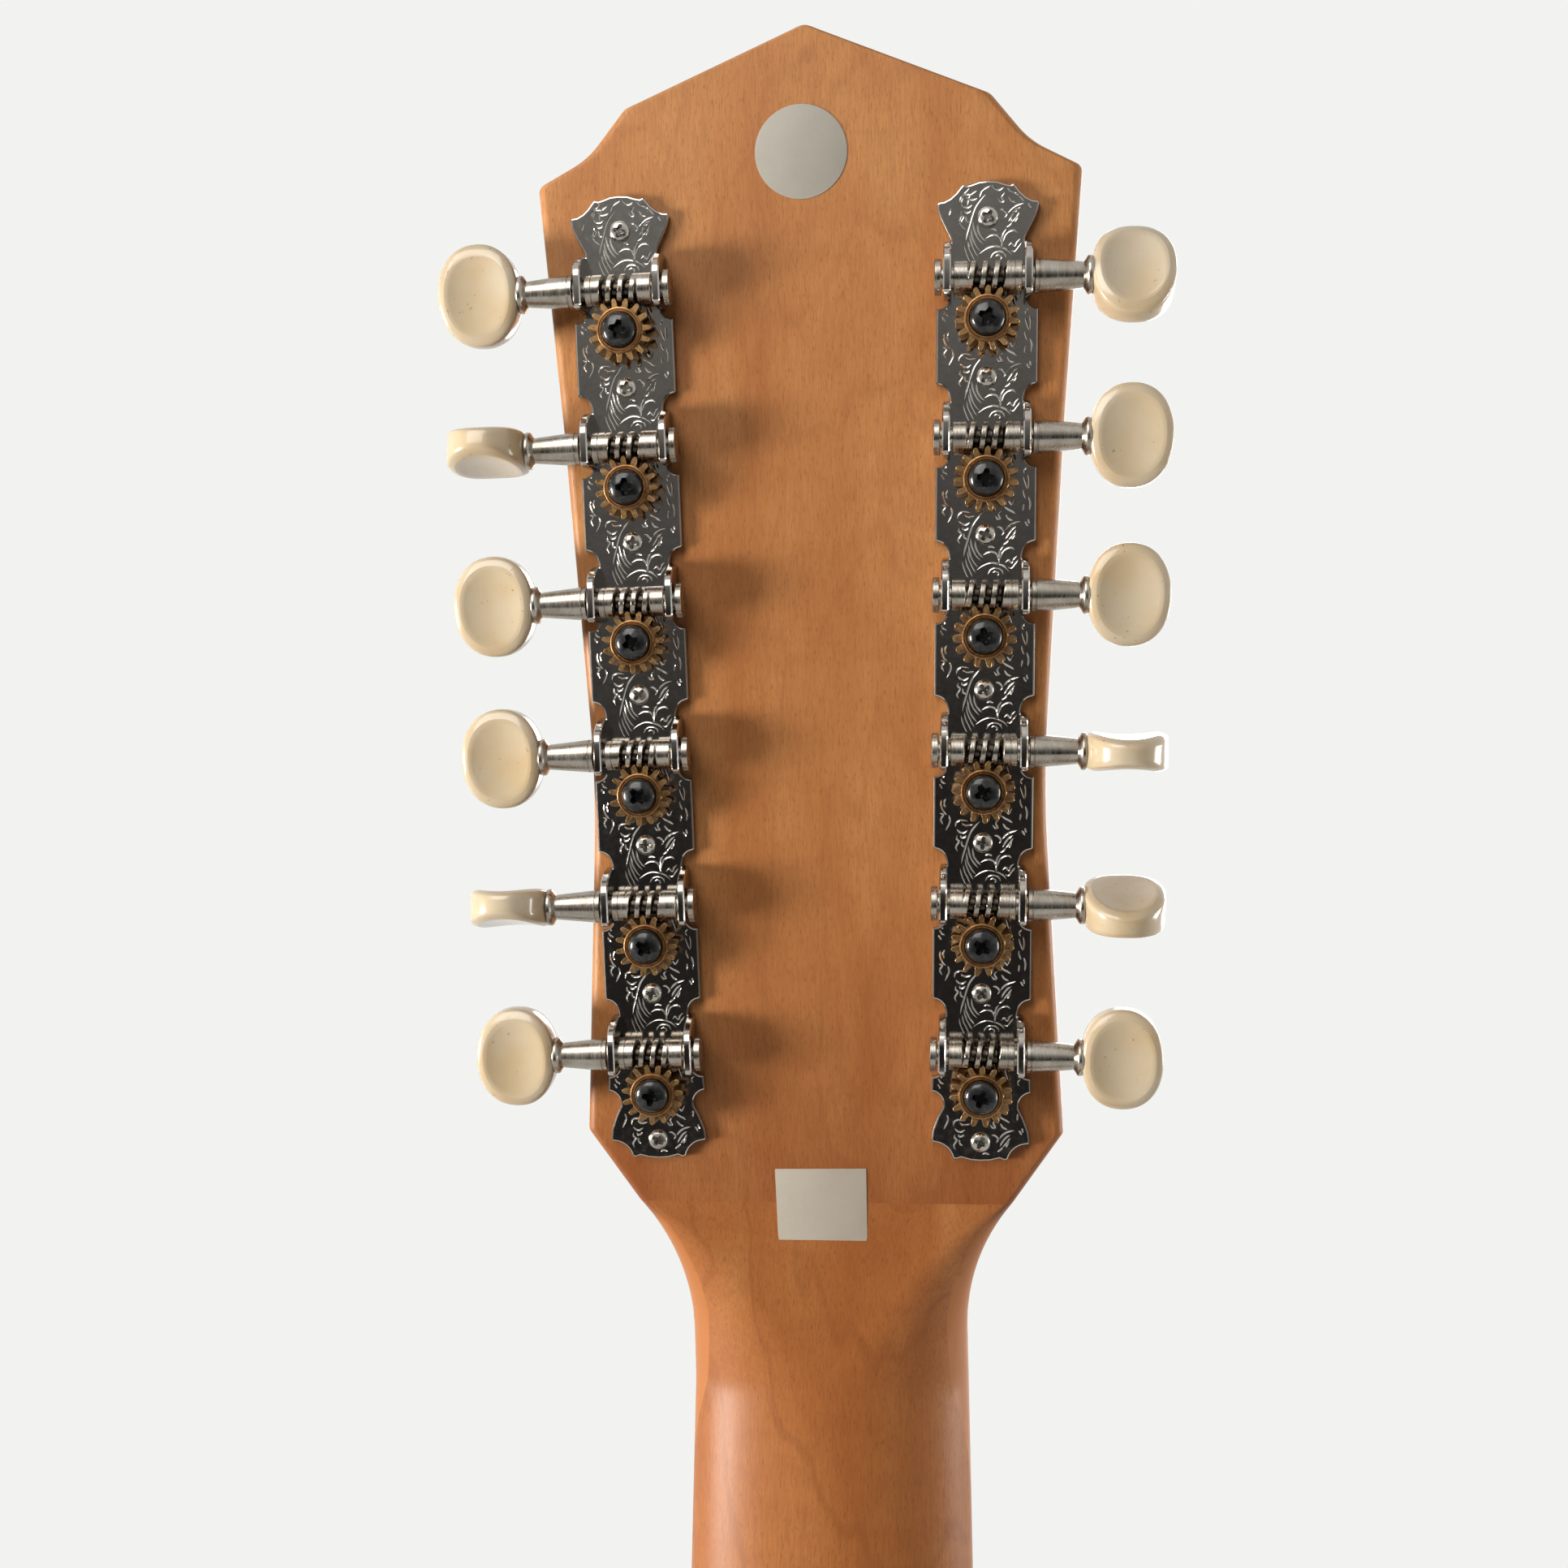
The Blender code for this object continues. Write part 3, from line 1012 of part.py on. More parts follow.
def gear_and_post():
    """The gear with a tooth towards +Y, its teeth leaning to match the worm's thread, on its post."""
    work = bmesh.new()

    def plain_ring(radius, height, turn=0):
        angles = [math.pi / 2 + turn + math.pi / TEETH * (2 * tooth - 1) for tooth in range(TEETH)]
        return [work.verts.new((radius * math.cos(a), radius * math.sin(a), height)) for a in angles]

    def toothed_ring(height, turn):
        tip = TOOTH_TIP_WIDTH / 2 / GEAR_TIP_RADIUS
        ring = []
        for tooth in range(TEETH):
            middle = math.pi / 2 + turn + 2 * math.pi * tooth / TEETH
            for angle, radius in ((middle - math.pi / TEETH, GEAR_ROOT_RADIUS),
                                  (middle - tip, GEAR_TIP_RADIUS), (middle + tip, GEAR_TIP_RADIUS)):
                ring.append(work.verts.new((radius * math.cos(angle), radius * math.sin(angle), height)))
        return ring

    def join(near, far):
        for index in range(len(near)):
            after = (index + 1) % len(near)
            work.faces.new((near[index], near[after], far[after], far[index]))

    def join_to_teeth(plain, toothed):
        for tooth in range(TEETH):
            after = (tooth + 1) % TEETH
            work.faces.new((plain[tooth], plain[after], toothed[3 * after], toothed[3 * tooth + 2],
                            toothed[3 * tooth + 1], toothed[3 * tooth]))

    lean = GEAR_THICKNESS / 2 * PITCH / (2 * math.pi * (CENTRE_DISTANCE - GEAR_PITCH_RADIUS))
    twist = lean / GEAR_PITCH_RADIUS
    crown = [plain_ring(SCREW_HEAD_RADIUS * 0.7, GEAR_HIGH + SCREW_HEAD_HEIGHT),
             plain_ring(SCREW_HEAD_RADIUS, GEAR_HIGH + SCREW_HEAD_HEIGHT * 0.45),
             plain_ring(GEAR_COLLAR_RADIUS, GEAR_HIGH + GEAR_COLLAR_HEIGHT),
             plain_ring(GEAR_COLLAR_RADIUS, GEAR_HIGH, -twist)]
    stem = [plain_ring(POST_RADIUS, GEAR_LOW, twist), plain_ring(POST_RADIUS, POST_END)]
    upper, lower = toothed_ring(GEAR_HIGH, -twist), toothed_ring(GEAR_LOW, twist)
    work.faces.new(crown[0])
    work.faces.new(stem[-1])
    for rows in (crown, stem):
        for near, far in zip(rows, rows[1:]):
            join(near, far)
    join_to_teeth(crown[-1], upper)
    join(upper, lower)
    join_to_teeth(stem[0], lower)
    bmesh.ops.recalc_face_normals(work, faces=work.faces)
    mesh = bpy.data.meshes.new("gear_post")
    work.to_mesh(mesh)
    work.free()
    return mesh


gear_mesh = gear_and_post()

for sign, number, frame in post_places:
    name = "bass" if sign > 0 else "treble"
    turn = math.radians((BASS_KEY_TURNS if sign > 0 else TREBLE_KEY_TURNS)[number])
    half_tooth = 0 if sign > 0 else math.pi / TEETH
    gear_turn = -sign * turn / TEETH + half_tooth
    solid(f"tuner_gear_{name}_{number + 1}", gear_mesh, BRASS, frame @ Matrix.Rotation(gear_turn, 4, "Z"))
    # The key's own axes in the tuner's frame: Z out along the shaft, X out of the headstock's back
    key_axes = Matrix(((0, 0, sign, 0), (0, -sign, 0, 0), (1, 0, 0, 0), (0, 0, 0, 1)))
    key_frame = frame @ Matrix.Translation((0, CENTRE_DISTANCE, WORM_HEIGHT)) @ key_axes
    solid(f"tuner_key_{name}_{number + 1}", key_mesh, KEY_PLASTIC, key_frame @ Matrix.Rotation(turn, 4, "Z"))
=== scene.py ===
import math

import bmesh
import bpy
from mathutils import Matrix, Vector
from mathutils.geometry import delaunay_2d_cdt


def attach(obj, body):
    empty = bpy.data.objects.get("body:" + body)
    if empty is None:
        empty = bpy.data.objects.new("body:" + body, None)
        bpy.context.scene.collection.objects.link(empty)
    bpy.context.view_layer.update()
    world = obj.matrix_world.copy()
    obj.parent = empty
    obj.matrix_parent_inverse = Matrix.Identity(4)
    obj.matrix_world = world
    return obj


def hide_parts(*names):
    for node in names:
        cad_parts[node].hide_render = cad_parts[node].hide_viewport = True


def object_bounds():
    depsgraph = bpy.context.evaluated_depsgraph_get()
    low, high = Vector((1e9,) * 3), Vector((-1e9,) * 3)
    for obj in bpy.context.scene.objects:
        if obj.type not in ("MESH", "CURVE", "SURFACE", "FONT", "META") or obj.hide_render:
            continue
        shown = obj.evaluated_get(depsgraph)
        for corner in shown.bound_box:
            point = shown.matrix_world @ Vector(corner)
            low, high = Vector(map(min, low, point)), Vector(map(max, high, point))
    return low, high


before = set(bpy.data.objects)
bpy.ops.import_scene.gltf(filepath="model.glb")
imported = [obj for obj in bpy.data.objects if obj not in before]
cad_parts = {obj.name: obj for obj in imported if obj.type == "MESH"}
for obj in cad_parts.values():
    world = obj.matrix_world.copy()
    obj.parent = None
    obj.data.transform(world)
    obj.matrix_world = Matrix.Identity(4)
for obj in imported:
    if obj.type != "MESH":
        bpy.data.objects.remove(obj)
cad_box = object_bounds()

# Neck and headstock
# One maple neck: a shaft with a rounded back, and a headstock joined to it at a slant and leaning back.
# Sanded smooth and sprayed with clear, slightly amber lacquer.
HEAD_ANGLE = math.radians(14)
HEAD_THICKNESS = 0.0150
FLARE_ABOVE_NUT = 0.013
NUT_WIDTH = 0.0476
NUT_THICKNESS = 0.0055
UP_HEAD = Vector((0, math.sin(HEAD_ANGLE), math.cos(HEAD_ANGLE)))
OUT_OF_BACK = Vector((0, math.cos(HEAD_ANGLE), -math.sin(HEAD_ANGLE)))
NUT_LINE = -(FLARE_ABOVE_NUT * UP_HEAD + HEAD_THICKNESS / 2 * OUT_OF_BACK)
GLUE_Y, NUT_Z = NUT_LINE.y, NUT_LINE.z
BOARD_TOP_Z = NUT_Z - NUT_THICKNESS
SCALE_LENGTH = 0.645
BODY_FRET, LAST_FRET = 14, 20
BODY_Z = BOARD_TOP_Z - SCALE_LENGTH * (1 - 2 ** (-BODY_FRET / 12))
BOARD_END_WIDTH, BOARD_PAST_FRETS = 0.0592, 0.008
BOARD_LENGTH = SCALE_LENGTH * (1 - 2 ** (-LAST_FRET / 12)) + BOARD_PAST_FRETS
GAP = 0.0003
HEAD_EDGE = 0.0016
BEND_RADIUS = 0.164
SCARF_ANGLE = math.radians(20)
NECK_DEPTH_AT_NUT, NECK_DEEPENING = 0.0150, 0.0035
HEEL_LENGTH = 0.075
HEEL_DEPTH = 0.092
HEEL_CAP_WIDTH = 0.024
NECK_SIDE_WALL = 0.0022
# X to the right as seen from behind, Y up the headstock's back, Z out of it
BACK_FRAME = Matrix.Translation(NUT_LINE + HEAD_THICKNESS * OUT_OF_BACK) @ Matrix((
    (-1, 0, 0, 0),
    (0, UP_HEAD.y, OUT_OF_BACK.y, 0),
    (0, UP_HEAD.z, OUT_OF_BACK.z, 0),
    (0, 0, 0, 1)))


def node(tree, kind, sockets=None, **settings):
    """A node with its settings, and its sockets set or linked."""
    made = tree.nodes.new(kind)
    for name, value in settings.items():
        setattr(made, name, value)
    for name, value in (sockets or {}).items():
        if isinstance(value, bpy.types.NodeSocket):
            tree.links.new(value, made.inputs[name])
        else:
            made.inputs[name].default_value = value
    return made


def new_finish(name, **plain):
    """A material with these plain numbers on its shader: (material, its node tree)."""
    made = bpy.data.materials.new(name)
    made.use_nodes = True
    for socket, value in plain.items():
        made.node_tree.nodes["Principled BSDF"].inputs[socket.replace("_", " ")].default_value = value
    return made, made.node_tree


def dressed(made, base, roughness=None, relief=None, strength=0.05, distance=0.0002):
    """The material with its colour, and its roughness and fine relief if given, linked to its shader."""
    tree = made.node_tree
    shader = tree.nodes["Principled BSDF"]
    tree.links.new(base, shader.inputs["Base Color"])
    if roughness is not None:
        tree.links.new(roughness, shader.inputs["Roughness"])
    if relief is not None:
        bump = node(tree, "ShaderNodeBump", {"Height": relief, "Strength": strength, "Distance": distance})
        tree.links.new(bump.outputs["Normal"], shader.inputs["Normal"])
    return made


def ramp(tree, factor, stops):
    """A colour ramp through (place, colour) stops."""
    made = node(tree, "ShaderNodeValToRGB", {"Fac": factor})
    while len(made.color_ramp.elements) < len(stops):
        made.color_ramp.elements.new(0.5)
    for element, (place, colour) in zip(made.color_ramp.elements, stops):
        element.position = place
        element.color = (*colour, 1)
    return made.outputs["Color"]


def level(tree, factor, low, high, from_low=0.0, from_high=1.0):
    """A factor stretched to another range, clamped."""
    made = node(tree, "ShaderNodeMapRange", {"Value": factor, "From Min": from_low, "From Max": from_high,
                                             "To Min": low, "To Max": high})
    return made.outputs["Result"]


def reckon(tree, operation, one, other=0.0):
    return node(tree, "ShaderNodeMath", {0: one, 1: other}, operation=operation).outputs[0]


def blended(tree, factor, one, other, kind="MIX"):
    """One colour passing into another as the factor goes from 0 to 1."""
    made = node(tree, "ShaderNodeMix", data_type="RGBA", blend_type=kind)
    for socket, value in ((made.inputs[0], factor), (made.inputs[6], one), (made.inputs[7], other)):
        if isinstance(value, bpy.types.NodeSocket):
            tree.links.new(value, socket)
        else:
            socket.default_value = (*value, 1)
    return made.outputs[2]


def dimmed(colour, share):
    return tuple(share * part for part in colour)


def stained(tree, base, pattern, most, start, end, colour):
    """A colour laid over the base where a pattern passes from start to end, at most by a share."""
    return blended(tree, level(tree, pattern, 0.0, most, start, end), base, colour)


def noise(tree, place, scale, detail=2.0, roughness=0.5, distortion=0.0):
    made = node(tree, "ShaderNodeTexNoise", {"Vector": place, "Scale": scale, "Detail": detail,
                                             "Roughness": roughness, "Distortion": distortion})
    return made.outputs["Fac"]


def stretched(tree, scale=(1, 1, 1), turn=(0, 0, 0), at=(0, 0, 0)):
    """Object coordinates turned, then squeezed along each axis."""
    coordinates = node(tree, "ShaderNodeTexCoord").outputs["Object"]
    turned = node(tree, "ShaderNodeMapping", {"Vector": coordinates, "Rotation": turn, "Location": at})
    squeezed = node(tree, "ShaderNodeMapping", {"Vector": turned.outputs["Vector"], "Scale": scale})
    return squeezed.outputs["Vector"]


def maple(name, lean, deep, middle, pale, offset, lines, foot=None):
    """Lacquered maple: broad bands, thin wavy growth lines and short fine flecks; towards a foot, redder wood
    and painted shade.
    """
    made, tree = new_finish(name, Coat_Weight=0.06, Coat_Roughness=0.42, Coat_IOR=1.45,
                            Specular_IOR_Level=0.30)
    turn = (lean, 0, 0)
    broad = noise(tree, stretched(tree, (1, 1, 0.22), turn, offset), 46, 3, 0.55, 0.6)
    figure = noise(tree, stretched(tree, (0.55, 1, 1.1), turn, offset), 95, 2, 0.5, 1.5)
    fibre = noise(tree, stretched(tree, (1, 1, 0.09), turn, offset), 2900, 3, 0.65)
    fleck = noise(tree, stretched(tree, (1, 1, 0.20), turn, offset), 4300, 2, 0.5)
    growth = node(tree, "ShaderNodeTexWave", {
        "Vector": stretched(tree, (1, 1, 0.30), turn, (0.012, 0, -0.045)), "Scale": 38.0, "Distortion": 5.0,
        "Detail": 2.0, "Detail Scale": 2.2}, wave_type="RINGS", rings_direction="Y").outputs["Fac"]
    base = ramp(tree, broad, ((0.30, deep), (0.52, middle), (0.74, pale)))
    base = stained(tree, base, figure, 0.34, 0.46, 0.70, deep)
    base = stained(tree, base, fibre, 0.36, 0.38, 0.66, dimmed(deep, 0.70))
    base = stained(tree, base, fleck, 0.46, 0.56, 0.72, dimmed(deep, 0.50))
    base = stained(tree, base, growth, lines, 0.96, 1.0, dimmed(deep, 0.70))
    # Towards the foot the colour is darkened and reddened: partly the wood's redder colour, partly painted
    # shade where less light falls
    if foot:
        up = node(tree, "ShaderNodeSeparateXYZ", {"Vector": stretched(tree)}).outputs["Z"]
        base = blended(tree, level(tree, up, 1.0, 0.0, *foot), base, (0.50, 0.30, 0.20), "MULTIPLY")
        base = blended(tree, level(tree, up, 1.0, 0.0, 0.0030, 0.0055), base, JOINT_MAPLE)
    return dressed(made, base, level(tree, broad, 0.34, 0.48, 0.3, 0.7), fibre, 0.05, 0.0004)


# Below the joint the headstock's wood has the neck's colour
JOINT_MAPLE = (0.40, 0.142, 0.038)
# The headstock's maple is painted darker and redder towards its foot: painted shade, with some redder wood
HEAD_MAPLE = maple("headstock_maple", HEAD_ANGLE, (0.37, 0.134, 0.040), (0.465, 0.194, 0.062),
                   (0.53, 0.252, 0.088), (0.31, 0.17, 0.05), 0.19, foot=(-0.02, 0.05))
NECK_MAPLE = maple("neck_maple", 0.0, (0.30, 0.090, 0.022), (0.37, 0.130, 0.034),
                   (0.44, 0.178, 0.056), (0.11, 0.42, 0.23), 0.32)


def arc(centre, radius, start, end, steps):
    """Points on an arc, its angles in degrees, both ends included."""
    angles = [math.radians(start + (end - start) * index / steps) for index in range(steps + 1)]
    return [(centre[0] + radius * math.cos(a), centre[1] + radius * math.sin(a)) for a in angles]


def filleted(corners, steps=8):
    """A line through (x, y, radius) corners, each with a radius rounded by an arc."""
    line = [Vector(corners[0][:2])]
    for before, corner, after in zip(corners, corners[1:], corners[2:]):
        here, radius = Vector(corner[:2]), corner[2]
        if radius == 0:
            line.append(here)
            continue
        back = (Vector(before[:2]) - here).normalized()
        ahead = (Vector(after[:2]) - here).normalized()
        half = back.angle(ahead) / 2
        middle = here + (back + ahead).normalized() * radius / math.sin(half)
        start = here + back * radius / math.tan(half) - middle
        end = here + ahead * radius / math.tan(half) - middle
        turn = math.atan2(start.x * end.y - start.y * end.x, start.dot(end))
        line += [middle + Matrix.Rotation(turn * step / steps, 2) @ start for step in range(steps + 1)]
    line.append(Vector(corners[-1][:2]))
    return [(point.x, point.y) for point in line]


def shown(name, data):
    """A new object in the scene."""
    made = bpy.data.objects.new(name, data)
    bpy.context.scene.collection.objects.link(made)
    return made


def piece(name, mesh, finish, body, replaced=(), angle=35, place=None):
    """A finished piece with its place in its mesh, riding on its body."""
    if place is not None:
        mesh.transform(place)
    if finish is not None:
        mesh.materials.clear()
        mesh.materials.append(finish)
    mesh.shade_smooth()
    mesh.set_sharp_from_angle(angle=math.radians(angle))
    made = shown(name, mesh)
    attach(made, body)
    if replaced:
        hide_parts(*replaced)


def mesh_of(work, name):
    bmesh.ops.recalc_face_normals(work, faces=work.faces)
    mesh = bpy.data.meshes.new(name)
    work.to_mesh(mesh)
    work.free()
    return mesh


def new_rows(work, rings):
    return [[work.verts.new(point) for point in ring] for ring in rings]


def bridged(work, rows):
    """Faces between neighbouring rows of vertices, each row a closed ring of the same length."""
    for low, high in zip(rows, rows[1:]):
        for corners in zip(low, low[1:] + low[:1], high[1:] + high[:1], high):
            work.faces.new(corners)
    return rows


def skin(rings, work=None):
    """A closed skin through rings of the same number of points, with a face over each end."""
    work = work or bmesh.new()
    rows = bridged(work, new_rows(work, rings))
    work.faces.new(rows[0][::-1])
    work.faces.new(rows[-1])
    return work


def neck_half_width(below_board_top):
    return (NUT_WIDTH + (BOARD_END_WIDTH - NUT_WIDTH) * below_board_top / BOARD_LENGTH) / 2


HEAD_SIDE = [point for point in filleted((
    (-0.01, 0.2108, 0), (0, 0.2149, 0.006), (0.0296, 0.20275, 0.0025), (0.0358, 0.1952, 0.014),
    (0.04405, 0.1909, 0.0015), (0.0410, 0.1520, 0.3), (0.0373, 0.0930, 0.2), (0.0401, 0.0340, 0.0016),
    (NUT_WIDTH / 2, 0.0108, 0.044), (NUT_WIDTH / 2, -0.02, 0))) if point[0] > 0.0002]
BEND_START = (HEAD_THICKNESS + BEND_RADIUS) * math.tan(HEAD_ANGLE / 2)


def head_half_width(s):
    for (x_high, s_high), (x_low, s_low) in zip(HEAD_SIDE, HEAD_SIDE[1:]):
        if s_low <= s <= s_high:
            return x_low + (x_high - x_low) * (s - s_low) / (s_high - s_low)
    return NUT_WIDTH / 2


def section(front, deeper, half_width, depth, round_across, round_deep, steps=10):
    """A ring across the neck: flat front, straight sides, and a back with rounded edges."""
    wall = depth - round_deep
    half = [(half_width - 0.0006, 0), (half_width, 0), (half_width, wall * 0.15), (half_width, wall * 0.85)]
    for step in range(steps + 1):
        angle = math.pi / 2 * step / steps
        half.append((half_width - round_across * (1 - math.cos(angle)), wall + round_deep * math.sin(angle)))
    flat = half_width - round_across
    half += [(flat * share, depth) for share in (0.97, 0.85, 0.5, 0.15)]
    return [front + Vector((x, 0, 0)) + deeper * d for x, d in half + [(-x, d) for x, d in reversed(half)]]


def neck_and_head_rings():
    rings = []
    heights = [(x, s) for x, s in HEAD_SIDE if s > BEND_START + 0.0005]
    for x, s in heights:
        edge = min(HEAD_EDGE, 0.8 * x)
        rings.append(section(NUT_LINE + s * UP_HEAD, OUT_OF_BACK, x, HEAD_THICKNESS, edge, edge))
    half_angle = HEAD_ANGLE / 2
    to_centre = (HEAD_THICKNESS + BEND_RADIUS) / math.cos(half_angle)
    centre = NUT_LINE + to_centre * Vector((0, math.cos(half_angle), -math.sin(half_angle)))
    fan = 28
    for index in range(fan + 1):
        angle = HEAD_ANGLE * (1 - index / fan)
        deeper = Vector((0, math.cos(angle), -math.sin(angle)))
        back = centre - BEND_RADIUS * deeper
        face = OUT_OF_BACK if angle > half_angle else Vector((0, 1, 0))
        depth = (back - NUT_LINE).dot(face) / deeper.dot(face)
        front = back - depth * deeper
        height = (front - NUT_LINE).dot(UP_HEAD) if angle > half_angle else front.z - NUT_Z
        half_width = head_half_width(height) if height > -NUT_THICKNESS else neck_half_width(
            -height - NUT_THICKNESS)
        roundness = min(1, index / (0.8 * fan))
        across = HEAD_EDGE + (0.96 * half_width - HEAD_EDGE) * roundness
        deep = HEAD_EDGE + (depth - NECK_SIDE_WALL - HEAD_EDGE) * roundness
        rings.append(section(front, deeper, half_width, depth, across, deep))
    heel_start = BODY_Z + GAP + HEEL_LENGTH
    shaft_top = NUT_Z - BEND_START
    shaft = [shaft_top + (heel_start - shaft_top) * index / 16 for index in range(1, 17)]
    heel = [heel_start - HEEL_LENGTH * math.sin(math.pi / 2 * index / 20) for index in range(1, 21)]
    for z in shaft + heel:
        half_width = neck_half_width(BOARD_TOP_Z - z)
        share = (shaft_top - z) / (shaft_top - heel_start)
        depth = NECK_DEPTH_AT_NUT + NECK_DEEPENING * min(share, 1)
        across = 0.96 * half_width
        into_heel = min(max(0, (heel_start - z) / HEEL_LENGTH), 1)
        curve = 1 - math.sqrt(max(0, 1 - into_heel ** 3))
        depth += (HEEL_DEPTH - depth) * curve
        across += (half_width - HEEL_CAP_WIDTH / 2 - across) * curve
        rings.append(section(Vector((0, GLUE_Y, z)), Vector((0, 1, 0)), half_width, depth,
                             across, depth - NECK_SIDE_WALL))
    return rings


scarf_edge = BACK_FRAME @ Vector((0, BEND_START, 0))
scarf_normal = Matrix.Rotation(-SCARF_ANGLE, 3, "X") @ Vector((0, 1, 0))
for name, finish, kept in (("headstock", HEAD_MAPLE, -1), ("neck", NECK_MAPLE, 1)):
    work = skin(neck_and_head_rings())
    cut = bmesh.ops.bisect_plane(work, geom=work.verts[:] + work.edges[:] + work.faces[:], clear_outer=True,
                                 plane_co=scarf_edge, plane_no=scarf_normal * -kept)
    rim = [edge for edge in cut["geom_cut"] if isinstance(edge, bmesh.types.BMEdge)]
    bmesh.ops.edgeloop_fill(work, edges=rim)
    piece(name + "_wood", mesh_of(work, name + "_wood"), finish, "guitar", [name], angle=32)

# Head veneer
# A thin dark sheet glued to the headstock's front and polished with it.


def dark_wood(name, deep, pale, pore, roughness, lean=0.0, coat=0.0):
    """Dark wood with long fine pores along the grain."""
    made, tree = new_finish(name, Coat_Weight=coat, Coat_Roughness=0.08)
    turn = (lean, 0, 0)
    broad = noise(tree, stretched(tree, (1, 1, 0.10), turn), 120, 4, 0.6, 0.5)
    lines = noise(tree, stretched(tree, (1, 1, 0.02), turn), 1100, 2, 0.5)
    pores = noise(tree, stretched(tree, (1, 1, 0.06), turn), 1700, 1, 0.4)
    base = ramp(tree, broad, ((0.30, deep), (0.70, pale)))
    base = stained(tree, base, lines, 0.45, 0.45, 0.65, deep)
    base = stained(tree, base, pores, 0.70, 0.60, 0.70, pore)
    return dressed(made, base, level(tree, pores, roughness, roughness + 0.25, 0.5, 0.7), pores,
                   -0.162, 0.0003)


def repainted(name, finish):
    """A solid that needs no finer shape gets its real finish."""
    for material_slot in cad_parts[name].material_slots:
        material_slot.material = finish


repainted("head_veneer", dark_wood("head_veneer_finish", (0.010, 0.007, 0.006), (0.030, 0.019, 0.015),
                                   (0.004, 0.003, 0.003), 0.25, HEAD_ANGLE, coat=0.6))

# Truss rod
# A steel rod in a slot of the neck, under the fingerboard, where it holds the neck straight.


def plated(name, colour, dark, roughness, scale=900.0):
    """Nickel plate: a little uneven, with fine scuffs."""
    made, tree = new_finish(name, Metallic=1.0)
    cloud = noise(tree, stretched(tree), 260, 4, 0.6)
    scuff = noise(tree, stretched(tree), scale, 3, 0.7)
    base = stained(tree, colour, cloud, 0.55, 0.42, 0.75, dark)
    return dressed(made, base, level(tree, scuff, roughness * 0.7, roughness * 1.6, 0.35, 0.7), scuff)


repainted("truss_rod", plated("rod_steel", (0.42, 0.42, 0.42), (0.25, 0.24, 0.23), 0.35))

# Fingerboard
# Oiled rosewood glued to the neck's face: gently rounded across, with eased edges.
BOARD_THICKNESS = 0.0062
BOARD_CROWN = 0.0008
ROSEWOOD = dark_wood("rosewood", (0.028, 0.013, 0.009), (0.100, 0.048, 0.030), (0.009, 0.005, 0.004), 0.42)


def board_height(share):
    """The board's face above its glued side, at a share of its half width."""
    return BOARD_THICKNESS - BOARD_CROWN * share * share


def board_ring(drop, lowered=0.0):
    half_width = neck_half_width(drop)
    half = [(half_width, 0), (half_width, board_height(1) - 0.0004 - lowered)]
    half += [(half_width * share, board_height(share) - lowered)
             for share in (0.985, 0.9, 0.75, 0.5, 0.25, 0.05)]
    return [Vector((x, GLUE_Y - GAP - high, BOARD_TOP_Z - drop))
            for x, high in half + [(-x, high) for x, high in reversed(half)]]


board = skin([board_ring(GAP), board_ring(0.05), board_ring(BOARD_LENGTH - 0.0006),
              board_ring(BOARD_LENGTH, 0.0006)])
piece("fingerboard_wood", mesh_of(board, "fingerboard_wood"), ROSEWOOD, "guitar", ["fingerboard"],
      angle=25)

# Frets
# Twenty lengths of half-round nickel wire, pressed into the fingerboard, their ends filed at a slant.
FRET_HALF_WIDTH = 0.0013
FRET_HEIGHT = 0.0011
FRET_END_INSET = 0.0006


def fret_mesh():
    """A fret from X = -1 to 1, to be scaled to the neck's width, its foot on the board's glued plane."""
    rings = []
    for share in (-1, -0.972, -0.85, -0.6, -0.3, 0, 0.3, 0.6, 0.85, 0.972, 1):
        high = FRET_HEIGHT * (0.2 if abs(share) == 1 else 1)
        bead = [(high * math.sin(math.pi * step / 8), FRET_HALF_WIDTH * math.cos(math.pi * step / 8))
                for step in range(9)]
        top = board_height(share)
        rings.append([Vector((share, -top - up, along)) for up, along in bead]
                     + [Vector((share, 0.0004 - top, side * FRET_HALF_WIDTH)) for side in (-1, 1)])
    return mesh_of(skin(rings), "fret")


def grown(name, pattern, finish, inputs, lay_out):
    """Copies of a pattern's mesh in one mesh. The named inputs, each (socket type, value), go to
    lay_out(tree, given), which makes the points and the copies' turns or scales."""
    source, holder = shown("pattern", pattern), shown("holder", bpy.data.meshes.new(name))
    inputs = {**inputs, "Pattern": ("NodeSocketObject", source), "Finish": ("NodeSocketMaterial", finish)}
    tree = bpy.data.node_groups.new(name, "GeometryNodeTree")
    tree.interface.new_socket("Geometry", in_out="OUTPUT", socket_type="NodeSocketGeometry")
    for label, (kind, _) in inputs.items():
        tree.interface.new_socket(label, in_out="INPUT", socket_type=kind)
    given = tree.nodes.new("NodeGroupInput").outputs
    points, placing = lay_out(tree, given)
    shape = node(tree, "GeometryNodeObjectInfo", {"Object": given["Pattern"]})
    copies = node(tree, "GeometryNodeInstanceOnPoints", {
        "Points": points, "Instance": shape.outputs["Geometry"], **placing})
    real = node(tree, "GeometryNodeRealizeInstances", {"Geometry": copies.outputs["Instances"]})
    painted = node(tree, "GeometryNodeSetMaterial", {"Geometry": real.outputs["Geometry"],
                                                     "Material": given["Finish"]})
    tree.links.new(painted.outputs["Geometry"], tree.nodes.new("NodeGroupOutput").inputs["Geometry"])
    grows = holder.modifiers.new("grows", "NODES")
    grows.node_group = tree
    for item in tree.interface.items_tree:
        if item.in_out == "INPUT":
            grows[item.identifier] = inputs[item.name][1]
    bpy.context.view_layer.update()
    made = bpy.data.meshes.new_from_object(holder.evaluated_get(bpy.context.evaluated_depsgraph_get()))
    for scaffold in (holder, source):
        bpy.data.objects.remove(scaffold)
    return made


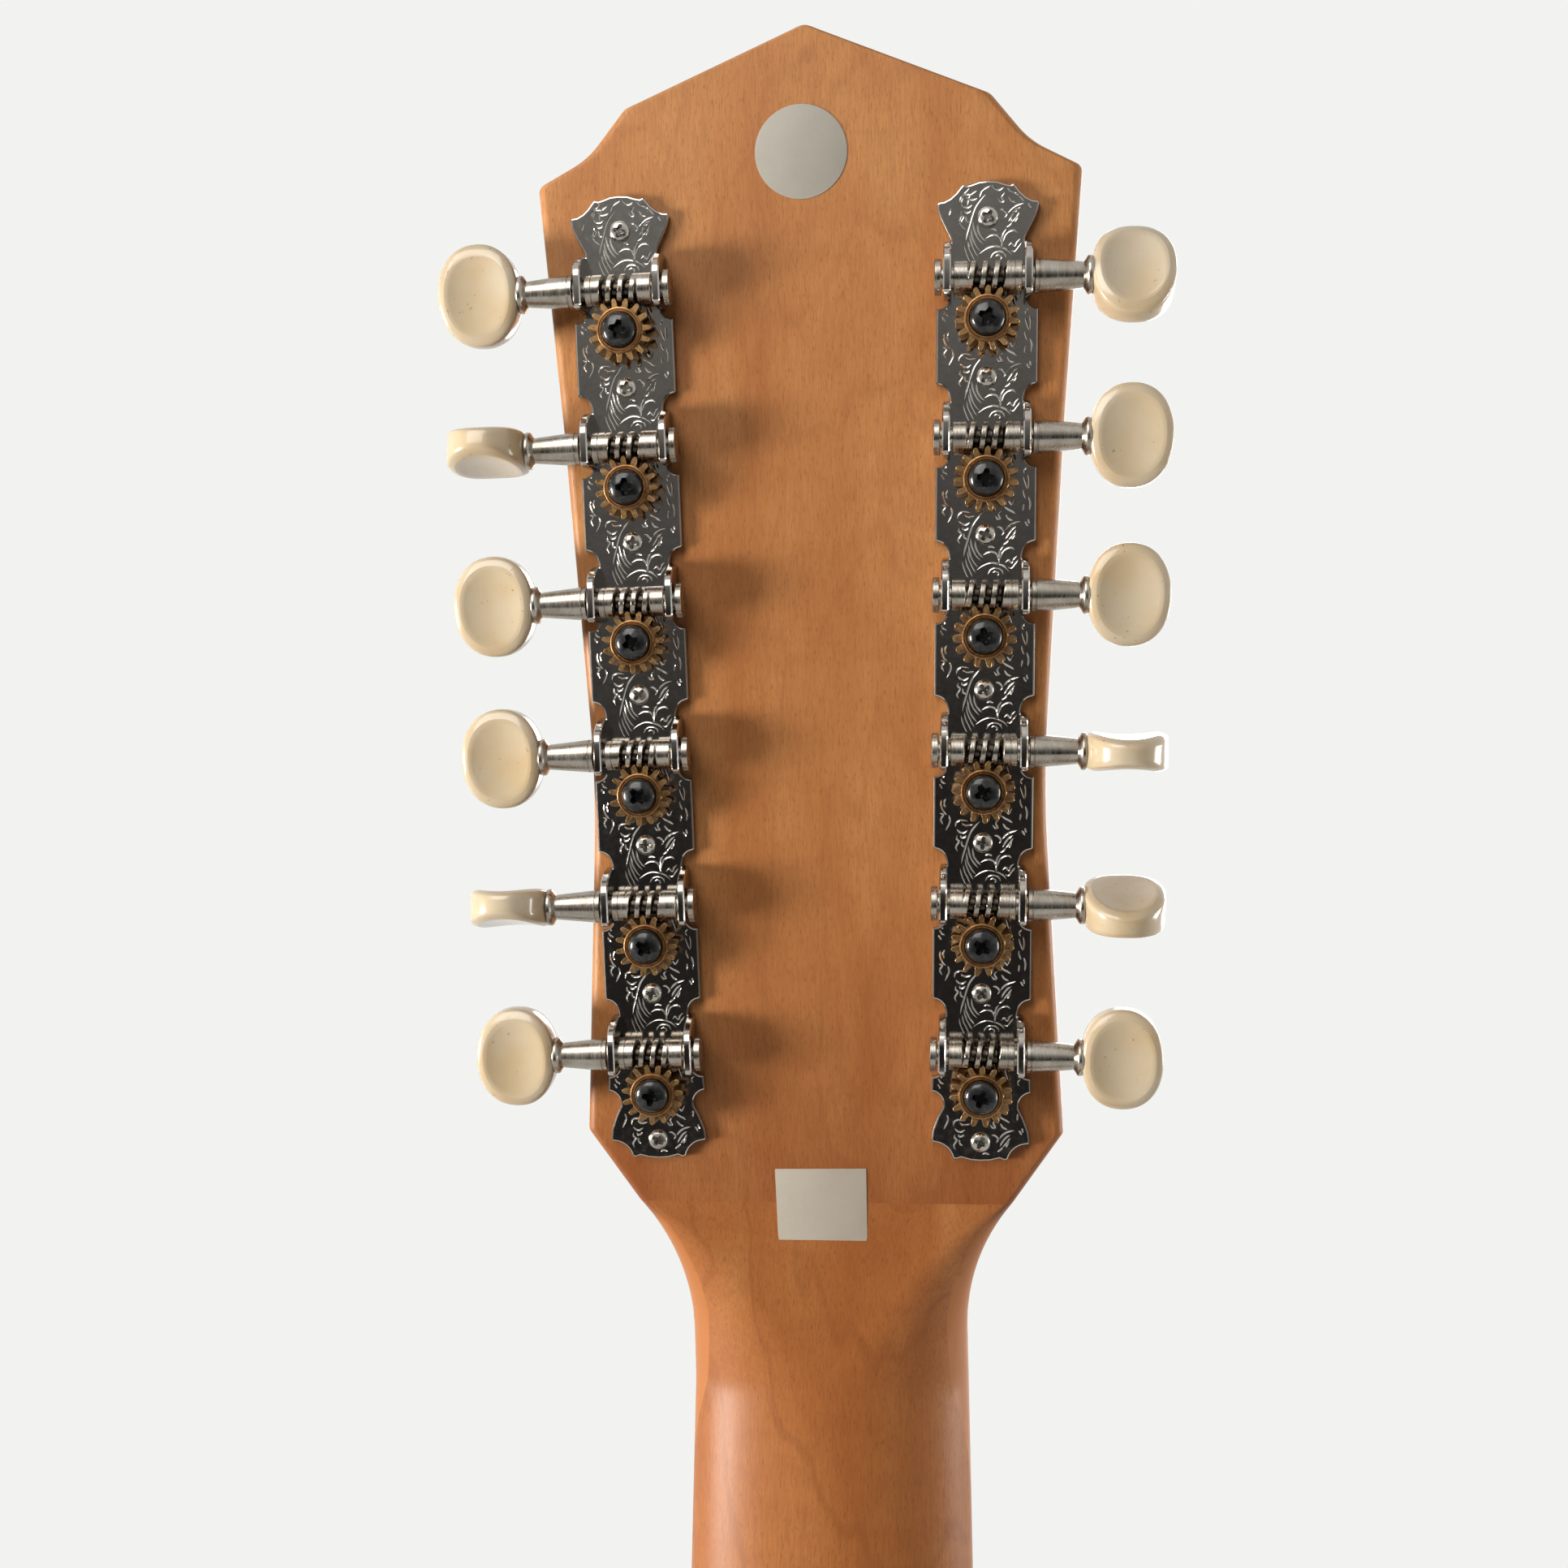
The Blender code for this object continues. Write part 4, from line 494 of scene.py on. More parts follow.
def frets_laid_out(tree, given):
    number = reckon(tree, "ADD", node(tree, "GeometryNodeInputIndex").outputs["Index"], 1.0)
    left_over = reckon(tree, "POWER", 2.0, reckon(tree, "DIVIDE", number, -12.0))
    drop = reckon(tree, "MULTIPLY", reckon(tree, "SUBTRACT", 1.0, left_over), given["String length"])
    spot = node(tree, "ShaderNodeCombineXYZ", {"Y": given["Glue plane"],
                                               "Z": reckon(tree, "SUBTRACT", given["Nut height"], drop)})
    widened = reckon(tree, "MULTIPLY", drop, given["Widening"])
    end = reckon(tree, "ADD", given["Half width"], widened)
    half_width = reckon(tree, "SUBTRACT", end, given["End inset"])
    wide = node(tree, "ShaderNodeCombineXYZ", {"X": half_width, "Y": 1.0, "Z": 1.0})
    line = node(tree, "GeometryNodeMeshLine", {"Count": given["Count"]})
    spread = node(tree, "GeometryNodeSetPosition", {"Geometry": line.outputs["Mesh"],
                                                    "Position": spot.outputs["Vector"]})
    return spread.outputs["Geometry"], {"Scale": wide.outputs["Vector"]}


FRET_WIRE = plated("fret_wire", (0.56, 0.54, 0.50), (0.40, 0.38, 0.35), 0.22, 1800.0)
frets = grown("frets", fret_mesh(), FRET_WIRE, {
    "Count": ("NodeSocketInt", LAST_FRET), "String length": ("NodeSocketFloat", SCALE_LENGTH),
    "Nut height": ("NodeSocketFloat", BOARD_TOP_Z), "Glue plane": ("NodeSocketFloat", GLUE_Y - GAP),
    "Half width": ("NodeSocketFloat", NUT_WIDTH / 2), "End inset": ("NodeSocketFloat", FRET_END_INSET),
    "Widening": ("NodeSocketFloat", (BOARD_END_WIDTH - NUT_WIDTH) / 2 / BOARD_LENGTH)}, frets_laid_out)
piece("frets", frets, FRET_WIRE, "guitar", angle=40)

# Position dots
# Pearl discs let into the fingerboard behind the usual frets, and small pale ones on its bass edge.


def half_way(fret):
    """The distance below the board's top, half-way between a fret and the one before it."""
    return SCALE_LENGTH * (1 - (2 ** (-fret / 12) + 2 ** (-(fret - 1) / 12)) / 2)


def dot(work, radius, place):
    """A thin disc: place turns a point on the disc, with its height, into its spot."""
    turns = [math.pi * step / 16 for step in range(32)]
    skin([[place(radius * share * math.cos(turn), radius * share * math.sin(turn), high) for turn in turns]
          for share, high in ((1, -0.0003), (1, 0.00003), (0.9, 0.00005), (0.4, 0.00005))], work)


made, tree = new_finish("pearl", Roughness=0.18, Coat_Weight=0.6, Coat_Roughness=0.05)
cloud = noise(tree, stretched(tree, (1, 1, 0.4), (0, 0, 0.6)), 520, 3, 0.5, 1.5)
PEARL = dressed(made, ramp(tree, cloud, ((0.30, (0.40, 0.42, 0.40)), (0.48, (0.66, 0.64, 0.58)),
                                         (0.62, (0.52, 0.58, 0.60)), (0.78, (0.74, 0.70, 0.66)))))
FACE_DOT_RADIUS, SIDE_DOT_RADIUS = 0.0031, 0.0010
work = bmesh.new()
for fret, across in ((3, 0), (5, 0), (7, 0), (9, 0), (12, -0.0130), (12, 0.0130), (15, 0), (17, 0), (19, 0)):
    drop = half_way(fret)
    half_width = neck_half_width(drop)
    dot(work, FACE_DOT_RADIUS, lambda x, y, high: (
        across + x, GLUE_Y - GAP - board_height((across + x) / half_width) - high, BOARD_TOP_Z - drop + y))
for fret, along in ((3, 0), (5, 0), (7, 0), (9, 0), (12, -0.003), (12, 0.003), (15, 0), (17, 0)):
    drop = half_way(fret) + along
    half_width = neck_half_width(drop)
    dot(work, SIDE_DOT_RADIUS, lambda x, y, high: (
        -half_width - high, GLUE_Y - GAP - 0.0030 + x, BOARD_TOP_Z - drop + y))
piece("position_dots", mesh_of(work, "position_dots"), PEARL, "guitar", angle=30)

# Nut
# A strip of bone across the head of the fingerboard, its back sloped off, with a filed slot per string.
STRING_DIAMETERS = (0.00076, 0.00132, 0.00046, 0.00107, 0.00030, 0.00081,
                    0.00024, 0.00058, 0.00036, 0.00036, 0.00026, 0.00026)
STRING_AT_NUT = 0.0082
NUT_CREST = 0.00845
NUT_SPACINGS = (0.0078, 0.0019)     # between pairs of strings, and within a pair


def string_x(index, spacings):
    course, partner = divmod(index, 2)
    return (course - 2.5) * spacings[0] + (partner - 0.5) * spacings[1]


def nut_mesh():
    half = NUT_WIDTH / 2
    low, high = BOARD_TOP_Z + GAP, NUT_Z
    across = {-half, -half + 0.0004, half - 0.0004, half} | {k * 0.001 for k in range(-23, 24)}
    slots = [(string_x(i, NUT_SPACINGS), d / 2 + 0.00004) for i, d in enumerate(STRING_DIAMETERS)]
    for x, radius in slots:
        across = {a for a in across if abs(a - x) > radius + 0.0001}
        across |= {x + side * (radius + 0.00003) for side in (-1, 1)}
        across |= {x + radius * math.sin(math.radians(turn)) for turn in range(-90, 91, 20)}
    rings = []
    for x in sorted(across):
        crest = NUT_CREST - 0.00020 * x / half - (0.0005 if abs(abs(x) - half) < 1e-6 else 0)
        bottom = 1.0
        for at, radius in slots:
            if abs(x - at) < radius:
                bottom = STRING_AT_NUT - math.sqrt(radius ** 2 - (x - at) ** 2)
        ring = [Vector((x, GLUE_Y - GAP, low))]
        for share, fall in ((0, 0.00025), (0.05, 0), (0.40, 0), (0.60, 0.0003), (0.80, 0.0009),
                            (0.95, 0.0015), (1, 0.0020)):
            ring.append(Vector((x, GLUE_Y - min(crest - fall, bottom), low + (high - low) * share)))
        rings.append(ring + [Vector((x, GLUE_Y - GAP, high))])
    return mesh_of(skin(rings), "nut_bone")


def bone(name, pale, amber):
    """Polished bone: pale, faintly streaked along the piece."""
    made, tree = new_finish(name, Roughness=0.28, Subsurface_Weight=0.10, Subsurface_Scale=0.001)
    streaks = noise(tree, stretched(tree, (0.12, 1, 1)), 900, 3, 0.6)
    cloud = noise(tree, stretched(tree), 150, 2, 0.5)
    base = stained(tree, pale, streaks, 0.5, 0.45, 0.75, amber)
    base = stained(tree, base, cloud, 0.4, 0.45, 0.7, amber)
    return dressed(made, base, None, streaks, 0.06)


BONE = bone("bone", (0.70, 0.64, 0.50), (0.56, 0.46, 0.30))
piece("nut_bone", nut_mesh(), BONE, "guitar", ["nut"], angle=35)

# Soundboard
# Two matched halves of straight-grained spruce, joined down the middle and lacquered, with a soundhole.
BODY_LENGTH = 0.508
TOP_THICKNESS = 0.0028
HOLE_DROP, HOLE_RADIUS = 0.148, 0.050
BINDING_WIDTH = 0.0020
PURFLING_WIDTH = 0.0016
# X to the right as seen from in front, Y up the body, Z out of its face
FRONT_FRAME = Matrix.Translation((0, GLUE_Y, BODY_Z)) @ Matrix.Rotation(math.pi / 2, 4, "X")


def bezier(start, one, two, end, steps):
    """Points on a curve, without its end."""
    points = []
    for step in range(steps):
        t = step / steps
        weights = ((1 - t) ** 3, 3 * t * (1 - t) ** 2, 3 * t * t * (1 - t), t ** 3)
        points.append(tuple(sum(weight * spot[axis] for weight, spot in zip(weights, (start, one, two, end)))
                            for axis in (0, 1)))
    return points


def half_body(steps=22):
    """Half the body's outline from the neck's joint to the tail: (x, distance below the top)."""
    upper, waist, lower, tail = (0.146, 0.095), (0.1365, 0.195), (0.1985, 0.372), (0, BODY_LENGTH)
    points = bezier((0, 0), (0.085, 0), (upper[0], upper[1] - 0.055), upper, steps)
    points += bezier(upper, (upper[0], upper[1] + 0.040), (waist[0], waist[1] - 0.035), waist, steps)
    points += bezier(waist, (waist[0], waist[1] + 0.045), (lower[0], lower[1] - 0.080), lower, steps)
    return points + bezier(lower, (lower[0], lower[1] + 0.075), (0.110, tail[1]), tail, steps) + [tail]


HALF_BODY = half_body()
BODY_LINE = [(x, -drop) for x, drop in HALF_BODY + [(-x, drop) for x, drop in HALF_BODY[-2:0:-1]]]


def inset(loop, distance):
    """A loop of points moved inwards, square to itself."""
    moved = []
    area = sum(a[0] * b[1] - b[0] * a[1] for a, b in zip(loop, loop[1:] + loop[:1]))
    for before, here, after in zip(loop[-1:] + loop[:-1], loop, loop[1:] + loop[:1]):
        one = (Vector(here) - Vector(before)).normalized()
        two = (Vector(after) - Vector(here)).normalized()
        mitre = Vector((-one.y - two.y, one.x + two.x))
        if mitre.length < 0.1:
            mitre = Vector((-one.y, one.x))
        mitre.normalize()
        reach = distance / max(0.5, mitre.dot(Vector((-one.y, one.x))))
        moved.append(tuple(Vector(here) + mitre * (reach if area > 0 else -reach)))
    return moved


def walls(work, *levels):
    """Walls between (loop, height) levels, their loops of the same number of points."""
    return bridged(work, new_rows(work, [[(x, y, height) for x, y in loop] for loop, height in levels]))


def filled(work, loops):
    """Triangles over the flat face between loops of vertices."""
    bmesh.ops.triangle_fill(work, use_beauty=True, edges=[
        work.edges.get(pair) for loop in loops for pair in zip(loop, loop[1:] + loop[:1])])


def plate(outline, holes, low, high, ease=0.0002):
    """A flat plate from one height to another, its upper edges eased."""
    work = bmesh.new()
    rows = [walls(work, (loop, low), (loop, high - ease), (inset(loop, inwards * ease), high))
            for loop, inwards in [(outline, 1)] + [(hole, -1) for hole in holes]]
    for end in (0, -1):
        filled(work, [row[end] for row in rows])
    return work


def spruce(name, pale, line, coat):
    """Spruce: uneven fine growth lines up the piece, mirrored at its middle, with faint silk across them."""
    made, tree = new_finish(name, Coat_Weight=coat, Coat_Roughness=0.07)
    parts = node(tree, "ShaderNodeSeparateXYZ", {"Vector": stretched(tree)})
    mirrored = reckon(tree, "ABSOLUTE", parts.outputs["X"])
    years = noise(tree, node(tree, "ShaderNodeCombineXYZ", {"X": mirrored}).outputs["Vector"], 30, 3, 0.6)
    uneven = reckon(tree, "ADD", mirrored, reckon(tree, "MULTIPLY", years, 0.012))
    place = node(tree, "ShaderNodeCombineXYZ", {
        "X": uneven, "Z": reckon(tree, "MULTIPLY", parts.outputs["Z"], 0.03)}).outputs["Vector"]
    rings = node(tree, "ShaderNodeTexWave", {
        "Vector": place, "Scale": 210.0, "Distortion": 7.0, "Detail": 2.0, "Detail Scale": 0.6},
        wave_profile="SAW").outputs["Fac"]
    broad = noise(tree, place, 45, 2, 0.5)
    silk = noise(tree, stretched(tree, (0.25, 1, 1)), 700, 3, 0.6)
    base = ramp(tree, rings, ((0.0, pale), (0.6, dimmed(pale, 0.93)), (0.95, line), (1.0, pale)))
    base = stained(tree, base, broad, 0.35, 0.4, 0.7, dimmed(pale, 0.80))
    base = stained(tree, base, silk, 0.20, 0.45, 0.75, dimmed(pale, 1.12))
    return dressed(made, base, level(tree, silk, 0.30, 0.45, 0.3, 0.7), rings, 0.04)


SPRUCE = spruce("lacquered_spruce", (0.66, 0.41, 0.19), (0.46, 0.245, 0.098), 0.5)
HOLE = arc((0, -HOLE_DROP), HOLE_RADIUS, 0, 360, 96)[:-1]
top = plate(inset(BODY_LINE, BINDING_WIDTH + PURFLING_WIDTH), [HOLE], -TOP_THICKNESS, 0, 0.0003)
piece("soundboard_spruce", mesh_of(top, "soundboard_spruce"), SPRUCE, "guitar", ["soundboard"],
      angle=25, place=FRONT_FRAME)

# Rosette
# Rings of dark and pale wood let into the soundboard round its hole, with a rope pattern between them.


def hoop(loop, profile):
    """A closed strip along a loop: its profile is (distance inside the loop, height) points."""
    work = bmesh.new()
    rows = walls(work, *((inset(loop, moved), height) for moved, height in profile))
    bridged(work, [rows[-1], rows[0]])
    return work


def inlay(name, strips, place, finish):
    """Flat strips let into a face as one piece: (loop, from, to) distances inside each loop."""
    work = bmesh.new()
    for loop, start, end in strips:
        work.from_mesh(mesh_of(hoop(loop, (
            (start, -0.0006), (start, 0.00003), (end, 0.00003), (end, -0.0006))), "strip"))
    piece(name, mesh_of(work, name), finish, "guitar", angle=30, place=place)


def plain_wood(name, colour, streak, coat=0.5):
    """Fine even-grained wood for inlays and inner parts."""
    made, tree = new_finish(name, Coat_Weight=coat, Coat_Roughness=0.08)
    fibre = noise(tree, stretched(tree, (1, 1, 0.08)), 1300, 3, 0.6)
    base = stained(tree, colour, fibre, 0.8, 0.4, 0.7, streak)
    return dressed(made, base, level(tree, fibre, 0.34, 0.50, 0.3, 0.7), fibre)


def rope_laid_out(tree, given):
    ring = node(tree, "GeometryNodeMeshCircle", {"Vertices": given["Count"], "Radius": given["Radius"]})
    share = reckon(tree, "DIVIDE", node(tree, "GeometryNodeInputIndex").outputs["Index"], given["Count"])
    turned = node(tree, "ShaderNodeCombineXYZ", {"Z": reckon(tree, "MULTIPLY", share, 2 * math.pi)})
    return ring.outputs["Mesh"], {"Rotation": turned.outputs["Vector"]}


DARK_INLAY = plain_wood("dark_inlay", (0.016, 0.010, 0.008), (0.035, 0.022, 0.016))
PALE_INLAY = plain_wood("pale_inlay", (0.60, 0.42, 0.22), (0.45, 0.28, 0.13))
ROSETTE = arc((0, -HOLE_DROP), 0.0558, 0, 360, 96)[:-1]
inlay("rosette_dark_rings", [(ROSETTE, 0.0, 0.0005), (ROSETTE, 0.0009, 0.0013), (ROSETTE, 0.0029, 0.0033),
                             (ROSETTE, 0.0037, 0.0042)], FRONT_FRAME, DARK_INLAY)
inlay("rosette_pale_rings", [(ROSETTE, 0.0005, 0.0009), (ROSETTE, 0.0013, 0.0029), (ROSETTE, 0.0033, 0.0037)],
      FRONT_FRAME, PALE_INLAY)
tile = plate([(-0.00078, -0.00065), (-0.00078, -0.00005), (0.00078, 0.00065), (0.00078, 0.00005)], [],
             -0.0004, 0.00006, 0.00001)
rope = grown("rosette_rope", mesh_of(tile, "rope_tile"), DARK_INLAY, {
    "Count": ("NodeSocketInt", 264), "Radius": ("NodeSocketFloat", 0.0537)}, rope_laid_out)
piece("rosette_rope", rope, DARK_INLAY, "guitar", angle=30,
      place=FRONT_FRAME @ Matrix.Translation((0, -HOLE_DROP, 0)))

# Bracing
# Plain spruce bars glued under the soundboard and inside the back, and a maple plate under the bridge.
BRACE_SPRUCE = spruce("brace_spruce", (0.62, 0.45, 0.26), (0.46, 0.29, 0.13), 0.0)
for name in ("x_brace", "top_crossbar", "back_brace_1", "back_brace_2", "back_brace_3"):
    repainted(name, BRACE_SPRUCE)
repainted("bridge_plate", plain_wood("plate_maple", (0.58, 0.42, 0.26), (0.50, 0.34, 0.19), 0.0))

# Sides
# Thin mahogany bent over heat into two halves that meet at the neck and at the tail, on inner blocks.
BODY_DEPTH, BODY_DEEPENING = 0.100, 0.023
BACK_TILT = math.atan(BODY_DEEPENING / BODY_LENGTH)
BINDING_DEPTH = 0.0060
SIDE_THICKNESS = 0.0022


def mahogany(name, bent=False):
    """Glossy reddish mahogany: short dark pores and ribbon sheen up the piece, or along a bent side."""
    made, tree = new_finish(name, Coat_Weight=0.36, Coat_Roughness=0.10, Specular_IOR_Level=0.35)
    place = stretched(tree)
    if bent:
        along = node(tree, "ShaderNodeSeparateXYZ", {
            "Vector": node(tree, "ShaderNodeUVMap", uv_map="along").outputs["UV"]}).outputs
        place = node(tree, "ShaderNodeCombineXYZ", {"X": along["Y"], "Z": along["X"]}).outputs["Vector"]

    def drawn_out(share):
        return node(tree, "ShaderNodeMapping", {"Vector": place, "Scale": (1, 1, share)}).outputs["Vector"]

    ribbon = noise(tree, drawn_out(0.10), 42, 4, 0.55, 0.4)
    fibre = noise(tree, drawn_out(0.03), 900, 3, 0.6)
    pores = noise(tree, drawn_out(0.07), 1500, 2, 0.5)
    base = ramp(tree, ribbon, ((0.30, (0.130, 0.040, 0.018)), (0.50, (0.200, 0.068, 0.028)),
                               (0.70, (0.270, 0.105, 0.045))))
    base = stained(tree, base, fibre, 0.35, 0.40, 0.68, (0.110, 0.034, 0.015))
    base = stained(tree, base, pores, 0.75, 0.60, 0.70, (0.035, 0.011, 0.006))
    return dressed(made, base, level(tree, ribbon, 0.30, 0.44, 0.3, 0.7), pores, -0.05)


def back_face_y(drop):
    """The back's outer face, a distance below the body's top."""
    return GLUE_Y + BODY_DEPTH + BODY_DEEPENING * drop / BODY_LENGTH


def side_mesh(name, sign):
    inner_line = [(x, -y) for x, y in inset(BODY_LINE, SIDE_THICKNESS)[:len(HALF_BODY)]]
    rings, lengths = [], [0.0]
    for index, (outer, inner) in enumerate(zip(HALF_BODY, inner_line)):
        near, far = GLUE_Y + BINDING_DEPTH, back_face_y(outer[1]) - BINDING_DEPTH
        rings.append([Vector((sign * max(x, GAP / 2), y, BODY_Z - drop)) for (x, drop), y in (
            (outer, near), (outer, far), (inner, far), (inner, near))])
        if index:
            lengths.append(lengths[-1] + (rings[-1][0] - rings[-2][0]).length)
    work = skin(rings)
    work.verts.index_update()
    along = work.loops.layers.uv.new("along")
    for face in work.faces:
        for corner in face.loops:
            corner[along].uv = (lengths[corner.vert.index // 4], corner.vert.co.y + sign)
    return mesh_of(work, name)


SIDE_MAHOGANY = mahogany("side_mahogany", bent=True)
for name, sign in (("side_bass", -1), ("side_treble", 1)):
    piece(name + "_bent", side_mesh(name, sign), SIDE_MAHOGANY, "guitar", [name], angle=30)
BACK_MAHOGANY = mahogany("back_mahogany")
for name in ("neck_block", "tail_block"):
    repainted(name, BACK_MAHOGANY)

# Back
# Two matched halves of mahogany with an inlaid strip down their joint. It leans, so the body deepens.
BACK_THICKNESS = 0.0026
# X to the right as seen from behind, Y up the body, Z out of the back, 0 at its inner face
BACK_PLATE_FRAME = Matrix.Translation((0, GLUE_Y + BODY_DEPTH - BACK_THICKNESS, BODY_Z)) @ \
    Matrix.Rotation(BACK_TILT + math.pi / 2, 4, "X") @ Matrix.Rotation(math.pi, 4, "Y")
BACK_LINE = [(x, y / math.cos(BACK_TILT)) for x, y in BODY_LINE]
back = plate(inset(BACK_LINE, BINDING_WIDTH + PURFLING_WIDTH), [], 0, BACK_THICKNESS)
piece("back_plate", mesh_of(back, "back_plate"), BACK_MAHOGANY, "guitar", ["back"], angle=25,
      place=BACK_PLATE_FRAME)
on_back = BACK_PLATE_FRAME @ Matrix.Translation((0, 0, BACK_THICKNESS))
strip_top, strip_foot = -0.0036, 0.0036 - BODY_LENGTH / math.cos(BACK_TILT)
for name, half, proud, finish in (("back_strip_dark", 0.0030, 0.00003, DARK_INLAY),
                                  ("back_strip_pale", 0.0019, 0.00006, PALE_INLAY)):
    strip = plate([(-half, strip_foot), (half, strip_foot), (half, strip_top), (-half, strip_top)], [],
                  -0.0005, proud, 0.00002)
    piece(name, mesh_of(strip, name), finish, "guitar", angle=30, place=on_back)

# Bindings
# Cream strips let into the body's edges, front and back, with a dark, pale and dark line inside them.


def cream(name, colour, amber, spots):
    """Aged cream plastic: amber in places, tiny dark specks, glossy."""
    made, tree = new_finish(name, Roughness=0.20, Coat_Weight=0.4, Coat_Roughness=0.06,
                            Subsurface_Weight=0.12, Subsurface_Scale=0.0015, IOR=1.5)
    place = stretched(tree, at=spots)
    cloud = noise(tree, place, 110, 3, 0.5)
    speck = noise(tree, place, 1500, 1, 0.3)
    base = stained(tree, colour, cloud, 0.8, 0.35, 0.72, amber)
    base = stained(tree, base, speck, 0.55, 0.735, 0.80, (0.20, 0.09, 0.03))
    return dressed(made, base)


BINDING_PROFILE = ((0, -BINDING_DEPTH), (0, -0.0009), (0.00012, -0.00045), (0.0004, -0.00014), (0.0009, 0),
                   (BINDING_WIDTH, 0), (BINDING_WIDTH, -BINDING_DEPTH))
BINDING_CREAM = cream("binding_cream", (0.66, 0.54, 0.36), (0.60, 0.45, 0.26), (0.5, 0.1, 0.7))
for label, loop, place in (("front", BODY_LINE, FRONT_FRAME), ("back", BACK_LINE, on_back)):
    piece(f"binding_{label}", mesh_of(hoop(loop, BINDING_PROFILE), f"binding_{label}"), BINDING_CREAM,
          "guitar", angle=30, place=place)
    inlay(f"purfling_{label}_dark", [(loop, BINDING_WIDTH, 0.0025), (loop, 0.0031, 0.0036)], place,
          DARK_INLAY)
    inlay(f"purfling_{label}_pale", [(loop, 0.0025, 0.0031)], place, PALE_INLAY)

# Bridge
# Carved rosewood glued to the soundboard: a high middle for the saddle and pins, and thin flat wings.
SADDLE_SETBACK = 0.0025
SADDLE_Z = BOARD_TOP_Z - SCALE_LENGTH - SADDLE_SETBACK
SADDLE_SLANT = math.radians(2.2)
SADDLE_LENGTH, SADDLE_THICKNESS, SLOT_EASE = 0.078, 0.0032, 0.0001
BRIDGE_HALF_LENGTH, BRIDGE_ABOVE, BRIDGE_BELOW = 0.0825, 0.0085, 0.0290
WING_BELOW, BRIDGE_HEIGHT = 0.0155, 0.0088
SADDLE_FOOT = BRIDGE_HEIGHT - 0.0055
# X to the right as seen from in front, Y up from the saddle, Z out of the soundboard
ON_TOP = Matrix.Translation((0, GLUE_Y - GAP, SADDLE_Z)) @ Matrix.Rotation(math.pi / 2, 4, "X")


def bridge_outline():
    end, low, foot = BRIDGE_HALF_LENGTH, -WING_BELOW, -BRIDGE_BELOW
    right = [(0, BRIDGE_ABOVE), (0.04, BRIDGE_ABOVE)] + arc((end - 0.006, 0.0025), 0.006, 75, 0, 6)
    right += arc((end - 0.006, low + 0.006), 0.006, 0, -75, 6)
    right += bezier((end - 0.012, low), (end - 0.035, low), (0.035, foot), (0, foot), 16)
    return right + [(0, foot)] + [(-x, y) for x, y in right[:0:-1]]


def smooth(share):
    share = min(1, max(0, share))
    return share * share * (3 - 2 * share)


def bridge_height(x, y):
    wings = 0.0046 * smooth((abs(x) - 0.042) / 0.018)
    belly = 0.0022 * smooth((-0.0222 - y) / 0.006)
    return BRIDGE_HEIGHT - max(wings, belly)


def inside(point, loop):
    crossings = 0
    for (x1, y1), (x2, y2) in zip(loop, loop[1:] + loop[:1]):
        if (y1 > point[1]) != (y2 > point[1]) and point[0] < x1 + (point[1] - y1) * (x2 - x1) / (y2 - y1):
            crossings += 1
    return crossings % 2 == 1


def ring_edges(first, count):
    """A closed ring's edges, as pairs of numbers."""
    return [(first + index, first + (index + 1) % count) for index in range(count)]


def flat_faces(work, points, edges, kept, height_at, drops=None, exact=1e-7):
    """Triangles between points and edges in a plane, kept by their middle, raised to a height less a drop."""
    points = [Vector(point) for point in points]
    flat, _, faces, sources, _, _ = delaunay_2d_cdt(points, edges, [], 0, exact, True)
    made = [work.verts.new((p.x, p.y, height_at(p.x, p.y) - (max(drops[s] for s in source)
                                                             if drops and source else 0)))
            for p, source in zip(flat, sources)]
    for face in faces:
        if kept(sum((flat[index] for index in face), Vector((0, 0))) / len(face)):
            work.faces.new([made[index] for index in face])
    bmesh.ops.delete(work, geom=[vert for vert in made if not vert.link_faces], context="VERTS")


def carved(outline, rounding, socket, floor, spacing, height_at):
    """A solid on Z = 0 whose upper face follows a height, its edge rounded off, with one socket in it."""
    points, edges, drops = [], [], []
    turns = [math.pi / 2 * step / 5 for step in range(6)]
    for loop, drop in [(inset(outline, rounding * (1 - math.cos(turn))), rounding * (1 - math.sin(turn)))
                       for turn in turns] + [(socket, 0)]:
        edges += ring_edges(len(points), len(loop))
        points += loop
        drops += [drop] * len(loop)
    inner = inset(outline, rounding * 1.6)
    (left, right), (low, high) = ((min(row), max(row)) for row in zip(*outline))
    for i in range(int((right - left) / spacing)):
        for j in range(int((high - low) / spacing)):
            spot = (left + (i + 0.5) * spacing, low + (j + 0.5) * spacing)
            if inside(spot, inner) and not inside(spot, socket):
                points.append(spot)
                drops.append(0)
    work = bmesh.new()
    flat_faces(work, points, edges, lambda middle: inside(middle, outline) and not inside(middle, socket),
               height_at, drops)
    for loop, drop, foot in ((outline, rounding, 0.0), (socket, 0, floor)):
        rows = new_rows(work, ([(x, y, height_at(x, y) - drop) for x, y in loop],
                               [(x, y, foot) for x, y in loop]))
        filled(work, bridged(work, rows)[1:])
    bmesh.ops.remove_doubles(work, verts=work.verts, dist=1e-6)
    return work


slot_turn = Matrix.Rotation(SADDLE_SLANT, 2)
half_length, half_thick = SADDLE_LENGTH / 2 + SLOT_EASE, SADDLE_THICKNESS / 2 + SLOT_EASE
slot_line = [tuple(slot_turn @ Vector((x * half_length, y * half_thick)))
             for x, y in ((-1, -1), (1, -1), (1, 1), (-1, 1))]
bridge = carved(bridge_outline(), 0.0014, slot_line, SADDLE_FOOT - GAP, 0.0018, bridge_height)
piece("bridge_wood", mesh_of(bridge, "bridge_wood"), ROSEWOOD, "guitar", ["bridge"], angle=40,
      place=ON_TOP)

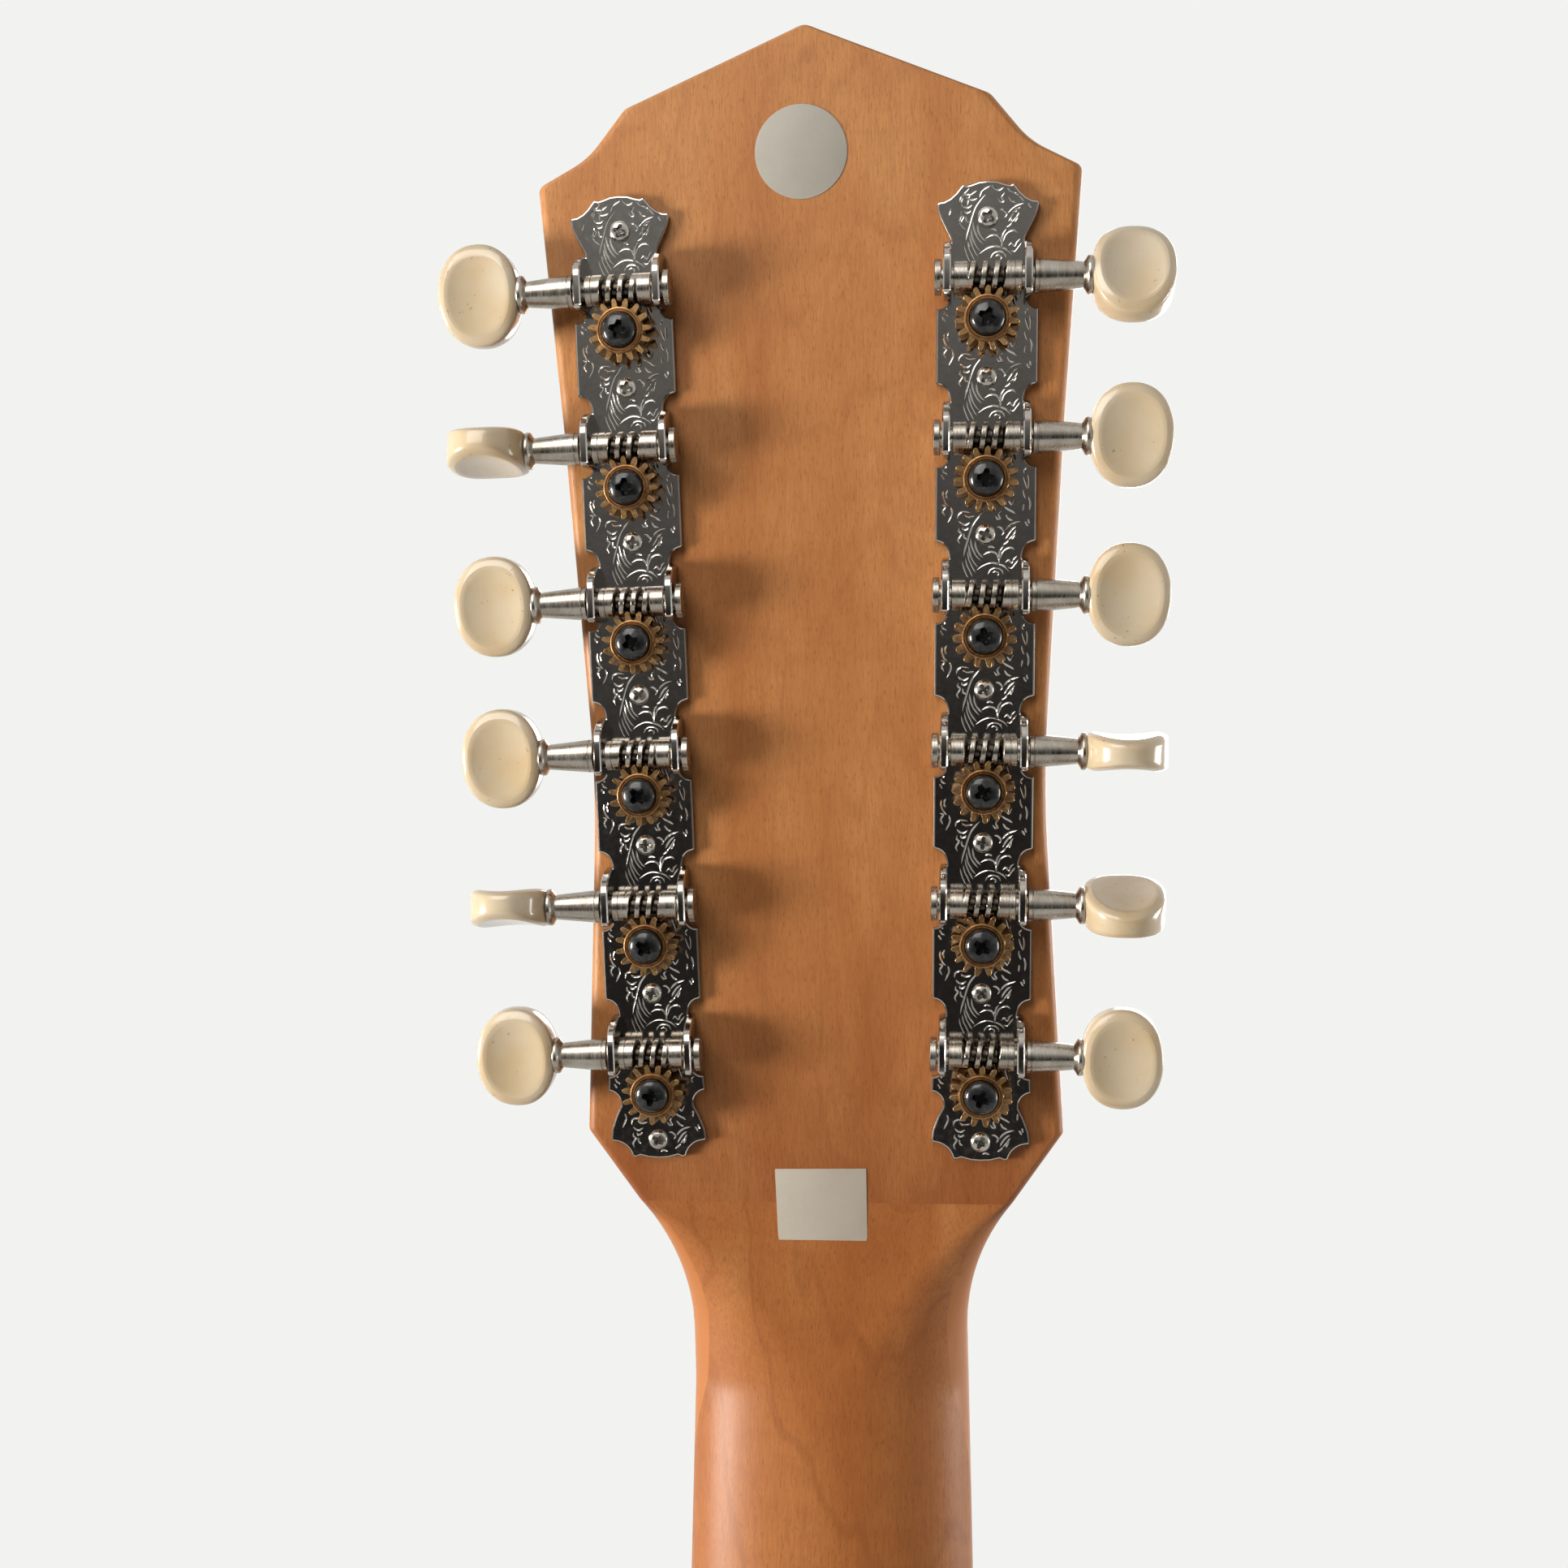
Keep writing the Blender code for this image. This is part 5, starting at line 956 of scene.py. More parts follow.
# Saddle
# A thin strip of bone in the bridge's slot, its crest rounded where the strings bend over it.
SADDLE_CREST = 0.01124
saddle_rings = []
for step in range(25):
    x = -SADDLE_LENGTH / 2 + SADDLE_LENGTH * step / 24
    crest = SADDLE_CREST - 0.0009 * smooth((abs(x) - 0.0335) / 0.0055)
    half = SADDLE_THICKNESS / 2
    saddle_rings.append([Vector((x, y, z)) for y, z in (
        (-half, SADDLE_FOOT), (half, SADDLE_FOOT), (half, crest - 0.0011), (0.0012, crest - 0.0005),
        (0.0006, crest - 0.00008), (0.0, crest), (-0.0006, crest - 0.00016), (-0.0012, crest - 0.0007),
        (-half, crest - 0.0014))])
piece("saddle_bone", mesh_of(skin(saddle_rings), "saddle_bone"), BONE, "guitar", ["saddle"], angle=50,
      place=ON_TOP @ Matrix.Rotation(SADDLE_SLANT, 4, "Z"))

# Bridge pins
# Twelve turned cream pins in two rows, pushed into the bridge to hold the strings' ends.
PIN_ROWS = ((-1, 0.0195), (1, 0.0110))     # (side of the pair's middle, distance below the saddle)
SADDLE_SPACINGS = (0.0107, 0.0028)
PIN_RADIUS = 0.0026


def lathe(work, steps, sides=32):
    """Rings about Z through (height, radius) steps in millimetres; a radius of 0 closes the end."""
    rows = []
    for height, radius in steps:
        turns = [2 * math.pi * i / sides for i in range(sides if radius else 1)]
        rows.append([work.verts.new(Vector((radius * math.cos(turn), radius * math.sin(turn), height)) / 1000)
                     for turn in turns])
    for low, high in zip(rows, rows[1:]):
        for i in range(sides):
            after = (i + 1) % sides
            work.faces.new(list(dict.fromkeys((low[i % len(low)], low[after % len(low)],
                                               high[after % len(high)], high[i % len(high)]))))
    return rows


def turned(name, steps, sides):
    """The mesh of one turned piece."""
    work = bmesh.new()
    lathe(work, steps, sides)
    bmesh.ops.remove_doubles(work, verts=work.verts, dist=1e-7)
    return mesh_of(work, name)


def row_of(name, pattern, finish, count, start, step, seed):
    """Copies of one small piece along a row, each turned a little differently about its axis."""
    def laid_out(tree, given):
        line = node(tree, "GeometryNodeMeshLine", {"Count": given["Count"], "Start Location": given["Start"],
                                                   "Offset": given["Step"]})
        turn = node(tree, "FunctionNodeRandomValue", {
            "Seed": given["Seed"], 0: (0, 0, 0), 1: (0, 0, 2 * math.pi)}, data_type="FLOAT_VECTOR")
        return line.outputs["Mesh"], {"Rotation": turn.outputs[0]}

    return grown(name, pattern, finish, {
        "Count": ("NodeSocketInt", count), "Start": ("NodeSocketVector", start),
        "Step": ("NodeSocketVector", step), "Seed": ("NodeSocketInt", seed)}, laid_out)


pin = turned("bridge_pin", ((-3.0, 0.0), (-3.0, 2.1), (0.0, 2.25), (0.25, 2.5), (0.9, 2.6), (1.7, 2.5),
                            (2.3, 2.0), (2.62, 1.2), (2.7, 0.0)), 20)
for label, (sign, below) in zip(("upper", "lower"), PIN_ROWS):
    apart, from_middle = SADDLE_SPACINGS
    row = row_of(f"bridge_pins_{label}", pin, BINDING_CREAM, 6,
                 (-2.5 * apart + sign * from_middle, -below, BRIDGE_HEIGHT), (apart, 0, 0), 5)
    piece(f"bridge_pins_{label}", row, BINDING_CREAM, "guitar", angle=40, place=ON_TOP)

# Pickguard
# A thin sheet of dark mottled plastic, its edge bevelled, stuck to the soundboard beside the hole.
GUARD_THICKNESS = 0.0009


def guard_outline():
    hole_y, reach = -HOLE_DROP, HOLE_RADIUS + 0.060
    foot_y = -(BODY_Z - SADDLE_Z - BRIDGE_ABOVE - 0.0215)
    fall = hole_y - foot_y
    inner = arc((0, hole_y), HOLE_RADIUS + 0.0060, -62, 38, 30)
    start, end = inner[0], inner[-1]
    widest, foot = (reach, hole_y - fall * 0.27), (reach * 0.5, foot_y)
    outer = bezier(end, (end[0] + reach * 0.18, end[1] + reach * 0.11), (reach, hole_y + reach * 0.09),
                   widest, 18)
    outer += bezier(widest, (reach, hole_y - fall * 0.76), (reach * 0.77, foot_y - fall * 0.04), foot, 18)
    outer += bezier(foot, (reach * 0.34, foot_y + fall * 0.04),
                    (start[0] + reach * 0.04, start[1] - fall * 0.18), start, 14)
    return inner + outer[1:]


made, tree = new_finish("mottled_plastic", Coat_Weight=0.5, Coat_Roughness=0.04)
blot = noise(tree, stretched(tree, (1, 1, 0.7), (0, 0.5, 0)), 70, 4, 0.6, 1.6)
scratch = noise(tree, stretched(tree, (1, 1, 0.02), (0, 0.9, 0)), 2400, 2, 0.6)
GUARD_PLASTIC = dressed(made, ramp(tree, blot, (
    (0.38, (0.012, 0.005, 0.004)), (0.52, (0.045, 0.014, 0.007)), (0.66, (0.130, 0.042, 0.014)))),
    level(tree, scratch, 0.10, 0.30, 0.5, 0.8))
guard = plate(guard_outline(), [], GAP, GAP + GUARD_THICKNESS, 0.0005)
piece("pickguard_sheet", mesh_of(guard, "pickguard_sheet"), GUARD_PLASTIC, "guitar",
      ["pickguard"], angle=25, place=FRONT_FRAME)

# Tuner strips
# Two stamped steel strips, plated and engraved with leaf scrolls, each with six pairs of ears bent up.
SIDES = {1: "bass", -1: "treble"}
STRIPS_MIDDLE = Vector((-0.0007, 0.1080, 0))     # on the headstock's back
STRIP_ACROSS, STRIP_LEAN = 0.02833, math.radians(1.0)
POSTS = 6
POST_PITCH = 0.025
STRIP_THICKNESS = 0.0010
EAR_SPAN = 0.0140
EAR_THICKNESS = 0.00125
EAR_HEIGHT = 0.0071
EAR_ABOVE_SHAFT = 0.0060
EAR_BELOW_SHAFT = 0.0031
EAR_SHOULDER = 0.0019
WORM_BELOW_SCREW = 0.0097
WORM_HEIGHT = 0.0041
GEAR_PITCH_RADIUS = 0.00455
CENTRE_DISTANCE = 0.0066
JOURNAL_RADIUS = 0.0017
GEAR_HOLE_RADIUS = 0.0033
GROOVE_HALF_WIDTH = 0.00015
GROOVE_DEPTH = 0.000065
# Engraved strokes of one tuner's length, in tenths of a millimetre from its screw
LEAF_STROKES = (
    ((-4, 36), (-12, 28), (-20, 17), (-25, 4), (-29, -10), (-33, -24), (-35, -36)),
    ((-45, 25), (-44, 32), (-39, 36), (-32, 36), (-24, 35)), ((-43, 22), (-38, 17), (-32, 16), (-25, 20)),
    ((-35, 32), (-30, 28), (-24, 28), (-17, 30)),
    ((-42, 12), (-43, 6), (-39, 2), (-41, -2), (-44, -8), (-41, -15)),
    ((-37, 12), (-35, 8), (-30, 9), (-27, 12)), ((-35, 3), (-34, -4), (-30, -7)),
    ((-24, -5), (-22, -18), (-16, -31), (-7, -42)), ((-27, -15), (-25, -29), (-19, -42), (-11, -53)),
    ((-29, -26), (-26, -39), (-20, -52), (-15, -61)), ((-32, -36), (-29, -48), (-24, -58), (-20, -68)),
    ((-37, -42), (-34, -53), (-30, -63), (-27, -69)), ((-17, -8), (-15, -21), (-9, -31), (-3, -37)),
    ((22, -52), (22, -39), (23, -26), (29, -18)), ((21, -40), (19, -32), (13, -28), (4, -28), (-4, -33)),
    ((24, -39), (27, -28), (34, -22), (42, -21), (47, -25)), ((28, -16), (34, -12), (37, -8)),
    ((15, -21), (8, -19), (3, -21)), ((31, 6), (37, 13), (45, 18), (56, 21)),
    ((32, -7), (36, 0), (42, 8), (49, 13)), ((37, -8), (44, 0), (49, 8)), ((42, -8), (47, 1)),
    ((18, 12), (24, 11), (29, 5), (26, -1)),
    ((-14, -57), (-4, -49), (8, -45), (21, -47), (32, -52), (39, -60)),
    ((4, -64), (8, -56), (16, -53), (26, -56), (29, -64)), ((12, -61), (16, -58), (21, -61), (20, -66)),
    ((32, -45), (37, -40), (42, -45), (45, -39), (51, -34)), ((36, -52), (42, -53), (47, -47), (53, -40)),
    ((15, 30), (20, 24), (24, 25), (21, 32), (26, 38)), ((29, 45), (36, 40), (42, 37), (48, 33)),
    ((32, 32), (37, 25), (44, 22)), ((36, 54), (42, 48), (47, 57)), ((26, 57), (32, 49)),
    ((65, 107), (61, 102), (63, 96)), ((60, 93), (63, 83), (67, 72)), ((67, 96), (69, 86), (68, 73)),
    ((60, 72), (61, 65), (64, 57)), ((68, 61), (71, 51), (70, 38)), ((61, 49), (60, 37)),
    ((63, 21), (68, 13)), ((68, 25), (70, 17)), ((-70, 105), (-67, 99), (-61, 96)), ((-72, 96), (-67, 88)),
    ((-67, 106), (-64, 109)), ((-68, 70), (-69, 62), (-65, 51), (-59, 45)),
    ((-61, 72), (-64, 65), (-62, 57)), ((-71, 48), (-65, 45), (-69, 38), (-65, 29)),
    ((-56, 45), (-54, 35), (-61, 19)), ((26, 129), (31, 118)), ((32, 129), (36, 117)),
    ((38, 128), (42, 115), (45, 105)), ((44, 129), (47, 118)))
CROWN_STROKES = (
    ((-43, 23), (-39, 37), (-30, 46)), ((-33, 19), (-30, 34), (-18, 42)), ((-14, 31), (-10, 42), (3, 49)),
    ((5, 50), (15, 42), (24, 46)), ((24, 52), (34, 49), (43, 37)), ((34, 39), (48, 34), (57, 23)),
    ((65, 26), (70, 12), (63, 0)), ((51, 15), (40, 8), (36, -8)), ((-41, 11), (-45, -8), (-34, -19)),
    ((-59, 16), (-62, 4)))


def strip_frame(side):
    """A strip's frame at its middle screw, on the headstock's back: side is 1 for bass, -1 for treble."""
    spot = STRIPS_MIDDLE + Vector((side * STRIP_ACROSS, 0, 0))
    return BACK_FRAME @ Matrix.Translation(spot) @ Matrix.Rotation(-side * STRIP_LEAN, 4, "Z")


def screw_height(number):
    return (POSTS / 2 - number) * POST_PITCH


def gear_height(number):
    return screw_height(number) - WORM_BELOW_SCREW - CENTRE_DISTANCE


def strip_edge():
    """Right edge of a strip from its crown to its foot: ogee crown, a scalloped step at each tuner."""
    top = screw_height(0)
    ear = EAR_SPAN / 2 - 0.0002
    edge = [(0, top + 0.0057), (0.0014, top + 0.0056), (0.0026, top + 0.0052), (0.0034, top + 0.0050),
            (0.0040, top + 0.0052), (0.0044, top + 0.0048), (0.0051, top + 0.0039), (0.0060, top + 0.0031),
            (0.0070, top + 0.0026), (0.0079, top + 0.0025), (0.0081, top + 0.0021), (0.0079, top + 0.0011)]
    for number in range(POSTS):
        screw = screw_height(number)
        shaft = screw - WORM_BELOW_SCREW
        if number == 0:
            edge += [(0.0075, screw), (0.0068, screw - 0.0014), (0.0062, screw - 0.0026)]
        edge += [(0.0059, screw - 0.0033), (0.0059, shaft + EAR_ABOVE_SHAFT), (ear, shaft + EAR_ABOVE_SHAFT),
                 (ear, shaft - EAR_BELOW_SHAFT)]
        edge += [(0.0060, shaft - EAR_BELOW_SHAFT)] + arc((0.0079, shaft - EAR_BELOW_SHAFT + 0.0004), 0.0018,
                                                         190, 262, 6)
        edge += [(0.0081, shaft - EAR_BELOW_SHAFT - 0.0014)]
        if number < POSTS - 1:
            low = screw - POST_PITCH - 0.0009
            edge += [(0.0081, low), (0.0078, low - 0.0002)] + arc((0.0080, low - 0.0022), 0.0020, 98, 168, 6)
    low = -top
    edge += [(0.0082, low + 0.0084)] + arc((0.0085, low + 0.0061), 0.0023, 98, 190, 7)
    edge += [(0.0071, low + 0.0040), (0.0079, low + 0.0018), (0.0081, low + 0.0002), (0.0079, low - 0.0003)]
    edge += arc((0.0078, low - 0.0036), 0.0033, 96, 168, 6)
    edge += [(0.0040, low - 0.0031), (0.0032, low - 0.0028), (0.0016, low - 0.0032), (0, low - 0.0033)]
    return edge


def smooth_stroke(points, steps=4):
    """A smooth line through a few points, more finely divided."""
    line = [Vector(point) for point in points]
    padded = [2 * line[0] - line[1]] + line + [2 * line[-1] - line[-2]]
    fine = []
    for a, b, c, d in zip(padded, padded[1:], padded[2:], padded[3:]):
        for step in range(steps):
            t = step / steps
            fine.append(0.5 * (2 * b + (c - a) * t + (2 * a - 5 * b + 4 * c - d) * t * t
                               + (3 * b - a - 3 * c + d) * t ** 3))
    return fine + [line[-1]]


def engraved_sheet(outline, holes, strokes, height):
    """A flat sheet with V grooves cut along the strokes, as a bmesh: its outline is its open edge."""
    points, edges, depths = [], [], []

    def chain(line, deep):
        first = len(points)
        points.extend(line)
        depths.extend(deep)
        return list(range(first, len(points)))

    for loop in [outline] + holes:
        edges += ring_edges(len(points), len(loop))
        chain(loop, [0] * len(loop))
    for stroke in strokes:
        line = smooth_stroke(stroke)
        if not all(inside(point, outline) for point in line) or any(
                (point - Vector(hole[0])).length < 0.0002 for point in line for hole in holes):
            continue
        half = [GROOVE_HALF_WIDTH * min(1, 1.7 * math.sin(math.pi * (i + 0.15) / (len(line) - 0.7)))
                for i in range(len(line))]
        sides = [[], []]
        for i in range(1, len(line) - 1):
            along = (line[i + 1] - line[i - 1]).normalized()
            for sign, side in zip((1, -1), sides):
                side.append(line[i] + Vector((-along.y, along.x)) * sign * half[i])
        middle = chain(line, [0] + [h / GROOVE_HALF_WIDTH * GROOVE_DEPTH for h in half[1:-1]] + [0])
        edges += list(zip(middle, middle[1:]))
        for side in sides:
            chained = [middle[0]] + chain(side, [0] * len(side)) + [middle[-1]]
            edges += list(zip(chained, chained[1:]))
    work = bmesh.new()
    flat_faces(work, points, edges, lambda centre: inside(centre, outline) and not any(
        inside(centre, hole) for hole in holes), lambda x, y: height, depths, 1e-6)
    return work


def add_ear(work, across, along):
    """An ear bent up from the strip's edge, its hole round the shaft. It slopes down towards the crown."""
    slope = [(EAR_SHOULDER + (EAR_ABOVE_SHAFT - EAR_SHOULDER) * math.cos(math.radians(angle)),
              EAR_HEIGHT * math.sin(math.radians(angle))) for angle in range(4, 91, 6)]
    rim = [(-EAR_BELOW_SHAFT, 0.0001)]
    rim += arc((0.0010 - EAR_BELOW_SHAFT, EAR_HEIGHT - 0.0010), 0.0010, 180, 90, 6)
    rim += slope[::-1] + [(EAR_ABOVE_SHAFT, 0.0001)]
    hole = arc((0, WORM_HEIGHT - GAP), JOURNAL_RADIUS + 0.00015, 180, 540, 20)[:-1]
    outer, inner = EAR_THICKNESS / 2, EAR_THICKNESS / 2 - 0.00022
    rolled = inset(rim, 0.00022)

    def strip_of(*levels):
        rings = [[(across + x, along + y, z) for y, z in loop] for x, loop in levels]
        return bridged(work, new_rows(work, rings))

    rows = strip_of((-outer, rolled), (-inner, rim), (inner, rim), (outer, rolled))
    holes = strip_of((-outer, hole), (outer, hole))
    for end in (0, -1):
        filled(work, [rows[end], holes[end]])


def strip_mesh(name):
    outline = strip_edge()
    outline = outline + [(-x, y) for x, y in outline[-2:0:-1]]
    holes = [arc((0, gear_height(number)), GEAR_HOLE_RADIUS, 0, 360, 24)[:-1] for number in range(POSTS)]
    strokes = [[(x / 10000, y / 10000 + screw_height(number)) for x, y in stroke]
               for number in range(POSTS + 1) for stroke in LEAF_STROKES]
    strokes += [[(x / 10000, y / 10000 + screw_height(0)) for x, y in stroke] for stroke in CROWN_STROKES]
    rolled = inset(outline, 0.00028)
    work = engraved_sheet(rolled, holes, strokes, STRIP_THICKNESS)
    walls(work, (rolled, STRIP_THICKNESS), (inset(outline, 0.00010), STRIP_THICKNESS - 0.00006),
          (outline, STRIP_THICKNESS - 0.00024), (outline, 0.0))
    for hole in holes:
        walls(work, (hole, STRIP_THICKNESS), (hole, 0.0))
    for number in range(POSTS):
        for across in (-1, 1):
            add_ear(work, across * (EAR_SPAN - EAR_THICKNESS) / 2, gear_height(number) + CENTRE_DISTANCE)
    bmesh.ops.remove_doubles(work, verts=work.verts, dist=1e-6)
    return mesh_of(work, name)


STRIP_PLATE = plated("engraved_nickel", (0.44, 0.41, 0.38), (0.33, 0.30, 0.27), 0.11)
for side, label in SIDES.items():
    name = f"tuner_plate_{label}"
    piece(name + "_engraved", strip_mesh(name), STRIP_PLATE, "guitar", [name], angle=12,
          place=strip_frame(side) @ Matrix.Translation((0, 0, GAP)))

# Strip screws
# Fourteen small plated wood screws, domed with a cross recess, hold the strips to the headstock.


def recessed_head(radius, rim_height, crown, arm, arm_width, depth):
    """A domed screw head with a cross recess, standing on Z = 0."""
    waist = arm_width * 0.62
    quarter = ((waist, -waist), (arm * 0.72, -arm_width / 2), (arm, -arm_width * 0.36),
               (arm, arm_width * 0.36), (arm * 0.72, arm_width / 2))
    cross = [tuple(Matrix.Rotation(math.pi / 2 * turn, 2) @ Vector(point))
             for turn in range(4) for point in quarter]
    rings = [arc((0, 0), radius * share, 0, 360, 28)[:-1] for share in (1, 0.95, 0.86, 0.74)]
    points, edges = [], []
    for loop in rings + [cross]:
        edges += ring_edges(len(points), len(loop))
        points += loop

    def dome(x, y):
        share = min(1, math.hypot(x, y) / radius)
        return rim_height + crown * math.sqrt(max(0, 1 - share ** 2.6))

    work = bmesh.new()
    flat_faces(work, points, edges, lambda centre: not inside(centre, cross), dome)
    recess = bridged(work, new_rows(work, ([(x, y, dome(x, y)) for x, y in cross], [
        (x * 0.55, y * 0.55, rim_height + crown - depth) for x, y in cross])))
    rim = walls(work, (rings[0], rim_height), (rings[0], 0))
    work.faces.new(recess[-1])
    work.faces.new(rim[-1])
    bmesh.ops.remove_doubles(work, verts=work.verts, dist=2e-6)
    return mesh_of(work, "screw_head")


SCREW_PLATE = plated("screw_nickel", (0.46, 0.43, 0.39), (0.28, 0.25, 0.22), 0.20, 1600.0)
screw = recessed_head(0.00165, 0.00025, 0.00072, 0.00108, 0.00064, 0.00075)
for side, label in SIDES.items():
    screws = row_of(f"strip_screws_{label}", screw, SCREW_PLATE, POSTS + 1, (0, screw_height(0), 0),
                    (0, -POST_PITCH, 0), 3 + side)
    piece(f"strip_screws_{label}", screws, SCREW_PLATE, "guitar", angle=30,
          place=strip_frame(side) @ Matrix.Translation((0, 0, GAP + STRIP_THICKNESS)))

# Keys
# Each key is a turned steel worm shaft, nickel plated, with a moulded cream button pressed on its end.
TEETH = 15
WORM_RADIUS = 0.00245
PITCH = 2 * math.pi * GEAR_PITCH_RADIUS / TEETH
THREAD_REACH, THREAD_FADE, THREAD_ROWS = 0.0032, 0.0006, 94
THREAD_HALF_WIDTH, THREAD_FLANK, THREAD_DEPTH = 0.00058, 0.00022, 0.00105
BUTTON_START = 0.0162
BUTTON_LENGTH = 0.0130
BUTTON_WIDTH = 0.0164
BUTTON_THICKNESS = 0.0069
BUTTON_DISH = 0.00115
BUTTON_EDGE = 0.0012
KEY_TURNS = {1: (-27, 0, 0, 90, -72, 0), -1: (0, -78, 0, 0, -77, 0)}
# The turned shaft on either side of its thread, from its inner end: (millimetres along, radius)
SHAFT_STEPS = (
    (-8.40, 0.0), (-8.40, 2.70), (-8.28, 2.86), (-7.42, 2.86), (-7.32, 2.76), (-7.32, 1.62), (-5.35, 1.62),
    (-5.35, 2.34), (-5.25, 2.45))
BARREL_STEPS = (
    (4.15, 2.45), (4.20, 2.30), (4.32, 2.30), (4.38, 2.45), (5.25, 2.45), (5.35, 2.34), (5.35, 1.62),
    (7.32, 1.62), (7.32, 2.55), (7.42, 2.70), (7.95, 2.70), (8.03, 2.55), (8.15, 2.55), (8.22, 2.68),
    (9.10, 2.62), (14.30, 2.12), (14.70, 2.08), (14.95, 2.02), (15.20, 2.30), (15.55, 2.92), (15.75, 3.03),
    (16.15, 3.03), (16.35, 2.94), (16.60, 2.55), (16.90, 2.20), (16.90, 0.0))


def shaft_mesh():
    """The shaft about Z, its left-hand worm groove centred on Z = 0 at the side towards +Y."""
    sides, count = 32, THREAD_ROWS
    work = bmesh.new()
    hollow = work.verts.layers.float.new("hollow")
    inner, outer = lathe(work, SHAFT_STEPS, sides), lathe(work, BARREL_STEPS, sides)
    low, high = SHAFT_STEPS[-1][0] / 1000, BARREL_STEPS[0][0] / 1000
    rows = [inner[-1]]
    for index in range(1, count):
        z = low + (high - low) * index / count
        row = []
        for i in range(sides):
            angle = 2 * math.pi * i / sides
            phase = z / PITCH + (angle - math.pi / 2) / (2 * math.pi)
            groove = smooth((THREAD_HALF_WIDTH - abs(phase - round(phase)) * PITCH) / THREAD_FLANK)
            groove *= min(1, max(0, (THREAD_REACH - abs(z)) / THREAD_FADE))
            radius = WORM_RADIUS - THREAD_DEPTH * groove
            row.append(work.verts.new((radius * math.cos(angle), radius * math.sin(angle), z)))
            # The groove's depth, kept for the painted shade in the thread's hollows
            row[-1][hollow] = groove
        rows.append(row)
    bridged(work, rows + [outer[0]])
    return mesh_of(work, "worm_shaft")


def button_mesh():
    """The oval button, flat across X: its faces are dished along the shaft, and its rim is rounded."""
    half_length, half_width, squareness = BUTTON_LENGTH / 2, BUTTON_WIDTH / 2, 2 / 2.2
    outline = []
    for step in range(56):
        c, s = math.cos(2 * math.pi * step / 56), math.sin(2 * math.pi * step / 56)
        outline.append((half_length * math.copysign(abs(c) ** squareness, c),
                        half_width * math.copysign(abs(s) ** squareness, s)))

    def ring(sign, share, drop):
        return [Vector((sign * (BUTTON_THICKNESS / 2 - BUTTON_DISH * (1 - (along * share / half_length) ** 2)
                                - drop), across * share, along * share)) for along, across in outline]

    work = bmesh.new()
    for sign in (1, -1):
        rings = [ring(sign, 1 - 0.5 * BUTTON_EDGE / half_length * (1 - math.cos(2 * turn)),
                      BUTTON_EDGE * (1 - math.sin(turn))) for turn in (math.pi / 16 * k for k in range(1, 9))]
        rings += [ring(sign, share, 0) for share in (0.70, 0.55, 0.38, 0.2)]
        rim, bulge = ([(share * x, across, along) for (x, _, _), (along, across) in zip(rings[0], outline)]
                      for share in (0, 0.5))
        last = bridged(work, new_rows(work, [rim, bulge] + rings))[-1]
        centre = work.verts.new((sign * (BUTTON_THICKNESS / 2 - BUTTON_DISH), 0, 0))
        for pair in zip(last, last[1:] + last[:1]):
            work.faces.new((*pair, centre))
    bmesh.ops.remove_doubles(work, verts=work.verts, dist=1e-6)
    mesh = mesh_of(work, "key_button")
    mesh.transform(Matrix.Translation((0, 0, BUTTON_START + half_length)))
    return mesh


def turned_metal(name, colour, film_colour, roughness):
    """Plated turned steel: fine tool rings, a browner film, and grime with painted shade in the thread's
    hollows.
    """
    made, tree = new_finish(name, Metallic=1.0)
    rings = noise(tree, stretched(tree, (1, 0.12, 0.12)), 2600, 3, 0.65)
    film = noise(tree, stretched(tree), 420, 3, 0.6)
    hollow = node(tree, "ShaderNodeAttribute", attribute_name="hollow").outputs["Fac"]
    base = stained(tree, colour, film, 0.7, 0.40, 0.72, film_colour)
    # The thread's hollows are painted near black: painted shade, with some grime
    base = stained(tree, base, hollow, 0.92, 0.15, 0.8, (0.035, 0.024, 0.016))
    return dressed(made, base, level(tree, rings, roughness * 0.75, roughness * 1.5, 0.3, 0.7), rings, 0.12)


SHAFT_PLATE = turned_metal("turned_nickel", (0.40, 0.365, 0.32), (0.248, 0.20075, 0.1504), 0.24)
CREAM = cream("cream_button", (0.58, 0.48, 0.34), (0.52, 0.37, 0.19), (0.1, 0.2, 0.3))
shaft, button = shaft_mesh(), button_mesh()


def tuner_frames():
    """(side, number, frame) of each tuner, its frame at the gear's centre on the strip's line."""
    for side in SIDES:
        for number in range(POSTS):
            yield side, number, strip_frame(side) @ Matrix.Translation((0, gear_height(number), 0))


def joined(parts):
    """Meshes with their finishes in one mesh: (mesh, material, frame) each."""
    work = bmesh.new()
    made = bpy.data.meshes.new("joined")
    for index, (mesh, finish, place) in enumerate(parts):
        first_vert, first_face = len(work.verts), len(work.faces)
        work.from_mesh(mesh)
        work.verts.ensure_lookup_table()
        work.faces.ensure_lookup_table()
        bmesh.ops.transform(work, verts=work.verts[first_vert:], matrix=place)
        for face in work.faces[first_face:]:
            face.material_index = index
        made.materials.append(finish)
    work.to_mesh(made)
    work.free()
    return made


for side, number, place in tuner_frames():
    key_axes = Matrix(((0, 0, side, 0), (0, -side, 0, 0), (1, 0, 0, 0), (0, 0, 0, 1)))
    key_frame = place @ Matrix.Translation((0, CENTRE_DISTANCE, WORM_HEIGHT)) @ key_axes @ \
        Matrix.Rotation(math.radians(KEY_TURNS[side][number]), 4, "Z")
    name = f"key_{SIDES[side]}_{number + 1}"
    piece(name, joined([(shaft, SHAFT_PLATE, key_frame), (button, CREAM, key_frame)]), None,
          f"{SIDES[side]}_key_{number + 1}", [f"tuner_{name}"], angle=40)

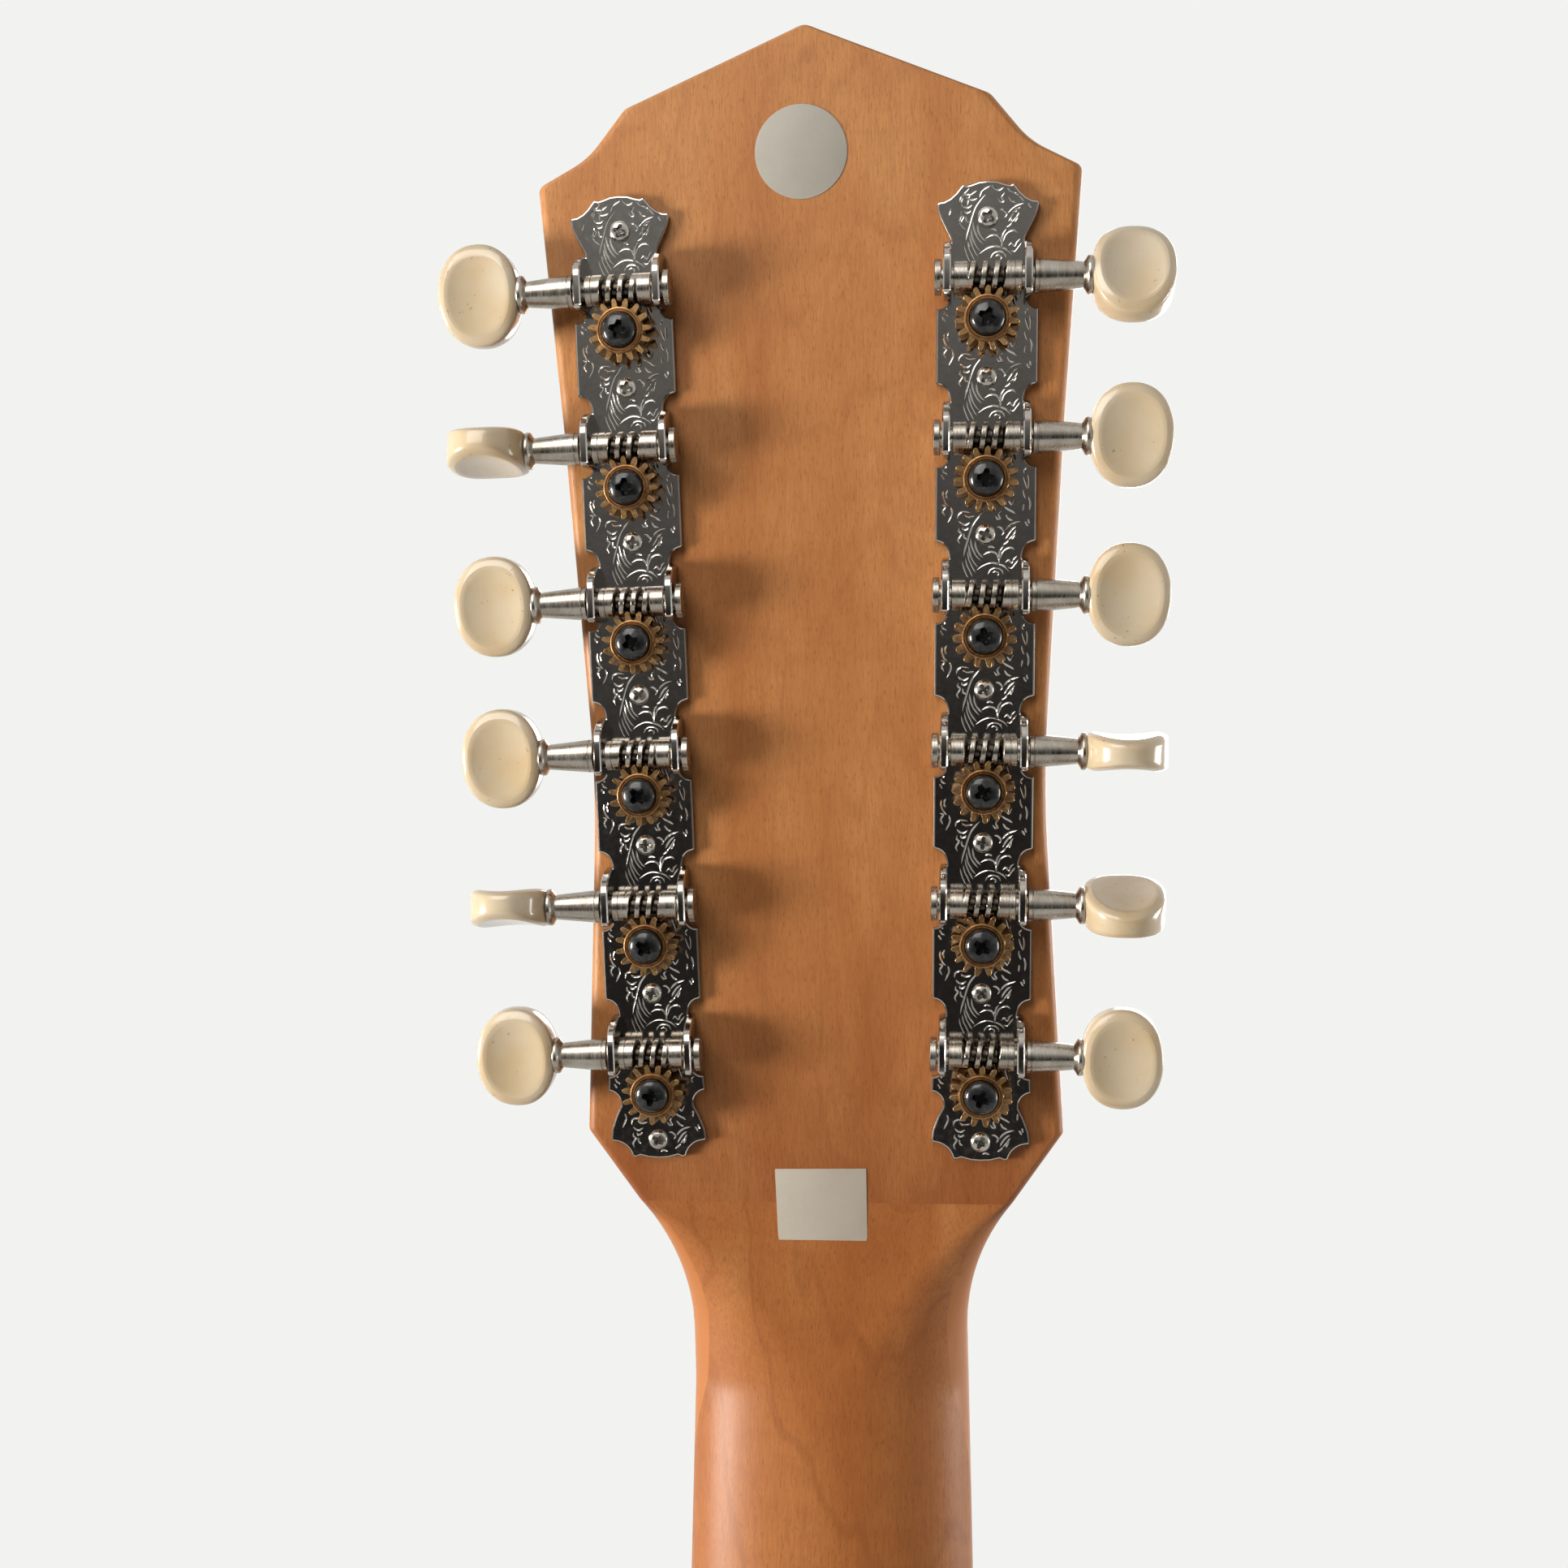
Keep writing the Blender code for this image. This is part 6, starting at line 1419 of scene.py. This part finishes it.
# Gears and posts
# A machined brass gear sits on each steel string post, held by a black domed screw with a cross recess.
GEAR_HALF_THICKNESS, HUB_RADIUS = 0.0015, 0.0034
GEAR_LOW, GEAR_HIGH = WORM_HEIGHT - GEAR_HALF_THICKNESS, WORM_HEIGHT + GEAR_HALF_THICKNESS
SCREW_SEAT = 0.0060
VENEER_THICKNESS = 0.0015
FACE = HEAD_THICKNESS + GAP + VENEER_THICKNESS
# One tooth's flank: (radius, half width) in millimetres
FLANK = ((3.70, 0.54), (3.90, 0.47), (4.30, 0.44), (4.70, 0.40), (4.92, 0.33), (5.06, 0.20), (5.12, 0.07))


def gear_mesh():
    """The gear, its teeth leaning with the worm's thread, and its hub underneath."""
    work = bmesh.new()
    worm_pitch_radius = CENTRE_DISTANCE - GEAR_PITCH_RADIUS
    lean = GEAR_HALF_THICKNESS * PITCH / (2 * math.pi * worm_pitch_radius) / GEAR_PITCH_RADIUS

    def ring(height, turn, shrink=0.0):
        points = []
        for tooth in range(TEETH):
            middle = math.pi / 2 + turn + 2 * math.pi * tooth / TEETH
            for sign, flank in ((-1, FLANK), (1, FLANK[::-1])):
                for radius, half_width in flank:
                    radius -= shrink
                    angle = middle + sign * (half_width - shrink) / radius
                    points.append((radius / 1000 * math.cos(angle), radius / 1000 * math.sin(angle), height))
        return points

    rows = bridged(work, new_rows(work, [
        ring(GEAR_HIGH, -lean, 0.05), ring(GEAR_HIGH - 0.00006, -lean), ring(GEAR_LOW + 0.00006, lean),
        ring(GEAR_LOW, lean, 0.05)]))
    for rim in (rows[0], rows[-1]):
        start, step = math.atan2(rim[0].co.y, rim[0].co.x), 2 * math.pi / len(rim)
        hub = [(HUB_RADIUS * math.cos(start + step * i), HUB_RADIUS * math.sin(start + step * i), rim[0].co.z)
               for i in range(len(rim))]
        bridged(work, [rim] + new_rows(work, [hub]))
    low, hub = GEAR_LOW * 1000, HUB_RADIUS * 1000
    lathe(work, [(low - 0.2, hub), (low - 1.2, hub - 0.3), (low - 1.2, 0)], 32)
    return mesh_of(work, "gear")


def brass(name, colour, dull):
    """Machined brass under a thin uneven film."""
    made, tree = new_finish(name, Metallic=1.0)
    film = noise(tree, stretched(tree), 500, 4, 0.6)
    fine = noise(tree, stretched(tree), 3000, 2, 0.6)
    return dressed(made, stained(tree, colour, film, 0.9, 0.35, 0.7, dull),
                   level(tree, fine, 0.26, 0.46, 0.3, 0.7))


BRASS = brass("machined_brass", (0.50, 0.30, 0.135), (0.27, 0.15, 0.06))
COLLAR_BRASS = brass("collar_brass", (0.36, 0.19, 0.08), (0.19, 0.085, 0.03))
made, tree = new_finish("blackened_screw", Metallic=0.6, Roughness=0.22, Coat_Weight=0.3)
wear = noise(tree, stretched(tree), 900, 3, 0.6)
BLACK_SCREW = dressed(made, ramp(tree, wear, ((0.45, (0.012, 0.012, 0.013)), (0.75, (0.05, 0.048, 0.045)))))
gear = gear_mesh()
# The ring pressed on the gear, with one turned line
collar = turned("gear_collar", (
    (5.50, 3.66), (5.86, 3.66), (6.00, 3.60), (6.05, 3.50), (6.05, 3.36), (5.95, 3.31), (5.95, 3.25),
    (6.06, 3.20), (6.06, 2.95), (5.98, 2.88), (5.50, 2.88), (5.50, 3.66)), 48)
# The post through the headstock, slightly waisted where the string is coiled, with a rounded end
post = turned("post", (
    (1.2, 0.0), (1.2, 2.9), (-20.2, 2.98), (-22.3, 2.95), (-23.2, 2.62), (-28.2, 2.60), (-29.6, 2.85),
    (-33.6, 2.98), (-34.6, 2.9), (-35.15, 2.55), (-35.3, 2.0), (-35.3, 0.0)), 28)
gear_screw = recessed_head(0.00280, 0.0003, 0.00118, 0.00145, 0.00098, 0.00125)
for side, number, place in tuner_frames():
    turn = math.radians(KEY_TURNS[side][number])
    half_tooth = 0 if side > 0 else math.pi / TEETH
    gear_frame = place @ Matrix.Rotation(-side * turn / TEETH + half_tooth, 4, "Z")
    screw_frame = gear_frame @ Matrix.Translation((0, 0, SCREW_SEAT)) @ Matrix.Rotation(
        0.35 + 1.9 * number + 0.8 * side, 4, "Z")
    name = f"gear_{SIDES[side]}_{number + 1}"
    parts = [(gear, BRASS, gear_frame), (collar, COLLAR_BRASS, gear_frame), (post, SHAFT_PLATE, gear_frame),
             (gear_screw, BLACK_SCREW, screw_frame)]
    piece(name, joined(parts), None, f"{SIDES[side]}_gear_{number + 1}", [f"tuner_{name}"], angle=30)

# Post ferrules
# Pressed nickel rings in the headstock's face, round the posts.
ferrule = turned("ferrule", ((0.0, 4.7), (0.45, 4.7), (0.75, 4.55), (1.0, 4.1), (1.12, 3.6), (1.05, 3.25),
                             (0.85, 3.12), (0.0, 3.12), (0.0, 4.7)), 32)
for side, label in SIDES.items():
    ring_row = row_of(f"ferrules_{label}", ferrule, SCREW_PLATE, POSTS, (0, -gear_height(POSTS - 1), 0),
                      (0, -POST_PITCH, 0), 8)
    on_face = Matrix.Translation((0, 0, -FACE - 0.00005)) @ Matrix.Rotation(math.pi, 4, "X")
    piece(f"post_ferrules_{label}", ring_row, SCREW_PLATE, "guitar", angle=40,
          place=strip_frame(side) @ on_face)

# Strings
# Six pairs of steel strings, the thicker ones wound with bronze wire. Each is coiled on its post, runs
# over the nut and the saddle, and dives into the bridge beside its pin.
STRING_ABOVE_FACE = 0.0070
SADDLE_CONTACT = 0.01154
COIL_RADIUS, COIL_RISE, COIL_STEPS = 0.00262, 1.06, 22
WOUND_ABOVE, THICK_ABOVE = 0.0004, 0.0009     # string diameters


def eased(points, reach, steps=4):
    """A line whose corners are rounded within a reach."""
    line = [points[0]]
    for before, corner, after in zip(points, points[1:], points[2:]):
        start = corner + (before - corner) * min(0.4, reach / (before - corner).length)
        end = corner + (after - corner) * min(0.4, reach / (after - corner).length)
        line += [start.lerp(corner, share).lerp(corner.lerp(end, share), share)
                 for share in (step / steps for step in range(steps + 1))]
    return line + [points[-1]]


def string_mesh(name, path, radius, sides=10):
    """A tube along a path, with its length and its turn as its UV map."""
    rings, lengths = [], []
    normal = (path[1] - path[0]).orthogonal().normalized()
    for index, spot in enumerate(path):
        along = (path[min(index + 1, len(path) - 1)] - path[max(index - 1, 0)]).normalized()
        normal = (normal - along * normal.dot(along)).normalized()
        other = along.cross(normal)
        rings.append([spot + radius * (math.cos(2 * math.pi * i / sides) * normal
                                       + math.sin(2 * math.pi * i / sides) * other) for i in range(sides)])
        lengths.append(lengths[-1] + (spot - path[index - 1]).length if index else 0.0)
    work = skin(rings)
    along_uv = work.loops.layers.uv.new("along")
    work.faces.ensure_lookup_table()
    for number, face in enumerate(work.faces[:-2]):
        row, side = divmod(number, sides)
        for corner, (up, turn) in zip(face.loops, ((0, 0), (0, 1), (1, 1), (1, 0))):
            corner[along_uv].uv = (lengths[row + up], (side + turn) / sides)
    return mesh_of(work, name)


def string_finish(name, colour, dull, roughness, wire, wound):
    """String metal: plain drawn wire, or wound with fine wire across its length, with painted shade between
    the turns.
    """
    made, tree = new_finish(name, Metallic=1.0)
    cloud = noise(tree, stretched(tree, (1, 1, 0.1)), 900, 3, 0.6)
    base = stained(tree, colour, cloud, 0.8, 0.4, 0.7, dull)
    place = node(tree, "ShaderNodeUVMap", uv_map="along").outputs["UV"]
    turns = node(tree, "ShaderNodeTexWave", {"Vector": place, "Scale": 0.314 / wire}).outputs["Fac"]
    if wound:
        # Between the winding's turns the colour is painted darker, as shade in the crevices
        base = blended(tree, level(tree, turns, 0.65, 0.0, 0.0, 0.5), base, dimmed(colour, 0.25))
    return dressed(made, base, level(tree, cloud, roughness, roughness * 1.5, 0.3, 0.7), turns,
                   0.8 if wound else 0.05, wire * 0.4)


PLAIN_WIRE = string_finish("plain_wire", (0.60, 0.60, 0.60), (0.42, 0.41, 0.40), 0.20, 0.00008, False)
WOUND_WIRE = string_finish("bronze_winding", (0.62, 0.38, 0.19), (0.46, 0.26, 0.12), 0.26, 0.00026, True)
post_frames = {(side, number): place for side, number, place in tuner_frames()}
for index, diameter in enumerate(STRING_DIAMETERS):
    side, number = (1, 5 - index) if index < 6 else (-1, index - 6)
    post_frame = post_frames[side, number]
    radius = diameter / 2
    turns = 2.2 if diameter > THICK_ABOVE else 3.2

    def on_post(x, y, turned):
        return post_frame @ Vector((x, y, -FACE - STRING_ABOVE_FACE - COIL_RISE * diameter * turned))

    path = [on_post(0, 0, turns)]
    for step in range(int(turns * COIL_STEPS), -1, -1):
        turn = 2 * math.pi * step / COIL_STEPS
        out = COIL_RADIUS + radius + 0.00068 * max(0, 1 - turn / 1.2)
        path.append(on_post(-side * out * math.cos(turn), out * math.sin(turn), step / COIL_STEPS))
    nut_x, saddle_x = string_x(index, NUT_SPACINGS), string_x(index, SADDLE_SPACINGS)
    saddle_z = SADDLE_Z + math.tan(SADDLE_SLANT) * saddle_x
    end_z = SADDLE_Z - PIN_ROWS[index % 2][1] + PIN_RADIUS + GAP + radius
    bridge_y = GLUE_Y - GAP - BRIDGE_HEIGHT
    path += eased([path.pop(), *(Vector(spot) for spot in (
        (nut_x, GLUE_Y - STRING_AT_NUT, NUT_Z), (nut_x, GLUE_Y - STRING_AT_NUT, BOARD_TOP_Z),
        (saddle_x, GLUE_Y - SADDLE_CONTACT - radius, saddle_z), (saddle_x, bridge_y - radius * 0.6, end_z),
        (saddle_x, bridge_y + 0.003, end_z - 0.0004)))], 0.0012)
    finish = WOUND_WIRE if diameter > WOUND_ABOVE else PLAIN_WIRE
    name = f"string_{index + 1:02d}"
    piece(name + "_wire", string_mesh("string", path, radius), finish, "guitar", [name],
          angle=60)

# Strap button
# A turned nickel button screwed into the tail block, for the strap's end.
STRAP_STEPS = ((12.5, 0.0), (12.5, 5.6), (12.2, 6.5), (11.6, 6.95), (10.8, 7.0), (10.1, 6.7), (8.6, 4.6),
               (7.2, 3.7), (5.2, 3.5), (3.0, 3.8), (1.4, 5.2), (0.6, 5.9), (0.35, 6.0), (0.35, 0.0))
button_y = (GLUE_Y + TOP_THICKNESS + back_face_y(BODY_LENGTH) - BACK_THICKNESS) / 2
strap_place = Matrix.Translation((0, button_y, BODY_Z - BODY_LENGTH)) @ Matrix.Rotation(math.pi, 4, "X")
STRAP_SCREW_SEAT = 0.0119
strap_screw = recessed_head(0.0036, 0.0001, 0.0006, 0.0019, 0.0011, 0.0012)
screw_place = strap_place @ Matrix.Translation((0, 0, STRAP_SCREW_SEAT))
strap_button = joined([(turned("strap_button", STRAP_STEPS, 40), SCREW_PLATE, strap_place),
                       (strap_screw, SCREW_PLATE, screw_place)])
piece("strap_button_metal", strap_button, None, "guitar", ["strap_button"], angle=35)

# Stickers
# A round and a square paper sticker, both blank, stuck on the headstock's back and rubbed by handling.
STICKER_THICKNESS = 0.00012


def sticker(name, outline, at, colour, seed):
    rings = [[(x, y, height) for x, y in loop] for loop, height in (
        (outline, 0.0), (outline, STICKER_THICKNESS * 0.7),
        (inset(outline, STICKER_THICKNESS), STICKER_THICKNESS))]
    made, tree = new_finish(name + "_paper", Roughness=0.55, Coat_Weight=0.2, Coat_Roughness=0.3)
    place = stretched(tree, at=(seed, 0, 0))
    fibres = noise(tree, place, 1400, 4, 0.7)
    smudge = noise(tree, place, 160, 3, 0.5)
    base = stained(tree, colour, smudge, 0.5, 0.4, 0.75, dimmed(colour, 0.86))
    base = stained(tree, base, fibres, 0.3, 0.5, 0.8, dimmed(colour, 0.80))
    piece(name, mesh_of(skin(rings), name), dressed(made, base, None, fibres, 0.1), "guitar",
          angle=30, place=BACK_FRAME @ Matrix.Translation((*at, 0.00001)))


sticker("round_sticker", arc((0, 0), 0.00745, 0, 360, 72)[:-1], (-0.0008, 0.1947), (0.352, 0.327, 0.278), 0.3)
sticker("square_sticker", [(-0.0075, 0.0069), (-0.0071, -0.0073), (0.0079, -0.0068), (0.0079, 0.0071)][::-1],
        (-0.0007, 0.0208), (0.42, 0.37, 0.305), 0.7)

# Studio
# The camera stands where the photographer stood, square to the headstock's back, with soft light from
# its left. A pale paper floor carries the object's shadow.
CAMERA_TURN = (0.0893385, -0.0984078, 0.00998558)
CAMERA_SHIFT = (4.43856, 15.12925, 311.27433)     # in millimetres, from the strips' middle
SENSOR_WIDTH, FOCAL_PIXELS, PICTURE_PIXELS = 36, 2331.1, 1932
rx, ry, rz = (Matrix.Rotation(angle, 3, axis) for angle, axis in zip(CAMERA_TURN, "XYZ"))
to_camera = rz @ ry @ rx
eye = to_camera.transposed() @ Vector((-CAMERA_SHIFT[0], -CAMERA_SHIFT[1], CAMERA_SHIFT[2])) / 1000
camera = shown("camera", bpy.data.cameras.new("camera"))
camera.data.lens = SENSOR_WIDTH * FOCAL_PIXELS / PICTURE_PIXELS
camera.data.clip_start = 0.01
camera.matrix_world = BACK_FRAME @ Matrix.Translation(STRIPS_MIDDLE) @ Matrix.Translation(eye) @ \
    to_camera.transposed().to_4x4()
bpy.context.scene.camera = camera


def lamp(name, at, towards, size, power, colour=(1, 1, 1)):
    data = bpy.data.lights.new(name, "AREA")
    data.shape, data.size, data.energy, data.color = "SQUARE", size, power, colour
    made = shown(name, data)
    aim = (Vector(towards) - Vector(at)).to_track_quat("-Z", "Y")
    made.matrix_world = Matrix.Translation(at) @ aim.to_matrix().to_4x4()
    return made


def from_back(x, y, z):
    """A spot in the room, measured on the headstock's back as the photographer sees it."""
    return BACK_FRAME @ Vector((x, y, z))


HEAD_MIDDLE = from_back(0, 0.11, 0)
lamp("key_softbox", from_back(-0.70, 0.03, 0.29), HEAD_MIDDLE, 0.20, 8.9, (1.0, 0.97, 0.92))
lamp("near_top_softbox", from_back(-0.22, 0.58, 0.43), HEAD_MIDDLE, 0.45, 2.95, (1.0, 0.98, 0.95))
lamp("edge_softbox", from_back(0.75, 0.02, -0.10), HEAD_MIDDLE, 0.35, 4.0)
lamp("front_softbox", (-0.9, -1.9, 0.6), (0, 0, -0.45), 1.6, 45)
body_lamp = lamp("body_softbox", (0.25, 1.95, -0.66), (0, 0.1, -0.70), 0.6, 2.3)
body_lamp.data.spread = math.radians(30)
body_lamp.visible_glossy = False

# Metal mirrors the pale studio and, where the photographer stands, the darker room
BACKGROUND = (0.888, 0.896, 0.871)
ROOM = (0.030, 0.028, 0.027)


def studio_rays(tree):
    """Whether a ray is mirrored or passes through, and whether it is that or comes from the camera."""
    rays = node(tree, "ShaderNodeLightPath").outputs
    mirrored = reckon(tree, "MAXIMUM", rays["Is Glossy Ray"], rays["Is Transmission Ray"])
    return mirrored, reckon(tree, "MAXIMUM", rays["Is Camera Ray"], mirrored)


world = bpy.data.worlds.new("studio")
bpy.context.scene.world = world
world.use_nodes = True
tree = world.node_tree
tree.nodes.clear()
mirrored, seen = studio_rays(tree)
direction = node(tree, "ShaderNodeTexCoord").outputs["Generated"]
to_room = from_back(0, -0.45, 1.0) - from_back(0, 0, 0)
facing = node(tree, "ShaderNodeVectorMath", {0: direction, 1: to_room.normalized()}, operation="DOT_PRODUCT")
room = reckon(tree, "MULTIPLY", level(tree, facing.outputs["Value"], 0.0, 1.0, 0.45, 0.94), mirrored)
pale = node(tree, "ShaderNodeBackground", {"Color": blended(tree, room, BACKGROUND, ROOM), "Strength": 1.0})
soft = node(tree, "ShaderNodeBackground", {"Color": (1.0, 0.98, 0.95, 1), "Strength": 0.075})
either = node(tree, "ShaderNodeMixShader", {0: seen, 1: soft.outputs[0], 2: pale.outputs[0]})
tree.links.new(either.outputs[0], node(tree, "ShaderNodeOutputWorld").inputs["Surface"])

# The floor is paper that melts into the pale studio at its rim
FLOOR_RADIUS, FLOOR_BELOW = 1.3, 0.0005
work = bmesh.new()
bmesh.ops.create_circle(work, cap_ends=True, segments=96, radius=FLOOR_RADIUS)
floor = shown("floor", mesh_of(work, "floor"))
floor.location = (0, 0, cad_box[0][2] - FLOOR_BELOW)
made, tree = new_finish("floor_paper", Roughness=0.9, Base_Color=(0.80, 0.80, 0.78, 1))
away = node(tree, "ShaderNodeVectorMath", {0: node(tree, "ShaderNodeTexCoord").outputs["Object"]},
            operation="LENGTH").outputs["Value"]
mirrored, seen = studio_rays(tree)
melted = reckon(tree, "MULTIPLY", level(tree, away, 0.55, 1.0, 0.25, 1.2), seen)
glow = node(tree, "ShaderNodeEmission", {"Color": (*BACKGROUND, 1), "Strength": 1.0})
either = node(tree, "ShaderNodeMixShader", {
    0: melted, 1: tree.nodes["Principled BSDF"].outputs[0], 2: glow.outputs[0]})
tree.links.new(either.outputs[0], tree.nodes["Material Output"].inputs["Surface"])
floor.data.materials.append(made)

scene = bpy.context.scene
scene.view_settings.view_transform = "Standard"
